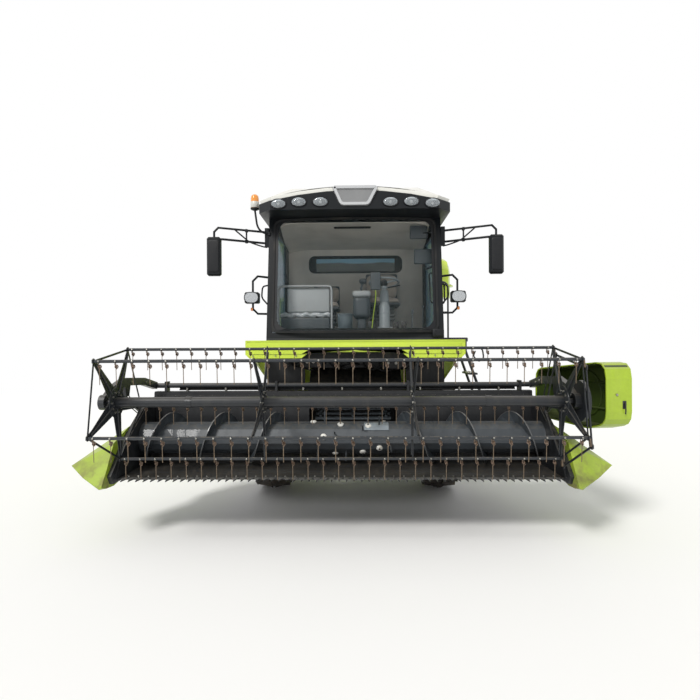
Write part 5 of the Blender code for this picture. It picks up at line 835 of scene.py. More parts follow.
screen_rim = turned(
    [(0.37, -0.002), (0.37, 0.036), (0.385, 0.042), (0.4, 0.036), (0.4, -0.002)],
    (HOOD_SIDE, 3.45, 3.12), 0, 48,
)
rear_slat = carried(
    [(-0.85, HOOD_REAR, 0), (0.85, HOOD_REAR, 0)],
    [(-0.014, -0.014), (0.0, 0.01), (0.004, 0.01), (0.004, -0.014)],
)
rear_slats = many(rear_slat, grid_of([0], [0.004], np.linspace(2.92, 3.22, 8)))
piece("radiator_screen", flipped(screen_disc), perforated)
piece("radiator_screen_rim", flipped(screen_rim), dark_steel)
left_slat = carried(
    [(HOOD_SIDE + 0.004, 3.1, 0), (HOOD_SIDE + 0.004, 3.85, 0)],
    [(-0.01, -0.014), (0.01, 0.004), (0.01, 0.01), (-0.01, 0.006)],
)
piece(
    "engine_louvres",
    joined(rear_slats, many(left_slat, grid_of([0], [0], np.linspace(2.95, 3.3, 9)))), dark_steel,
)
hood_rib = pressed(rounded((-0.95, 2.8), (0.95, 3.9), 0.1), 2, HOOD_TOP - 0.001, 0.012, 0.03)
piece("engine_hood_pressing", hood_rib, lime_paint)
bowl = turned(
    [(0, 0.0), (0.07, 0.0), (0.07, 0.1), (0.13, 0.12), (0.13, 0.22), (0.1, 0.26), (0, 0.27)],
    (0.45, 3.25, HOOD_TOP), 2, 32,
)
piece("air_intake_bowl", bowl, dark_steel)
burnt = painted("burnt_steel", (0.16, 0.085, 0.05), 0.7, dust=0.2, worn=0.3, coat=0.0, drift=0.25)
guard = turned(
    [(0.062, 0.03), (0.078, 0.03), (0.078, 0.2), (0.062, 0.2)], (-0.55, 3.2, HOOD_TOP), 2, 28,
)
piece("exhaust_guard", guard, burnt)


# Unloading tube: rolled sheet in lime, with a flange and bolts at its turning joint, seam
# bands, a rubber spout and its cradle on the hood.
UNLOAD_X, UNLOAD_Y, TUBE_Z, TUBE_R = 1.46, 1.45, 3.42, 0.15
flange = turned(
    [(TUBE_R, 0.0), (0.2, 0.0), (0.2, 0.02), (TUBE_R, 0.02)], (UNLOAD_X, UNLOAD_Y, 3.022), 2, 32,
)
flange_bolts = many(
    bolts(2, 0.012, 0.012),
    np.column_stack([ring(0.178, 10) + (UNLOAD_X, UNLOAD_Y), np.full(10, 3.042)]),
)
bands = many(
    sleeve(0.15, 0.158, 0.025, (0, 0, 0), 1, 28), [(UNLOAD_X, y, TUBE_Z) for y in (2.2, 3.3, 4.4)],
)
piece("unload_flange", joined(flange, bands), lime_paint, "unloader")
piece("unload_flange_bolts", flange_bolts, zinc, "unloader")
spout_ring = [
    (0.15, 0.06), (0.154, 0.02), (0.152, -0.05), (0.146, -0.1), (0.138, -0.1), (0.14, 0.06),
]
piece(
    "unload_rubber_spout", turned(spout_ring, (UNLOAD_X, 5.285, TUBE_Z - 0.355), 2, 32),
    black_rubber, "unloader",
)
CRADLE_Y, SADDLE_R = 3.9, 0.165
wrap_turn = np.linspace(-1.3, 1.3, 15)
saddle = upright(
    np.column_stack(
        [UNLOAD_X + SADDLE_R * np.sin(wrap_turn), TUBE_Z - SADDLE_R * np.cos(wrap_turn)]
    ),
    CRADLE_Y,
)
cradle = joined(
    pipe([(1.08, CRADLE_Y, 3.2), (UNLOAD_X, CRADLE_Y, 3.2)], 0.022, 10),
    carried(saddle, bar_outline(0.03, -0.006, 0.03, 0.006), rise=(0, 1, 0)),
)
piece("unload_cradle", cradle, grey_paint)


# Cab: a welded tube frame under satin black paint, a bowed front screen in a rubber gasket,
# lightly tinted, and a glass door and a fixed side pane painted sky blue, a painted reflection.
FLOOR_Z, BACK_Z, SCREEN_LOW_Y, SCREEN_HIGH_Y, CAB_X = 2.095, 3.605, -1.12, -0.87, 1.08
black_paint = painted(
    "black_frame_paint", (0.0055, 0.0075, 0.0095), 0.4, dust=0.05, worn=0.08,
    bare=(0.08, 0.08, 0.08), coat=0.04, drift=0.05, Specular_IOR_Level=0.22,
)
wear(black_paint, "cab_frame", "cab_door", "cab_visor", "mirror_left", "mirror_right")
moulded = Finish("moulded_black", (0.008, 0.009, 0.011), 0.55, Specular_IOR_Level=0.3)
moulded.grained(moulded.cells(420.0), 0.0006, 0.35)
moulded = moulded.mottled(3.0, 5.0, 0.45, 0.85, (0.007, 0.008, 0.01), (0.02, 0.02, 0.019)).material
tinted = Finish("tinted_glass", (0.16, 0.22, 0.24), 0.03, Coat_Weight=0.0, Specular_IOR_Level=0.3)
mirrored_share = tinted.node("ShaderNodeLayerWeight", {}, {"Blend": 0.35}, out="Fresnel")
smear = tinted.noise(2.2, 5.0, 0.6, stretch=(1.0, 1.0, 0.35)).rising(0.5, 0.8)
tinted.feed(Alpha=mirrored_share * 0.35 + smear * 0.04 + 0.03, Roughness=smear * 0.18 + 0.02)
tinted = tinted.feed(Base_Color=tinted.mixed(smear, (0.13, 0.18, 0.19), (0.4, 0.38, 0.33))).material
wear(tinted, "windshield")


def screen_y(z):
    """The screen's plane: from its low edge to its high edge in a straight line."""
    return SCREEN_LOW_Y + (SCREEN_HIGH_Y - SCREEN_LOW_Y) * (z - FLOOR_Z) / (BACK_Z - FLOOR_Z)


def on_screen(x, z, ahead=0.0):
    """A point on the bowed screen: the plane, brought forward by 1 - (x / half)^2 of the bow."""
    x, z = np.asarray(x, float), np.asarray(z, float)
    return np.stack(
        [x, screen_y(z) - 0.09 * np.clip(1 - (x / 1.016) ** 2, 0, 1) - ahead, z + 0 * x], -1,
    )


edge = rounded((-1.005, 2.172), (1.005, 3.588), 0.09, 8)
dense = divided(edge, 8)
gasket_path = loop(on_screen(dense[:, 0], dense[:, 1], 0.004))
gasket = carried(gasket_path, bar_outline(0.016, -0.004, 0.013, 0.01), rise=(0, -1, 0))
piece("screen_gasket", gasket, black_rubber)
border_outer = rounded((-1.012, 2.17), (1.012, 3.579), 0.02, 8)
border_inner = rounded((-0.955, 2.215), (0.955, 3.572), 0.13, 8)
shares = np.linspace(0, 1, 3)[:, None, None]
border = border_outer[None] * (1 - shares) + border_inner[None] * shares
border = np.concatenate(
    [
        on_screen(border[..., 0], border[..., 1], 0.0016),
        on_screen(border[::-1, :, 0], border[::-1, :, 1], 0.0006),
    ]
)
piece(
    "screen_black_border", woven(np.concatenate([border, border[:1]]), around=True), moulded,
)
hinges = many(drum(0.014, 0.045, (CAB_X + 0.008, 0.352, 0), 2, 14), [(0, 0, 2.45), (0, 0, 3.2)])
piece("door_hinges", hinges, dark_steel, "door")
pull = pipe(
    [
        (CAB_X, -0.86, 2.52), (CAB_X + 0.05, -0.86, 2.54), (CAB_X + 0.05, -0.84, 2.78),
        (CAB_X, -0.83, 2.8),
    ],
    0.01, 10, 0.03,
)
inner_pull = pipe(
    [(1.03, -0.7, 2.55), (0.98, -0.7, 2.56), (0.98, -0.55, 2.95), (1.03, -0.53, 2.97)], 0.01, 10,
    0.03,
)
piece("door_pulls", joined(pull, inner_pull), moulded, "door")


# Roof: a pressed cream dome over the black visor, six oval lamps let into the visor's front
# and a bare silver frame in the middle.
cream = painted("cream_roof_paint", (0.78, 0.78, 0.73), 0.3, dust=0.22, coat=0.5, drift=0.03)
wear(cream, "cab_roof")
ROOF_FRONT, ROOF_LIP, ROOF_CROWN, ROOF_ARCH = -1.3, 3.772, 3.925, 0.115
u = np.linspace(-1, 1, 49)
v = np.linspace(-1, 1, 33)


def roof_skin(lift):
    """The roof's dome over a rounded rectangle: its edge stands at the lip, arched along the
    front as 1 - (x / half)^2, and it climbs to the crown within 0.22 m as 1 - (1 - d)^1.5."""
    a, b = 1.154, 0.942
    squared = np.maximum(np.abs(u)[:, None], np.abs(v)[None])
    power = np.maximum((np.abs(u)[:, None] ** 6 + np.abs(v)[None] ** 6) ** (1 / 6), 1e-9)
    x = a * u[:, None] * squared / power
    y = b * v[None] * squared / power - 0.325
    arch = ROOF_ARCH * np.clip(1 - (x / 0.995) ** 2, 0, 1) * np.clip(-v, 0, 1)[None]
    inward = np.clip((1 - squared) * b / 0.22, 0, 1)
    rise = 1 - (1 - inward) ** 1.5
    z = (ROOF_LIP + arch) * (1 - rise) + ROOF_CROWN * rise + lift
    return np.stack([x, y, z], -1)


piece("roof_skin", woven(roof_skin(0.007)), cream, smooth=60.0)
chrome = Finish("lamp_reflector", (0.5, 0.51, 0.52), 0.14, 1.0)
chrome = chrome.grained(chrome.cells(60.0), 0.003, 0.4).material
clear = Finish("clear_lens", (0.7, 0.76, 0.8), 0.02, Coat_Weight=1.0, Coat_Roughness=0.02)
clear.feed(
    Alpha=clear.node("ShaderNodeLayerWeight", {}, {"Blend": 0.4}, out="Fresnel") * 0.7 + 0.18
)
clear = clear.grained((clear.along("X") * 380.0).sine(), 0.0012, 0.3).material
LAMP_ROW = (
    (-0.896, 3.681), (-0.655, 3.701), (-0.399, 3.7), (0.427, 3.693), (0.672, 3.695), (0.923, 3.673),
)
lamp_spots = [(x, ROOF_FRONT, z) for x, z in LAMP_ROW]
LAMP_LAYERS = (
    (
        "bezels", moulded, "black_plastic", 0.62,
        (
            (0.07, 0.03), (0.095, 0.02), (0.1, -0.006), (0.092, -0.016), (0.084, -0.014),
            (0.082, 0.02), (0.07, 0.03),
        ),
    ),
    (
        "bowls", chrome, "chrome_rod", 0.62,
        (
            (0, 0.02), (0.03, 0.016), (0.06, 0.006), (0.082, -0.01), (0.084, -0.006),
            (0.062, 0.012), (0, 0.026),
        ),
    ),
    (
        "bulbs", rim_paint, "rim_paint", 1.0,
        ((0, -0.01), (0.014, -0.008), (0.018, 0.004), (0.014, 0.016), (0, 0.018)),
    ),
    (
        "lenses", clear, "tinted_glass", 0.62,
        (
            (0, -0.026), (0.045, -0.024), (0.075, -0.018), (0.084, -0.01), (0.08, -0.008),
            (0.045, -0.018), (0, -0.02),
        ),
    ),
)
for name, finish, slot, high, profile in LAMP_LAYERS:
    row = [moved(turned(profile, (0, 0, 0), 1, 32), spot, (1, 1, high)) for spot in lamp_spots]
    piece(f"roof_lamp_{name}", joined(*row), finish)
badge = np.array([(-0.236, 3.866), (0.264, 3.866), (0.163, 3.672), (-0.15, 3.672)])
silver = painted("silver_trim", (0.55, 0.56, 0.57), 0.28, dust=0.15, drift=0.03, metallic=0.7)
badge_path = loop(badge)
badge_ring = carried(
    bent(upright(badge_path, ROOF_FRONT - 0.012), 0.03), bar_outline(0.024, -0.01, 0.016, 0.014),
    rise=(0, -1, 0),
)
piece("roof_badge_frame", badge_ring, silver)
badge_face = plate(badge * (0.93, 1), 1, ROOF_FRONT - 0.01, ROOF_FRONT - 0.002)
piece(
    "roof_badge_blank", badge_face, painted("badge_grey", (0.22, 0.225, 0.23), 0.35, dust=0.15),
)


# Beacon: an amber dome with a white cap on a bent tube from the cab's front corner, with the
# tube's clamp.
BEACON = (-1.232, -1.02, 3.705)
amber = lens("beacon_amber", (0.85, 0.3, 0.02), 0.1, 20.0)
for name, finish, slot, profile in (
    (
        "dome", amber, "black_plastic",
        ((0.046, 0.0), (0.05, 0.01), (0.05, 0.125), (0.044, 0.155), (0.026, 0.172), (0.0, 0.178)),
    ),
    (
        "base", moulded, "black_plastic",
        ((0, -0.022), (0.03, -0.02), (0.052, -0.008), (0.054, 0.004), (0.046, 0.008), (0.0, 0.008)),
    ),
    (
        "white_band", rim_paint, "rim_paint",
        ((0.0495, 0.008), (0.0525, 0.012), (0.0525, 0.08), (0.0495, 0.084)),
    ),
):
    piece(f"beacon_{name}", turned(profile, BEACON, 2, 28), finish)
stalk = pipe(
    [(-1.06, -0.9, 3.42), (-1.15, -0.95, 3.42), (-1.205, -1.01, 3.48), (*BEACON[:2], 3.69)], 0.012,
    10, 0.06,
)
clamp = block((-1.1, -0.925, 3.395), (-1.06, -0.875, 3.445), 0.006, 1)
piece("beacon_stalk", joined(stalk, clamp), moulded)


# Side lamps on the cab's corners: a black moulded case, a chromed bowl behind a clear lens,
# with a small amber light below.
SIDE_LAMP_X, SIDE_LAMP_Z = 1.25, 2.59


def lamp_layer(depths, half_x, half_z, corner, growth):
    """One layer of a side lamp: a rounded rectangle carried along y and scaled as it goes."""
    path = [(SIDE_LAMP_X, y, SIDE_LAMP_Z) for y in depths]
    return carried(path, rounded((-half_x, -half_z), (half_x, half_z), corner, 6), growth=growth)


case = lamp_layer((-1.163, -1.176), 0.092, 0.07, 0.066, [1.0, 0.97])
hollow_bowl = lamp_layer((-1.177, -1.17), 0.08, 0.06, 0.058, [1.0, 0.6])
front_glass = lamp_layer((-1.176, -1.184, -1.186), 0.082, 0.061, 0.058, [1.0, 0.96, 0.5])
piece("side_lamp_bezels", pair(case), moulded)
piece("side_lamp_bowls", pair(hollow_bowl), chrome)
piece("side_lamp_lenses", pair(front_glass), clear)
small_light = block((1.245, -1.1, 2.435), (1.275, -1.06, 2.475), 0.008, 2)
piece("side_marker_lights", pair(small_light), amber_lens)
second_rail = pipe(
    [(1.08, -0.98, 2.76), (1.14, -1.03, 2.74), (1.15, -1.04, 2.6), (1.08, -1.02, 2.52)], 0.01, 8,
    0.04,
)
piece("corner_grab_rails", pair(second_rail), black_paint)


# Mirrors: a bulged glass let into each black moulded back behind a thin rim, and the arms'
# clamps and stays of the same black.
mirror_glass = Finish("mirror_glass", (0.8, 0.83, 0.86), 0.03, 1.0)
film = mirror_glass.noise(5.0, 5.0).rising(0.5, 0.85)
mirror_glass = mirror_glass.feed(Roughness=film * 0.25 + 0.02).material
MIRROR_X, MIRROR_FACE_Y, MIRROR_Z = 1.7, -1.119, 3.09
face_outline = rounded((-0.07, -0.215), (0.07, 0.215), 0.03, 6)
glass_grid = np.stack([face_outline[None] * s for s in (1.0, 0.7, 0.35, 0.0)])
bulge = 0.006 * (1 - np.array([1.0, 0.7, 0.35, 0.0]) ** 2)
mirror_face = np.stack(
    np.broadcast_arrays(
        glass_grid[..., 0] + MIRROR_X, MIRROR_FACE_Y + bulge[:, None],
        glass_grid[..., 1] + MIRROR_Z,
    ),
    -1,
)
edge_path = loop(upright(face_outline + (MIRROR_X, MIRROR_Z), MIRROR_FACE_Y))
mirror_rim = carried(edge_path, bar_outline(0.006, -0.004, 0.004, 0.006), rise=(0, 1, 0))
piece("mirror_faces", pair(woven(mirror_face, around=True)), mirror_glass)
piece("mirror_rims", pair(mirror_rim), moulded)
back_shell = pressed(rounded((1.632, 2.89), (1.768, 3.29), 0.03), 1, 0.0, 0.012, 0.02)
back_shell = moved(back_shell, (0, -1.199, 0), FORWARD)
piece("mirror_back_pressings", pair(back_shell), moulded)
stays = joined(
    pipe(
        [(1.11, -0.895, 3.25), (1.16, -0.96, 3.25), (1.3, -1.02, 3.29), (1.46, -1.1, 3.425)], 0.009,
        8, 0.05,
    ),
    pipe([(1.34, -1.01, 3.3), (1.34, -1.01, 3.44)], 0.01, 8),
    many(
        block((-0.018, -0.018, -0.02), (0.018, 0.018, 0.02), 0.006, 1),
        [(1.34, -1.01, 3.3), (1.34, -1.01, 3.435), (1.7, -1.16, 3.3)],
    ),
)
piece("mirror_stays", pair(stays), moulded)


# Inside of the cab: a grey-beige moulded liner round the rear window, a dark floor mat, the
# lever pod, three monitors, the padded panel in its rail, a canister, levers and leads.
liner_color = (0.6, 0.575, 0.52)
liner = Finish("cab_liner", liner_color, 0.62)
leathered = liner.cells(260.0)
liner.mottled(2.5, 5.0, 0.4, 0.85, liner_color, (0.45, 0.43, 0.385))
liner = liner.grained(leathered, 0.0006, 0.4).material
INSIDE_Y = 0.498
CAB_MAT_Z = 2.16


def framed(outer, inner, axis, at, depth):
    """A flat frame between two outlines of the same count, standing `depth` high: a ring of
    quads across the front and one down each edge."""
    heights = [at, at + depth, at + depth, at, at]
    return woven(stacked([outer, outer, inner, inner, outer], axis, heights), around=True)


window_ring = rounded((-0.7, 3.135), (0.7, 3.375), 0.08, 6)
wall_ring = rounded((-1.02, 2.15), (1.02, 3.545), 0.1, 6)
piece("rear_liner", framed(wall_ring, window_ring, 1, INSIDE_Y, -0.035), liner)
window_path = upright(window_ring, 0.46)
window_seal = carried(loop(window_path), bar_outline(0.014, -0.006, 0.01, 0.01), rise=(0, -1, 0))
piece("rear_window_seal", window_seal, black_rubber)
# The door and side pane are painted sky blue with paler patches: a painted reflection of the sky.
painted_sky_glass = Finish("glass_painted_sky", (0.26, 0.5, 0.64), 0.04)
painted_sky_patches = painted_sky_glass.noise(1.8, 5.0, 0.6, stretch=(1.0, 1.0, 0.4)).rising(0.45, 0.85)
painted_sky_glass.feed(
    Alpha=painted_sky_glass.node("ShaderNodeLayerWeight", {}, {"Blend": 0.3}, out="Fresnel") * 0.35
    + painted_sky_patches * 0.15
    + 0.42
)
painted_sky_glass = painted_sky_glass.feed(
    Base_Color=painted_sky_glass.mixed(painted_sky_patches, (0.2, 0.42, 0.56), (0.42, 0.55, 0.6))
).material
wear(painted_sky_glass, "side_glass_right", "door_glass")
# The rear window is a painted view through the glass: sky blue above a wavy skyline as painted sky,
# dark below it as painted shade, and mostly opaque.
rear_glass_painted_view = Finish("rear_window_painted_view", (0.2, 0.3, 0.36), 0.05)
skyline = (rear_glass_painted_view.along("Z") + rear_glass_painted_view.noise(3.0, 4.0) * 0.05).rising(3.3, 3.32)
rear_glass_painted_view = rear_glass_painted_view.feed(
    Base_Color=rear_glass_painted_view.mixed(skyline, (0.085, 0.1, 0.11), (0.3, 0.56, 0.72)),
    Alpha=skyline * 0.2 + 0.7,
).material
piece(
    "rear_window", plate(rounded((-0.6, 2.9), (0.6, 3.35), 0.01, 3), 1, 0.515, 0.521), rear_glass_painted_view,
)
ceiling_y = np.array([-0.86, -0.86, -0.8, -0.66, -0.55, -0.2, 0.2, 0.48, 0.495, 0.495])
ceiling_z = np.array([3.566, 3.556, 3.553, 3.543, 3.53, 3.505, 3.49, 3.478, 3.47, 3.566])
across = np.linspace(-1.0, 1.0, 33)
ceiling = np.zeros((len(across), len(ceiling_y), 3))
ceiling[..., 0] = across[:, None] * (1.0 - 0.07 * np.clip(-ceiling_y, 0, 1)[None])
ceiling[..., 1] = ceiling_y
ceiling[..., 2] = ceiling_z - 0.05 * np.abs(across[:, None]) ** 12 * (ceiling_z < 3.56)
piece("head_liner", capped(ceiling), liner)
slats = grid_of(np.linspace(-0.215, 0.215, 13) - 0.03, [-0.7], [3.54])
vent = joined(
    block((-0.27, -0.735, 3.532), (0.21, -0.665, 3.542), 0.004, 1),
    many(block((-0.01, -0.028, -0.014), (0.01, 0.028, 0.0), 0.003, 1), slats),
)
piece("head_liner_vent", vent, moulded)
mat = Finish("floor_mat", (0.035, 0.034, 0.032), 0.85)
mat.grained((mat.along("X") * 260.0).sine(), 0.002, 0.6)
mat = mat.mottled(4.0, 6.0, 0.42, 0.7, (0.032, 0.031, 0.03), (0.15, 0.12, 0.085)).material
piece(
    "floor_mat", block((-1.0, -1.02, 2.146), (1.0, 0.48, CAB_MAT_Z), 0.006, 1), mat,
)
slate = painted("slate_moulding", (0.055, 0.07, 0.08), 0.45, dust=0.25, coat=0.1)
pale_grey = painted("pale_grey_moulding", (0.42, 0.45, 0.46), 0.45, dust=0.25, coat=0.1)
pod = joined(
    block((-0.03, -0.6, 2.36), (0.205, -0.37, 2.665), 0.07, 6),
    block((0.03, -0.54, CAB_MAT_Z), (0.145, -0.42, 2.4), 0.02, 2),
    block((0.02, -0.34, 2.56), (0.12, 0.14, 2.6), 0.02, 3),
)
piece("lever_pod", pod, slate)
pod_cap = joined(
    block((-0.035, -0.605, 2.65), (0.21, -0.365, 2.735), 0.035, 5),
    block((0.015, -0.34, 2.595), (0.125, 0.14, 2.655), 0.025, 4),
)
piece("lever_pod_cap", pod_cap, pale_grey)
sticks = joined(
    pipe([(0.085, -0.5, 2.73), (0.08, -0.51, 2.79), (0.105, -0.5, 2.85)], 0.016, 10),
    block((0.055, -0.55, 2.83), (0.155, -0.47, 2.905), 0.034, 5),
    pipe([(0.73, -0.78, CAB_MAT_Z), (0.735, -0.76, 2.43)], 0.01, 8),
    block((0.718, -0.78, 2.4), (0.752, -0.745, 2.47), 0.016, 3),
    pipe([(0.86, -0.8, CAB_MAT_Z), (0.865, -0.79, 2.49)], 0.005, 8),
    turned(
        [(0, -0.016), (0.012, -0.011), (0.016, 0), (0.012, 0.011), (0, 0.016)], (0.865, -0.79, 2.5),
        2, 12,
    ),
)
piece("console_levers", sticks, slate)
display_glass = Finish("display_glass", (0.01, 0.014, 0.02), 0.08, Coat_Weight=0.8)
display_glass = display_glass.feed(
    Roughness=display_glass.noise(6.0, 4.0).rising(0.4, 0.9) * 0.2 + 0.06
).material
screens = (
    (0.262, -0.86, 2.818, 0.064, 0.112), (0.815, -0.8, 3.445, 0.112, 0.085),
    (0.875, -0.8, 3.135, 0.12, 0.096),
)
cases = [
    block((x - a, y - 0.022, z - b), (x + a, y + 0.025, z + b), 0.015, 3)
    for x, y, z, a, b in screens
]
faces = [
    block((x - a * 0.86, y + 0.02, z - b * 0.8), (x + a * 0.86, y + 0.029, z + b * 0.84), 0.004, 1)
    for x, y, z, a, b in screens
]
piece("monitor_cases", joined(*cases), slate)
piece("monitor_faces", joined(*faces), display_glass)
monitor_arm = joined(
    pipe([(0.99, -0.84, 3.54), (0.99, -0.84, 3.0), (0.9, -0.8, 2.98)], 0.014, 8, 0.04),
    pipe([(0.99, -0.84, 3.43), (0.86, -0.81, 3.43)], 0.012, 8),
    pipe([(0.262, -0.845, 2.71), (0.262, -0.82, 2.55), (0.262, -0.8, CAB_MAT_Z)], 0.011, 8, 0.04),
)
piece("monitor_arms", monitor_arm, moulded)
bin_grey = painted("blue_grey_canister", (0.1, 0.135, 0.155), 0.4, dust=0.25)
canister = turned(
    [
        (0, 0.0), (0.082, 0.0), (0.088, 0.01), (0.097, 0.225), (0.104, 0.228), (0.104, 0.243),
        (0.092, 0.25), (0, 0.25),
    ],
    (-0.126, -0.86, CAB_MAT_Z), 2, 32,
)
piece("blue_grey_canister", canister, bin_grey)
panel = block((-0.875, -0.735, 2.44), (-0.325, -0.69, 2.755), 0.02, 4)
piece("rail_panel", panel, pale_grey)
rail = joined(
    pipe(
        [
            (-0.985, -0.76, CAB_MAT_Z), (-0.985, -0.76, 2.775), (-0.3, -0.76, 2.775),
            (-0.3, -0.76, CAB_MAT_Z),
        ],
        0.015, 10, 0.06,
    ),
    pipe([(-0.985, -0.76, 2.215), (-0.3, -0.76, 2.215)], 0.012, 8),
)
piece("panel_rail", rail, pale_grey)
piece(
    "rail_box", block((-0.965, -0.735, CAB_MAT_Z), (-0.325, -0.45, 2.372), 0.02, 3), slate,
)
wrap = Finish("clear_wrap", (0.5, 0.55, 0.57), 0.22, Coat_Weight=0.4)
crumple = wrap.noise(14.0, 4.0, 0.6, stretch=(1.0, 1.0, 2.5))
wrap = wrap.feed(
    Normal=wrap.bump(crumple, 0.02, 0.9),
    Base_Color=wrap.mixed(crumple.rising(0.4, 0.7), (0.3, 0.34, 0.36), (0.66, 0.69, 0.7)),
).material
roll_x = np.linspace(-0.965, -0.325, 60)
roll_path = np.stack(
    [roll_x, -0.715 + 0.006 * np.sin(31 * roll_x), 2.405 + 0.006 * np.sin(47 * roll_x)], -1,
)
piece(
    "rolled_wrap",
    carried(roll_path, ring(1.0, 12) * (0.026, 0.032), growth=1 + 0.1 * np.sin(67 * roll_x)), wrap,
)
pedals = many(
    joined(
        block((-0.035, -0.012, -0.05), (0.035, 0.004, 0.05), 0.008, 2),
        pipe([(0, -0.005, 0.0), (0, -0.1, -0.02), (0, -0.12, -0.09)], 0.008, 8, 0.03),
    ),
    [(0.2, -0.86, 2.26), (0.52, -0.84, 2.26), (0.62, -0.84, 2.26)],
)
piece("pedals", pedals, dark_steel)
signal = Finish("yellow_green_lead", (0.42, 0.6, 0.03), 0.5)
signal = signal.grained(signal.noise(200.0, 2.0), 0.0005, 0.3).material
lead = pipe(
    [(0.262, -0.885, 2.7), (0.262, -0.93, 2.6), (0.225, -0.99, 2.36), (0.205, -1.01, 2.165)],
    0.0045, 8, 0.12,
)
piece("clipped_display_lead", lead, signal)


# Steering column: grey moulded shrouds over the column's own stem, the lower one thick and
# ringed, and a round boss in the wheel's middle.
COLUMN_FOOT, COLUMN_HEAD = np.array((0.38, -0.78, 2.15)), np.array((0.38, -0.62, 2.835))
column_grey = painted("column_grey", (0.26, 0.3, 0.32), 0.45, dust=0.2, coat=0.1)
wear(column_grey, "steering_column")
column_run = COLUMN_HEAD - COLUMN_FOOT
column_lean = -math.atan2(column_run[1], column_run[2])
shroud_profile = [
    (0.06, 0.06), (0.078, 0.062), (0.078, 0.1), (0.07, 0.11), (0.07, 0.26), (0.074, 0.264),
    (0.074, 0.276), (0.07, 0.28), (0.068, 0.38), (0.06, 0.395), (0.056, 0.4), (0.056, 0.42),
    (0.064, 0.43), (0.06, 0.5), (0.05, 0.585), (0.03, 0.6),
]
shroud = spun(turned(shroud_profile, (0, 0, 0), 2, 28), column_lean, 0)
piece("column_shroud", moved(shroud, COLUMN_FOOT), column_grey)
wheel_boss = spun(
    turned(
        [(0, 0.03), (0.03, 0.028), (0.048, 0.01), (0.05, -0.03), (0.02, -0.07), (0, -0.07)],
        (0, 0, 0), 2, 28,
    ),
    column_lean, 0,
)
piece("steering_boss", moved(wheel_boss, COLUMN_HEAD), moulded)
stalk_grip = pipe(
    [
        COLUMN_HEAD + (0.05, 0.0, -0.07), COLUMN_HEAD + (0.17, 0.0, -0.05),
        COLUMN_HEAD + (0.21, 0.0, -0.04),
    ],
    0.009, 8, 0.03,
)
piece("steering_stalk", stalk_grip, moulded)


# Seats: crowned foam cushions and back rests in woven cloth with sewn channels, on a moulded
# pan; the driver's stands on a rubber bellows, the second one on its box with a low back.
cloth = Finish("woven_seat_cloth", (0.4, 0.345, 0.29), 0.85)
weft = (cloth.along("X") * 2600.0).sine() * (
    cloth.along("Z") * 2600.0 + cloth.along("Y") * 2600.0
).sine()
mottle = cloth.noise(7.0, 5.0).rising(0.35, 0.8)
cloth.feed(
    Base_Color=cloth.mixed(mottle * 0.6 + weft * 0.15, (0.42, 0.365, 0.31), (0.28, 0.25, 0.215))
)
cloth = cloth.feed(Normal=cloth.bump(weft, 0.0006, 0.5), Sheen_Weight=0.3).material
PAD_STEPS = 24


def cushion(half_x, half_y, thick, crown, channel=0.0):
    """A stuffed pad: over a rounded square, its top rises with (1 - u^4)(1 - v^4) and dips
    along two sewn channels; its wall bulges between top and bottom and its base is flat."""
    t = np.linspace(-1, 1, PAD_STEPS)
    uu, vv = np.meshgrid(t, t, indexing="ij")
    squared = np.maximum(np.abs(uu), np.abs(vv))
    power = np.maximum((np.abs(uu) ** 5 + np.abs(vv) ** 5) ** 0.2, 1e-9)
    x, y = uu * squared / power * half_x, vv * squared / power * half_y
    height = (1 - uu**4) * (1 - vv**4)
    dips = np.exp(-(((np.abs(uu) - 0.62) / 0.05) ** 2))
    top = thick * 0.55 + (crown + thick * 0.45) * height**0.5 - channel * dips * height
    sheets = [
        np.stack([x * s, y * s, z + 0 * x], -1)
        for s, z in ((0.94, 0.0), (1.02, thick * 0.3))
    ]
    upper = np.stack([x, y, top], -1)
    end = PAD_STEPS - 1
    edge = np.concatenate(
        [
            np.arange(PAD_STEPS) * PAD_STEPS, end * PAD_STEPS + np.arange(1, PAD_STEPS),
            np.arange(end - 1, -1, -1) * PAD_STEPS + end, np.arange(end - 1, 0, -1),
        ]
    )
    wall = np.stack([sheet.reshape(-1, 3)[edge] for sheet in (sheets[0], sheets[1], upper)])
    return joined(woven(upper), woven(wall, around=True), woven(sheets[0][::-1]))


def seat(name, x, half, top, back_height, node):
    """A seat in the room of its node: two pads with a fine subdivision, said to be stuffed,
    one lying on a moulded pan and one against a moulded back shell."""
    pan = joined(
        block((x - half, -0.33, top), (x + half, 0.13, top + 0.055), 0.03, 4),
        block(
            (x - half + 0.01, 0.085, top + 0.04),
            (x + half - 0.01, 0.138, top + 0.16 + back_height), 0.03, 5,
        ),
        block((x - half * 0.6, -0.22, CAB_MAT_Z), (x + half * 0.6, 0.08, top - 0.02), 0.02, 2),
        *[
            block((x - half * 0.72, -0.25, z), (x + half * 0.72, 0.11, z + 0.05), 0.022, 4)
            for z in (top - 0.2, top - 0.15, top - 0.1, top - 0.05)
        ],
    )
    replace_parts(piece(f"{name}_shell", pan, slate), node)
    base = cushion(half - 0.015, 0.195, 0.05, 0.035, 0.014)
    rest = spun(cushion(half - 0.02, back_height / 2, 0.045, 0.035, 0.014), math.pi / 2, 0)
    for part, shape in (
        ("cushion", moved(base, (x, -0.13, top + 0.05))),
        ("back_rest", moved(rest, (x, 0.092, top + 0.14 + back_height / 2))),
    ):
        made = piece(f"{name}_{part}", shape, cloth, smooth=70.0)
        soft = made.modifiers.new("soft", "SUBSURF")
        soft.levels = soft.render_levels = 1
        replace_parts(made, node)


seat("driver_seat", 0.38, 0.24, 2.55, 0.34, "driver_seat")
seat("second_seat", -0.42, 0.2, 2.5, 0.22, "passenger_seat")


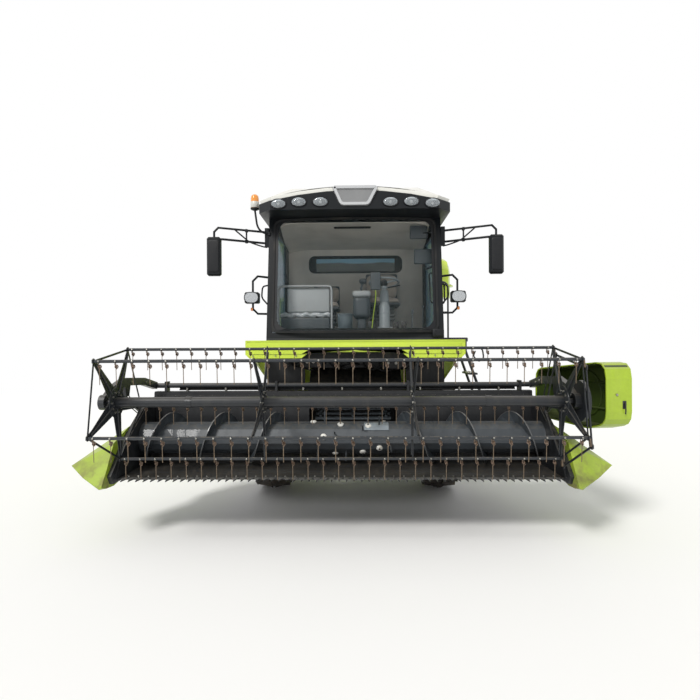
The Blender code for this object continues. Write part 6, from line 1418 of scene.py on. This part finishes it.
# Deck and ladder: chequered plate on a folded edge, round rails, and gripping teeth punched
# along each step, with a hand rail and a grab loop beside the platform.
wear(grey_paint, "platform_ladder")
chequer = Finish("chequer_plate", (0.12, 0.12, 0.125), 0.45, 0.6)
weave = (chequer.along("X") * 130.0).sine() * (chequer.along("Y") * 130.0).sine()
chequer.mottled(4.0, 6.0, 0.4, 0.72, (0.13, 0.13, 0.135), (0.2, 0.155, 0.1))
chequer = chequer.grained(weave.rising(0.35, 0.7), 0.003, 0.7).material
landing = block((1.085, -0.855, 2.0945), (1.415, 0.495, 2.101), 0.002, 1)
piece("landing_plate", landing, chequer)
LADDER_TOP, LADDER_FOOT = np.array((1.406, 1.934)), np.array((1.85, 0.66))
step_share = (np.arange(4) + 1) / 4.3
step_places = LADDER_TOP + (LADDER_FOOT - LADDER_TOP) * step_share[:, None]
tooth = turned([(0.01, 0.0), (0.0075, 0.006), (0.005, 0.006), (0.004, 0.0)], (0, 0, 0), 2, 10)
teeth = np.concatenate(
    [
        grid_of([x - 0.032, x, x + 0.032], np.linspace(-0.74, -0.34, 9), [z + 0.012])
        for x, z in step_places
    ]
)
piece("step_teeth", many(tooth, teeth), zinc)
hand_rail = joined(
    pipe(
        [(1.125, 0.465, 2.06), (1.125, 0.465, 2.98), (1.405, 0.465, 2.98), (1.405, 0.465, 2.06)],
        0.014, 10, 0.1,
    ),
    pipe([(1.125, 0.465, 2.52), (1.405, 0.465, 2.52)], 0.011, 8),
)
piece("landing_hand_rails", hand_rail, grey_paint)
grab_loop = joined(
    pipe(
        [(1.44, -0.82, 1.96), (1.6, -0.86, 1.97), (1.62, -0.86, 1.83), (1.56, -0.84, 1.8)], 0.01, 8,
        0.05,
    ),
    pipe([(1.52, -0.83, 1.93), (1.5, -0.8, 1.86), (1.56, -0.84, 1.8)], 0.009, 8, 0.03),
)
piece("ladder_grab_loop", grab_loop, grey_paint)
lower_box = joined(
    block((0.93, -1.185, 2.1), (1.07, -1.125, 2.2), 0.012, 2),
    block((0.96, -1.19, 2.115), (1.04, -1.18, 2.185), 0.004, 1),
)
piece("corner_junction_box", lower_box, moulded)


# Fascia: one long pressed lime panel under the screen, creased along its length, with side
# wings over the wheels; behind it hang the hoses, valve block and looms of the drive bay.
wear(lime_paint, "fascia")
fascia_outline = np.array(
    [
        (-1.27, 1.905), (-0.66, 1.905), (-0.56, 1.965), (0.56, 1.965), (0.66, 1.905), (1.27, 1.905),
        (1.27, 2.03), (-1.27, 2.03),
    ]
)
fascia_lines = divided(fascia_outline, 4)
raised = pressed(fascia_lines, 1, 0.0, 0.012, 0.02)
raised = moved(raised, (0, -1.239, 0), FORWARD)
piece("fascia_pressing", raised, lime_paint)
lip = carried(
    [(-1.305, -1.243, 2.062), (1.305, -1.243, 2.062)],
    [(-0.01, -0.008), (0.004, -0.008), (0.004, 0.006), (-0.01, 0.006)],
)
piece("fascia_top_lip", lip, lime_paint)
fascia_bolts = many(
    bolts(1, 0.009, -0.007), [(x, -1.246, 1.885) for x in (-1.22, -0.95, -0.7, 0.7, 0.95, 1.22)],
)
piece("fascia_bolts", fascia_bolts, zinc)
skirt_seal = carried(
    [(-1.1, -1.16, 1.92), (1.1, -1.16, 1.92)],
    [(-0.02, -0.1), (0.0, -0.1), (0.0, 0.0), (-0.02, 0.0)],
)
piece("fascia_rubber_skirt", skirt_seal, black_rubber)
arc_t = np.linspace(0, 1, 24)


def hanging(start, end, sag, radius, sides=8):
    """A hose held at both ends: a straight line lowered by 4 s t (1 - t)."""
    start, end = np.asarray(start, float), np.asarray(end, float)
    path = start + (end - start) * arc_t[:, None] - np.outer(
        4 * sag * arc_t * (1 - arc_t), (0, 0, 1),
    )
    return carried(path, ring(radius, sides), (0.31, 0.17, 0.93))


bay_hoses = joined(
    *[
        hanging((x, -1.0, 1.92), (x + dx, -0.66, 1.8), sag * 0.7, radius)
        for x, dx, sag, radius in (
            (-0.92, 0.3, 0.16, 0.014), (-0.8, 0.42, 0.22, 0.011), (-0.62, -0.22, 0.14, 0.016),
            (-0.4, 0.3, 0.18, 0.012), (-0.22, 0.34, 0.12, 0.014), (0.05, -0.3, 0.2, 0.011),
            (0.24, 0.26, 0.15, 0.016), (0.42, -0.34, 0.22, 0.012), (0.6, 0.24, 0.13, 0.014),
            (0.78, -0.28, 0.2, 0.011), (0.93, -0.16, 0.16, 0.014), (0.1, 0.5, 0.25, 0.01),
        )
    ]
)
piece("drive_bay_hoses", bay_hoses, black_rubber)
bay_plate = plate(
    [
        (-1.16, 1.44), (-0.66, 1.44), (-0.66, 1.72), (0.66, 1.72), (0.66, 1.44), (1.16, 1.44),
        (1.16, 2.02), (-1.16, 2.02),
    ],
    1, -0.64, -0.62,
)
bay_blocks = joined(
    block((-0.7, -0.76, 1.72), (-0.42, -0.64, 1.9), 0.02, 2),
    block((0.34, -0.78, 1.7), (0.72, -0.64, 1.88), 0.02, 2),
    block((-0.16, -0.74, 1.76), (0.1, -0.64, 1.94), 0.015, 2),
    *[drum(0.06, 0.03, (x, -0.7, 1.8), 1, 20) for x in (0.9, -0.9)],
)
piece("drive_bay_back", bay_plate, dark_steel)
piece("drive_bay_valves", bay_blocks, dark_steel)
unions = joined(
    *[
        turned(
            [(0, -0.014), (0.02, -0.014), (0.022, 0), (0.02, 0.014), (0, 0.014)], (x, -0.772, z), 1,
            6,
        )
        for x, z in (
            (-0.62, 1.8), (-0.54, 1.8), (0.42, 1.78), (0.52, 1.78), (0.62, 1.78), (-0.03, 1.84),
        )
    ]
)
piece("drive_bay_unions", unions, zinc)


# Feeder house and header frame: a box conveyor with its slatted chain and a folded trough,
# under dark grey paint darkened to near-black as painted shade, which the crop rubs bright,
# with straw dust along the ledges.
HEADER_X = -0.16


def rubbed(name, color, polish):
    """Grey paint that the crop has polished: where the noise drawn out across the trough is
    high and the surface is low, the bare steel shows, brighter and more metallic."""
    made = Finish(name, color, 0.45, Coat_Weight=0.1)
    sweep = made.noise(3.0, 6.0, 0.65, stretch=(0.5, 1.6, 1.6))
    low = (1.22 - made.along("Z")).rising(0.0, 0.4)
    bare = sweep.rising(0.46, 0.6) * low * polish
    dust = made.facing("Z").rising(0.5, 0.95) * made.noise(22.0, 5.0, 0.7).rising(0.4, 0.62) * 0.7
    grit = made.noise(70.0, 4.0, 0.7).rising(0.62, 0.72) * 0.5
    tone = made.mixed(bare, color, (0.085, 0.092, 0.098))
    tone = made.mixed((dust * 0.3 + grit * 0.2).least(1.0), tone, (0.24, 0.2, 0.13))
    made.feed(Base_Color=tone, Metallic=bare * 0.8, Roughness=dust * 0.35 + 0.48 - bare * 0.15)
    made.grained(sweep, 0.003, 0.25, made.bump(made.noise(240.0, 1.0), 0.0005, 0.3))
    return made.material


# The trough's paint is near-black, darker than the header's anthracite: painted shade of the
# trough's shaded inside, laid on the whole header frame and feeder house.
trough_shaded_paint = rubbed("trough_shaded_paint", (0.009, 0.01, 0.012), 0.35)
auger_paint = rubbed("auger_paint", (0.04, 0.048, 0.056), 0.75)
knife_steel = rubbed("knife_steel", (0.026, 0.026, 0.027), 0.8)
wear(trough_shaded_paint, "header_frame", "feeder_house")
wear(auger_paint, "header_auger")
wear(knife_steel, "cutterbar")
# The dividers and the drive cover take the shaded lime: painted shade.
wear(lime_shaded_dusty, "divider_left", "divider_right", "drive_cover")
TROUGH_BACK = -1.132
back_bolts = many(
    bolts(1, 0.01, -0.008),
    grid_of(HEADER_X + np.linspace(-2.18, 2.18, 30), [TROUGH_BACK - 0.001], [1.4]),
)
feet = many(bolts(2, 0.01, 0.008), grid_of(HEADER_X + np.linspace(-2.2, 2.2, 44), [-2.02], [0.64]))
piece("trough_bolts", joined(back_bolts, feet), zinc, "header")
strip = carried(
    [(HEADER_X - 2.28, -1.138, 1.36), (HEADER_X + 2.28, -1.138, 1.36)],
    [(-0.006, -0.05), (0.006, -0.045), (0.006, 0.045), (-0.006, 0.05)],
)
piece("trough_crop_strip", strip, trough_shaded_paint, "header")
mouth_edge = carried(
    bent(
        [(-0.575, -1.14, 0.7), (-0.575, -1.14, 1.265), (0.515, -1.14, 1.265), (0.515, -1.14, 0.7)],
        0.03,
    ),
    bar_outline(0.016, -0.006, 0.016, 0.006), rise=(0, -1, 0),
)
piece("feeder_mouth_edge", mouth_edge, trough_shaded_paint, "header")
pale_steel = rubbed("feeder_floor_steel", (0.23, 0.27, 0.3), 1.0)
chain_bar = carried(
    [(-0.5, 0, 0), (0.44, 0, 0)],
    [(-0.02, -0.012), (0.02, -0.012), (0.02, 0.004), (0.0, 0.018), (-0.02, 0.004)],
)
chain_line = np.linspace(0, 1, 6)
bars_up = many(
    chain_bar, np.stack([0 * chain_line, -0.95 + 0.62 * chain_line, 1.1 + 0.22 * chain_line], -1),
)
link = block((-0.018, -0.06, -0.014), (0.018, 0.06, 0.014), 0.008, 1)
links = many(
    link,
    np.concatenate(
        [
            np.stack([0 * chain_line + x, -0.9 + 0.62 * chain_line, 1.13 + 0.22 * chain_line], -1)
            for x in (-0.44, -0.03, 0.38)
        ]
    ),
)
piece("feeder_chain", joined(bars_up, links), pale_steel, "header")
back_wall = plate([(-0.57, 0.72), (0.51, 0.72), (0.51, 1.25), (-0.57, 1.25)], 1, -0.62, -0.61)
piece("feeder_shadow_curtain", back_wall, dark_steel, "header")

side_bolts = many(
    bolts(0, 0.01, 0.008),
    [
        (HEADER_X + 2.325, y, z)
        for y, z in (
            (-1.2, 1.3), (-1.45, 1.2), (-1.7, 1.05), (-1.95, 0.85), (-2.12, 0.7), (-1.2, 0.72),
            (-1.6, 0.68),
        )
    ],
)
piece("side_sheet_bolts", pair(side_bolts, HEADER_X), zinc, "header")
# Thin plates in the trough's near-black paint inside each end sheet: painted shade.
inner_panel = np.array(
    [(-2.16, 0.66), (-1.98, 0.94), (-1.36, 1.32), (-1.16, 1.34), (-1.16, 1.0), (-1.7, 0.66)]
)
dark_panel = plate(inner_panel, 0, HEADER_X + 2.272, HEADER_X + 2.2835)
piece("side_inner_panels", pair(dark_panel, HEADER_X), trough_shaded_paint, "header")
divider_rod = pipe(
    [(HEADER_X + 2.35, -2.21, 0.66), (HEADER_X + 2.37, -1.98, 0.86), (HEADER_X + 2.37, -1.6, 1.0)],
    0.01, 8, 0.06,
)
piece("divider_rods", pair(divider_rod, HEADER_X), grey_paint, "header")
BEAM_HOSE_Y = -1.075
HOSE_RUN = ((-2.0, 1.475), (0.4, 1.472), (1.6, 1.475), (2.1, 1.475))
beam_hose = joined(*[
    pipe([(HEADER_X + x, BEAM_HOSE_Y + dy, z + dz) for x, z in HOSE_RUN], 0.01, 8, 0.2)
    for dy, dz in ((0.0, 0.0), (0.024, 0.0), (0.012, 0.018))
])
piece("header_beam_hoses", beam_hose, black_rubber, "header")
clips = many(
    block((-0.012, -0.03, -0.012), (0.012, 0.05, 0.03), 0.006, 1),
    [(HEADER_X + x, BEAM_HOSE_Y, 1.47) for x in np.linspace(-1.9, 1.9, 9)],
)
piece("header_hose_clips", clips, zinc, "header")


# Cross auger: a rolled steel drum in worn grey paint, with a bare hatch welded on it and white
# nylon guides, pressed in where the feeding fingers pass through.
AUGER_AXIS_Y, AUGER_AXIS_Z, DRUM_R, FLIGHT_R = -1.45, 0.95, 0.18, 0.29
nylon = Finish("white_nylon", (0.74, 0.74, 0.7), 0.5)
nylon = nylon.mottled(30.0, 5.0, 0.45, 0.75, (0.76, 0.76, 0.72), (0.45, 0.4, 0.3)).material
guide = turned(
    [(0.012, 0.0), (0.034, 0.0), (0.036, 0.012), (0.026, 0.022), (0.012, 0.026)],
    (0, 0, DRUM_R - 0.006), 2, 14,
)
FINGERS = (
    (-0.86, 0.02), (-0.62, 0.22), (-0.38, 0.44), (-0.14, 0.64), (0.1, 0.86), (0.34, 0.1),
    (0.58, 0.34), (0.82, 0.56), (-0.74, 0.6), (-0.26, 0.08), (0.22, 0.4), (0.7, 0.9),
)
guides = [
    moved(spun(guide, 2 * math.pi * turn, 0), (-0.03 + share * 0.52, AUGER_AXIS_Y, AUGER_AXIS_Z))
    for share, turn in FINGERS
]
piece("finger_guides", joined(*guides), nylon, "auger")
hatch_t = np.linspace(-0.32, 0.32, 9) + math.radians(128)
hatch = np.stack(
    [
        np.stack(
            [
                0 * hatch_t + x, AUGER_AXIS_Y + (DRUM_R + lift) * np.cos(hatch_t),
                AUGER_AXIS_Z + (DRUM_R + lift) * np.sin(hatch_t),
            ],
            -1,
        )
        for x, lift in ((0.1, 0.0), (0.105, 0.006), (0.375, 0.006), (0.38, 0.0))
    ]
)
piece("drum_hatch", woven(hatch), pale_steel, "auger")


def flight_edge(side):
    """The bright rim of one hand of flight: a thin strip along the helix
    (R cos a, R sin a), a running once round per pitch of 0.6 m from the header's middle."""
    out = np.linspace(0.53, 2.222, 86)
    a = 2 * np.pi * out / 0.6
    path = np.stack(
        [
            HEADER_X + side * out, AUGER_AXIS_Y + (FLIGHT_R - 0.001) * np.cos(a),
            AUGER_AXIS_Z + (FLIGHT_R - 0.001) * np.sin(a),
        ],
        -1,
    )
    return carried(path, bar_outline(0.0035, -0.006, 0.0035, 0.006), rise=(1, 0, 0.001))


# Knife and flights: triangular sections of honed steel riveted to the knife bar over its
# guards, and the bright rims that the crop polishes on the auger's two hands of flight.
CUT_Z = 0.64
section = plate(
    [(-0.036, -2.075), (-0.012, -2.158), (0.012, -2.158), (0.036, -2.075)], 2, CUT_Z + 0.001,
    CUT_Z + 0.004,
)
KNIFE_PITCH = 0.0762
knife_places = [(HEADER_X + x, 0, 0) for x in np.arange(-29, 30) * KNIFE_PITCH]
knife = many(section, knife_places)
rivet = turned([(0.005, 0), (0.004, 0.003), (0, 0.004)], (0, -2.085, CUT_Z + 0.004), 2, 6)
rivets = many(rivet, knife_places)
bright_steel = painted("honed_steel", (0.12, 0.125, 0.13), 0.34, dust=0.2, worn=0.4)
piece("knife_sections", joined(knife, rivets), bright_steel, "header")
piece("flight_edges", joined(flight_edge(1), flight_edge(-1)), bright_steel, "auger")


# Reel: a painted tube with pressed spiders of five tapered arms, bars of painted tube, and
# spring steel tines, each coiled at its head and held by one bolt through the bar.
REEL_Y, REEL_Z, REEL_R, END_X = -2.33, 1.447, 0.582, 2.185
reel_paint = painted(
    "reel_grey_paint", (0.013, 0.016, 0.02), 0.4, dust=0.16, worn=0.25, bare=(0.12, 0.12, 0.12),
    coat=0.12, drift=0.08,
)
wear(reel_paint, "reel_core", "reel_eccentric", "reel_arms")
bar_spots = [HUBS[f"tine_bar_{k}_swing"] - MACHINE for k in range(1, 6)]


def bar_finish(number, place):
    """Paint within 18 mm of the bar's own axis, found from the distance across it, and
    browned spring steel beyond, where only the tines are."""
    made = Finish(f"tine_bar_finish_{number}", (0.05, 0.05, 0.05), 0.45)
    across = made.along("Y") - float(place[1] + MACHINE[1])
    up = made.along("Z") - float(place[2] + MACHINE[2])
    away = (across * across + up * up) ** 0.5
    steel = away.rising(0.0175, 0.0205)
    dust = made.facing("Z").rising(0.3, 0.9) * made.noise(30.0, 4.0, 0.7).rising(0.4, 0.65) * 0.18
    scuffed = made.noise(16.0, 5.0, 0.7).rising(0.6, 0.7) * 0.5
    rust = made.noise(55.0, 4.0, 0.6).rising(0.35, 0.7)
    paint = made.mixed(scuffed, made.mixed(dust, (0.018, 0.022, 0.027), DUST), (0.1, 0.1, 0.1))
    spring = made.mixed(rust, (0.11, 0.082, 0.056), (0.2, 0.15, 0.1))
    made.feed(
        Base_Color=made.mixed(steel, paint, spring), Metallic=steel * 0.45 + scuffed * 0.3,
        Roughness=rust * 0.15 + 0.4,
    )
    return made.grained(made.noise(240.0, 2.0), 0.0006, 0.35).material


for number, place in enumerate(bar_spots, 1):
    wear(bar_finish(number, place), f"tine_bar_{number}")
coil_steel = Finish("coil_spring_steel", (0.22, 0.16, 0.12), 0.28, 0.75)
coil_steel = coil_steel.mottled(
    60.0, 4.0, 0.35, 0.7, (0.3, 0.22, 0.17), (0.13, 0.09, 0.065),
).material
turns_t = np.linspace(0, 1, 19)
coil_angle = turns_t * 2 * np.pi * 2.5
coil_path = np.stack(
    [
        0.0045 - 0.016 + 0.026 * turns_t, 0.0135 * np.sin(coil_angle) + 0.004,
        -0.045 + 0.0135 * np.cos(coil_angle),
    ],
    -1,
)
coil_path = np.vstack([[-0.0115, 0.004, -0.012], coil_path, [0.002, 0.004, -0.07]])
coil = carried(coil_path, ring(0.0046, 4), rise=(1.0, 0.02, 0.03))
bolt_head = turned(
    [(0.0085, 0.0), (0.0085, -0.006), (0.005, -0.008), (0, -0.008)], (0, -0.0145, 0), 1, 6,
)
TINE_PITCH = 0.1524
tine_x = (np.arange(29) - 14) * TINE_PITCH
for number, place in enumerate(bar_spots, 1):
    spots = [(HEADER_X + x, place[1], place[2]) for x in tine_x]
    piece(f"tine_coils_{number}", many(coil, spots), coil_steel, f"tine_bar_{number}")
    piece(f"tine_bolts_{number}", many(bolt_head, spots), zinc, f"tine_bar_{number}")


def at_angles(shape, count, start=0.0):
    """A shape set round the reel's axis at even steps."""
    return joined(
        *[
            spun(shape, start + 2 * math.pi * k / count, 0, (0, REEL_Y, REEL_Z))
            for k in range(count)
        ]
    )


FIRST_BAR = math.atan2(bar_spots[0][2] - REEL_Z, bar_spots[0][1] - REEL_Y)
blade = [(0.055, 0.085), (0.055, -0.085), (REEL_R - 0.02, -0.022), (REEL_R - 0.02, 0.022)]


def on_arm(out, aside=0.0):
    """A point of the first arm: so far out along it from the reel's axis, and aside of it."""
    return (
        REEL_Y + out * math.cos(FIRST_BAR) - aside * math.sin(FIRST_BAR),
        REEL_Z + out * math.sin(FIRST_BAR) + aside * math.cos(FIRST_BAR),
    )


arm_blade = [on_arm(*corner) for corner in blade]
rib_line = [on_arm(out) for out in (0.07, 0.3, REEL_R - 0.04)]
for label, x, inward in (
    ("right", -END_X, 1), ("inner_right", -0.735, 1), ("inner_left", 0.735, -1),
    ("left", END_X, -1),
):
    here = HEADER_X + x
    face = sorted((here + inward * 0.0055, here + inward * 0.0085))
    sheet = at_angles(plate(arm_blade, 0, *face), 5)
    rib = at_angles(pipe([(here + inward * 0.01, *p) for p in rib_line], 0.01, 8, 0.01), 5)
    disc = turned(
        [(0.052, 0), (0.15, 0), (0.152, 0.004), (0.15, 0.008), (0.052, 0.008)],
        (here + inward * 0.009 - 0.004, REEL_Y, REEL_Z), 0, 32,
    )
    hub_bolts = at_angles(
        drum(0.011, 0.014, (here + inward * 0.009, REEL_Y + 0.1, REEL_Z), 0, 6), 10,
    )
    piece(f"spider_arms_{label}", joined(sheet, rib, disc), reel_paint, "reel")
    piece(f"spider_bolts_{label}", hub_bolts, zinc, "reel")
tube_bands = joined(
    *[
        sleeve(0.052, 0.0545, 0.03, (HEADER_X + x, REEL_Y, REEL_Z), 0, 24)
        for x in (-1.46, -0.05, 1.46)
    ]
)
piece("reel_tube_joints", tube_bands, reel_paint, "reel")
arm_bolts = joined(
    *[
        drum(0.012, 0.037, (side * 2.3 + HEADER_X, y, z), 0, 6)
        for side in (-1, 1)
        for y, z in ((-1.3, 1.563), (-1.42, 1.592), (-1.8, 1.618), (-2.05, 1.592), (-2.28, 1.5))
    ]
)
piece("reel_arm_bolts", arm_bolts, zinc, "arms")


# Drive cover: its inner side is a very dark green, painted shade under the hinged tray, with
# a pressed ring, two long stiffeners, and the latch and a bolt at the front edge.
COVER_HINGE, COVER_AJAR = np.array((2.25, -0.87, 0.0)), math.radians(8)
RING_Y, RING_Z, RING_R = -1.62, 1.46, 0.24


def on_cover(name, shape, finish):
    """A piece drawn on the shut cover and turned about its hinge to where it stands ajar."""
    return piece(name, spun(shape, COVER_AJAR, 2, COVER_HINGE), finish, "cover")


# The lining's near-black green is painted shade for the cover's shaded inner side, with real dust
# and mud over it.
cover_shaded_green = painted(
    "cover_inside_shaded_green", (0.035, 0.062, 0.006), 0.5, dust=0.15, mud=0.3, coat=0.1,
)
corners = [
    (0, -1.5, 1.14), (0, -0.902, 1.14), (0, -0.902, 1.695), (0, -2.296, 1.815), (0, -2.296, 1.222),
    (0, -1.99, 1.14), (0, -1.5, 1.14),
]
cover_loop = bent(corners, 0.13, 6)[:-1, 1:]
cover_middle = cover_loop.mean(0)
smaller = cover_middle + (cover_loop - cover_middle) * (0.982, 0.97)
lining = joined(plate(cover_loop, 0, 2.5015, 2.5055), framed(cover_loop, smaller, 0, 2.262, 0.24))
stiffeners = joined(
    *[pipe([(2.497, -2.15, z), (2.497, -1.05, z - 0.03)], 0.012, 8) for z in (1.32, 1.6)]
)
ring_turn = np.linspace(0, 2 * np.pi, 41)
ring_rib = carried(
    np.column_stack(
        [
            np.full(41, 2.498), RING_Y + RING_R * np.cos(ring_turn),
            RING_Z + RING_R * np.sin(ring_turn),
        ]
    ),
    ring(0.01, 8), rise=(1, 0, 0),
)
on_cover(
    "cover_inner_lining", joined(lining, stiffeners, ring_rib), cover_shaded_green,
)
latch = joined(
    block((2.42, -2.316, 1.36), (2.46, -2.306, 1.44), 0.004, 1),
    pipe([(2.44, -2.32, 1.42), (2.44, -2.332, 1.36), (2.44, -2.326, 1.31)], 0.006, 8, 0.02),
)
on_cover("cover_latch", latch, dark_steel)
cover_bolt = many(bolts(1, 0.014, -0.01), [(2.36, -2.31, 1.5)])
on_cover("cover_front_bolt", cover_bolt, zinc)


# Drives under the cover: dark cast sheaves with turned grooves on the header's left end, and
# the wrapped belts that join them.
sheave_iron = painted(
    "sheave_iron", (0.014, 0.015, 0.017), 0.45, dust=0.15, worn=0.25, bare=(0.16, 0.16, 0.16),
    coat=0.05,
)
SHEAVE_X = HEADER_X + 2.352
sheaves = ((-1.45, 0.95, 0.13), (-1.28, 1.22, 0.085))


def grooved(radius, y, z):
    """A sheave turned about X: a rim with two V grooves, a thin web and a hub."""
    rim = [
        (radius - 0.016, -0.02), (radius, -0.02), (radius - 0.01, -0.012), (radius, -0.004),
        (radius, 0.004), (radius - 0.01, 0.012), (radius, 0.02), (radius - 0.016, 0.02),
    ]
    web = [(radius - 0.016, 0.004), (0.03, 0.004), (0.03, 0.022), (0, 0.022)]
    return turned(
        [(0, -0.022), (0.03, -0.022), (0.03, -0.004), (radius - 0.016, -0.004)] + rim + web,
        (SHEAVE_X, y, z), 0, 36,
    )


piece(
    "header_sheaves", joined(*[grooved(r, y, z) for y, z, r in sheaves]), sheave_iron,
    "header",
)
(y_a, z_a, r_a), (y_b, z_b, r_b) = sheaves
run_angle = math.atan2(z_b - z_a, y_b - y_a)
split = math.acos((r_a - r_b) / math.hypot(y_b - y_a, z_b - z_a))
round_a = run_angle + np.linspace(split, 2 * np.pi - split, 24)
round_b = run_angle + np.linspace(-split, split, 16)
belt_y = np.concatenate(
    [y_a + (r_a - 0.003) * np.cos(round_a), y_b + (r_b - 0.003) * np.cos(round_b)]
)
belt_z = np.concatenate(
    [z_a + (r_a - 0.003) * np.sin(round_a), z_b + (r_b - 0.003) * np.sin(round_b)]
)
belt_line = np.stack([np.full(len(belt_y), SHEAVE_X), belt_y, belt_z], -1)
belt = carried(loop(belt_line), bar_outline(0.006, -0.005, 0.008, 0.006), rise=(1, 0, 0))
piece(
    "header_drive_belts", joined(*[moved(belt, (side * 0.0115, 0, 0)) for side in (-1, 1)]),
    black_rubber, "header",
)


# Hydraulic cylinders: black welded barrels with a gland nut where the chromed rod comes out,
# and a port with its elbow union near each end.
barrel_paint = painted(
    "barrel_paint", (0.012, 0.013, 0.015), 0.36, dust=0.15, mud=0.4, worn=0.15,
    bare=(0.12, 0.12, 0.12), coat=0.2,
)
rod_chrome = Finish("chromed_rod", (0.6, 0.61, 0.62), 0.12, 1.0)
oil_film = rod_chrome.noise(9.0, 5.0, 0.6).rising(0.5, 0.8)
rod_chrome = rod_chrome.feed(
    Base_Color=rod_chrome.mixed(oil_film, (0.62, 0.63, 0.64), (0.3, 0.28, 0.24)),
    Roughness=oil_film * 0.3 + 0.1,
).material
for kind, rod_eye, length, radius in (
    ("lift", (-0.75, 0.78), 0.62, 0.038), ("reel", (-1.85, 1.5), 0.48, 0.03),
):
    for hand in ("left", "right"):
        name = f"{kind}_cylinder_{hand}"
        wear(barrel_paint, f"{name}_barrel")
        wear(rod_chrome, f"{name}_rod")
        eye = HUBS[f"{name}_hinge"] - MACHINE
        lean = math.atan2(rod_eye[1] - eye[2], rod_eye[0] - eye[1])
        gland = turned(
            [
                (radius + 0.0005, 0.0), (radius + 0.005, 0.002), (radius + 0.005, 0.03),
                (radius + 0.0005, 0.033),
            ],
            (0, length - 0.04, 0), 1, 8,
        )
        ports = many(
            turned(
                [(0, -0.01), (0.012, -0.01), (0.012, 0.014), (0.009, 0.016), (0, 0.016)], (0, 0, 0),
                2, 6,
            ),
            [(0, 0.1, radius + 0.008), (0, length - 0.075, radius + 0.008)],
        )
        line = pipe(
            [
                (0, 0.1, radius + 0.02), (0, 0.13, radius + 0.026),
                (0, length - 0.105, radius + 0.026), (0, length - 0.075, radius + 0.02),
            ],
            0.006, 8, 0.02,
        )
        dress = spun(joined(gland, ports, line), lean, 0)
        piece(
            f"{name}_gland", moved(dress, eye), barrel_paint,
            f"{kind}_barrel_{hand}",
        )
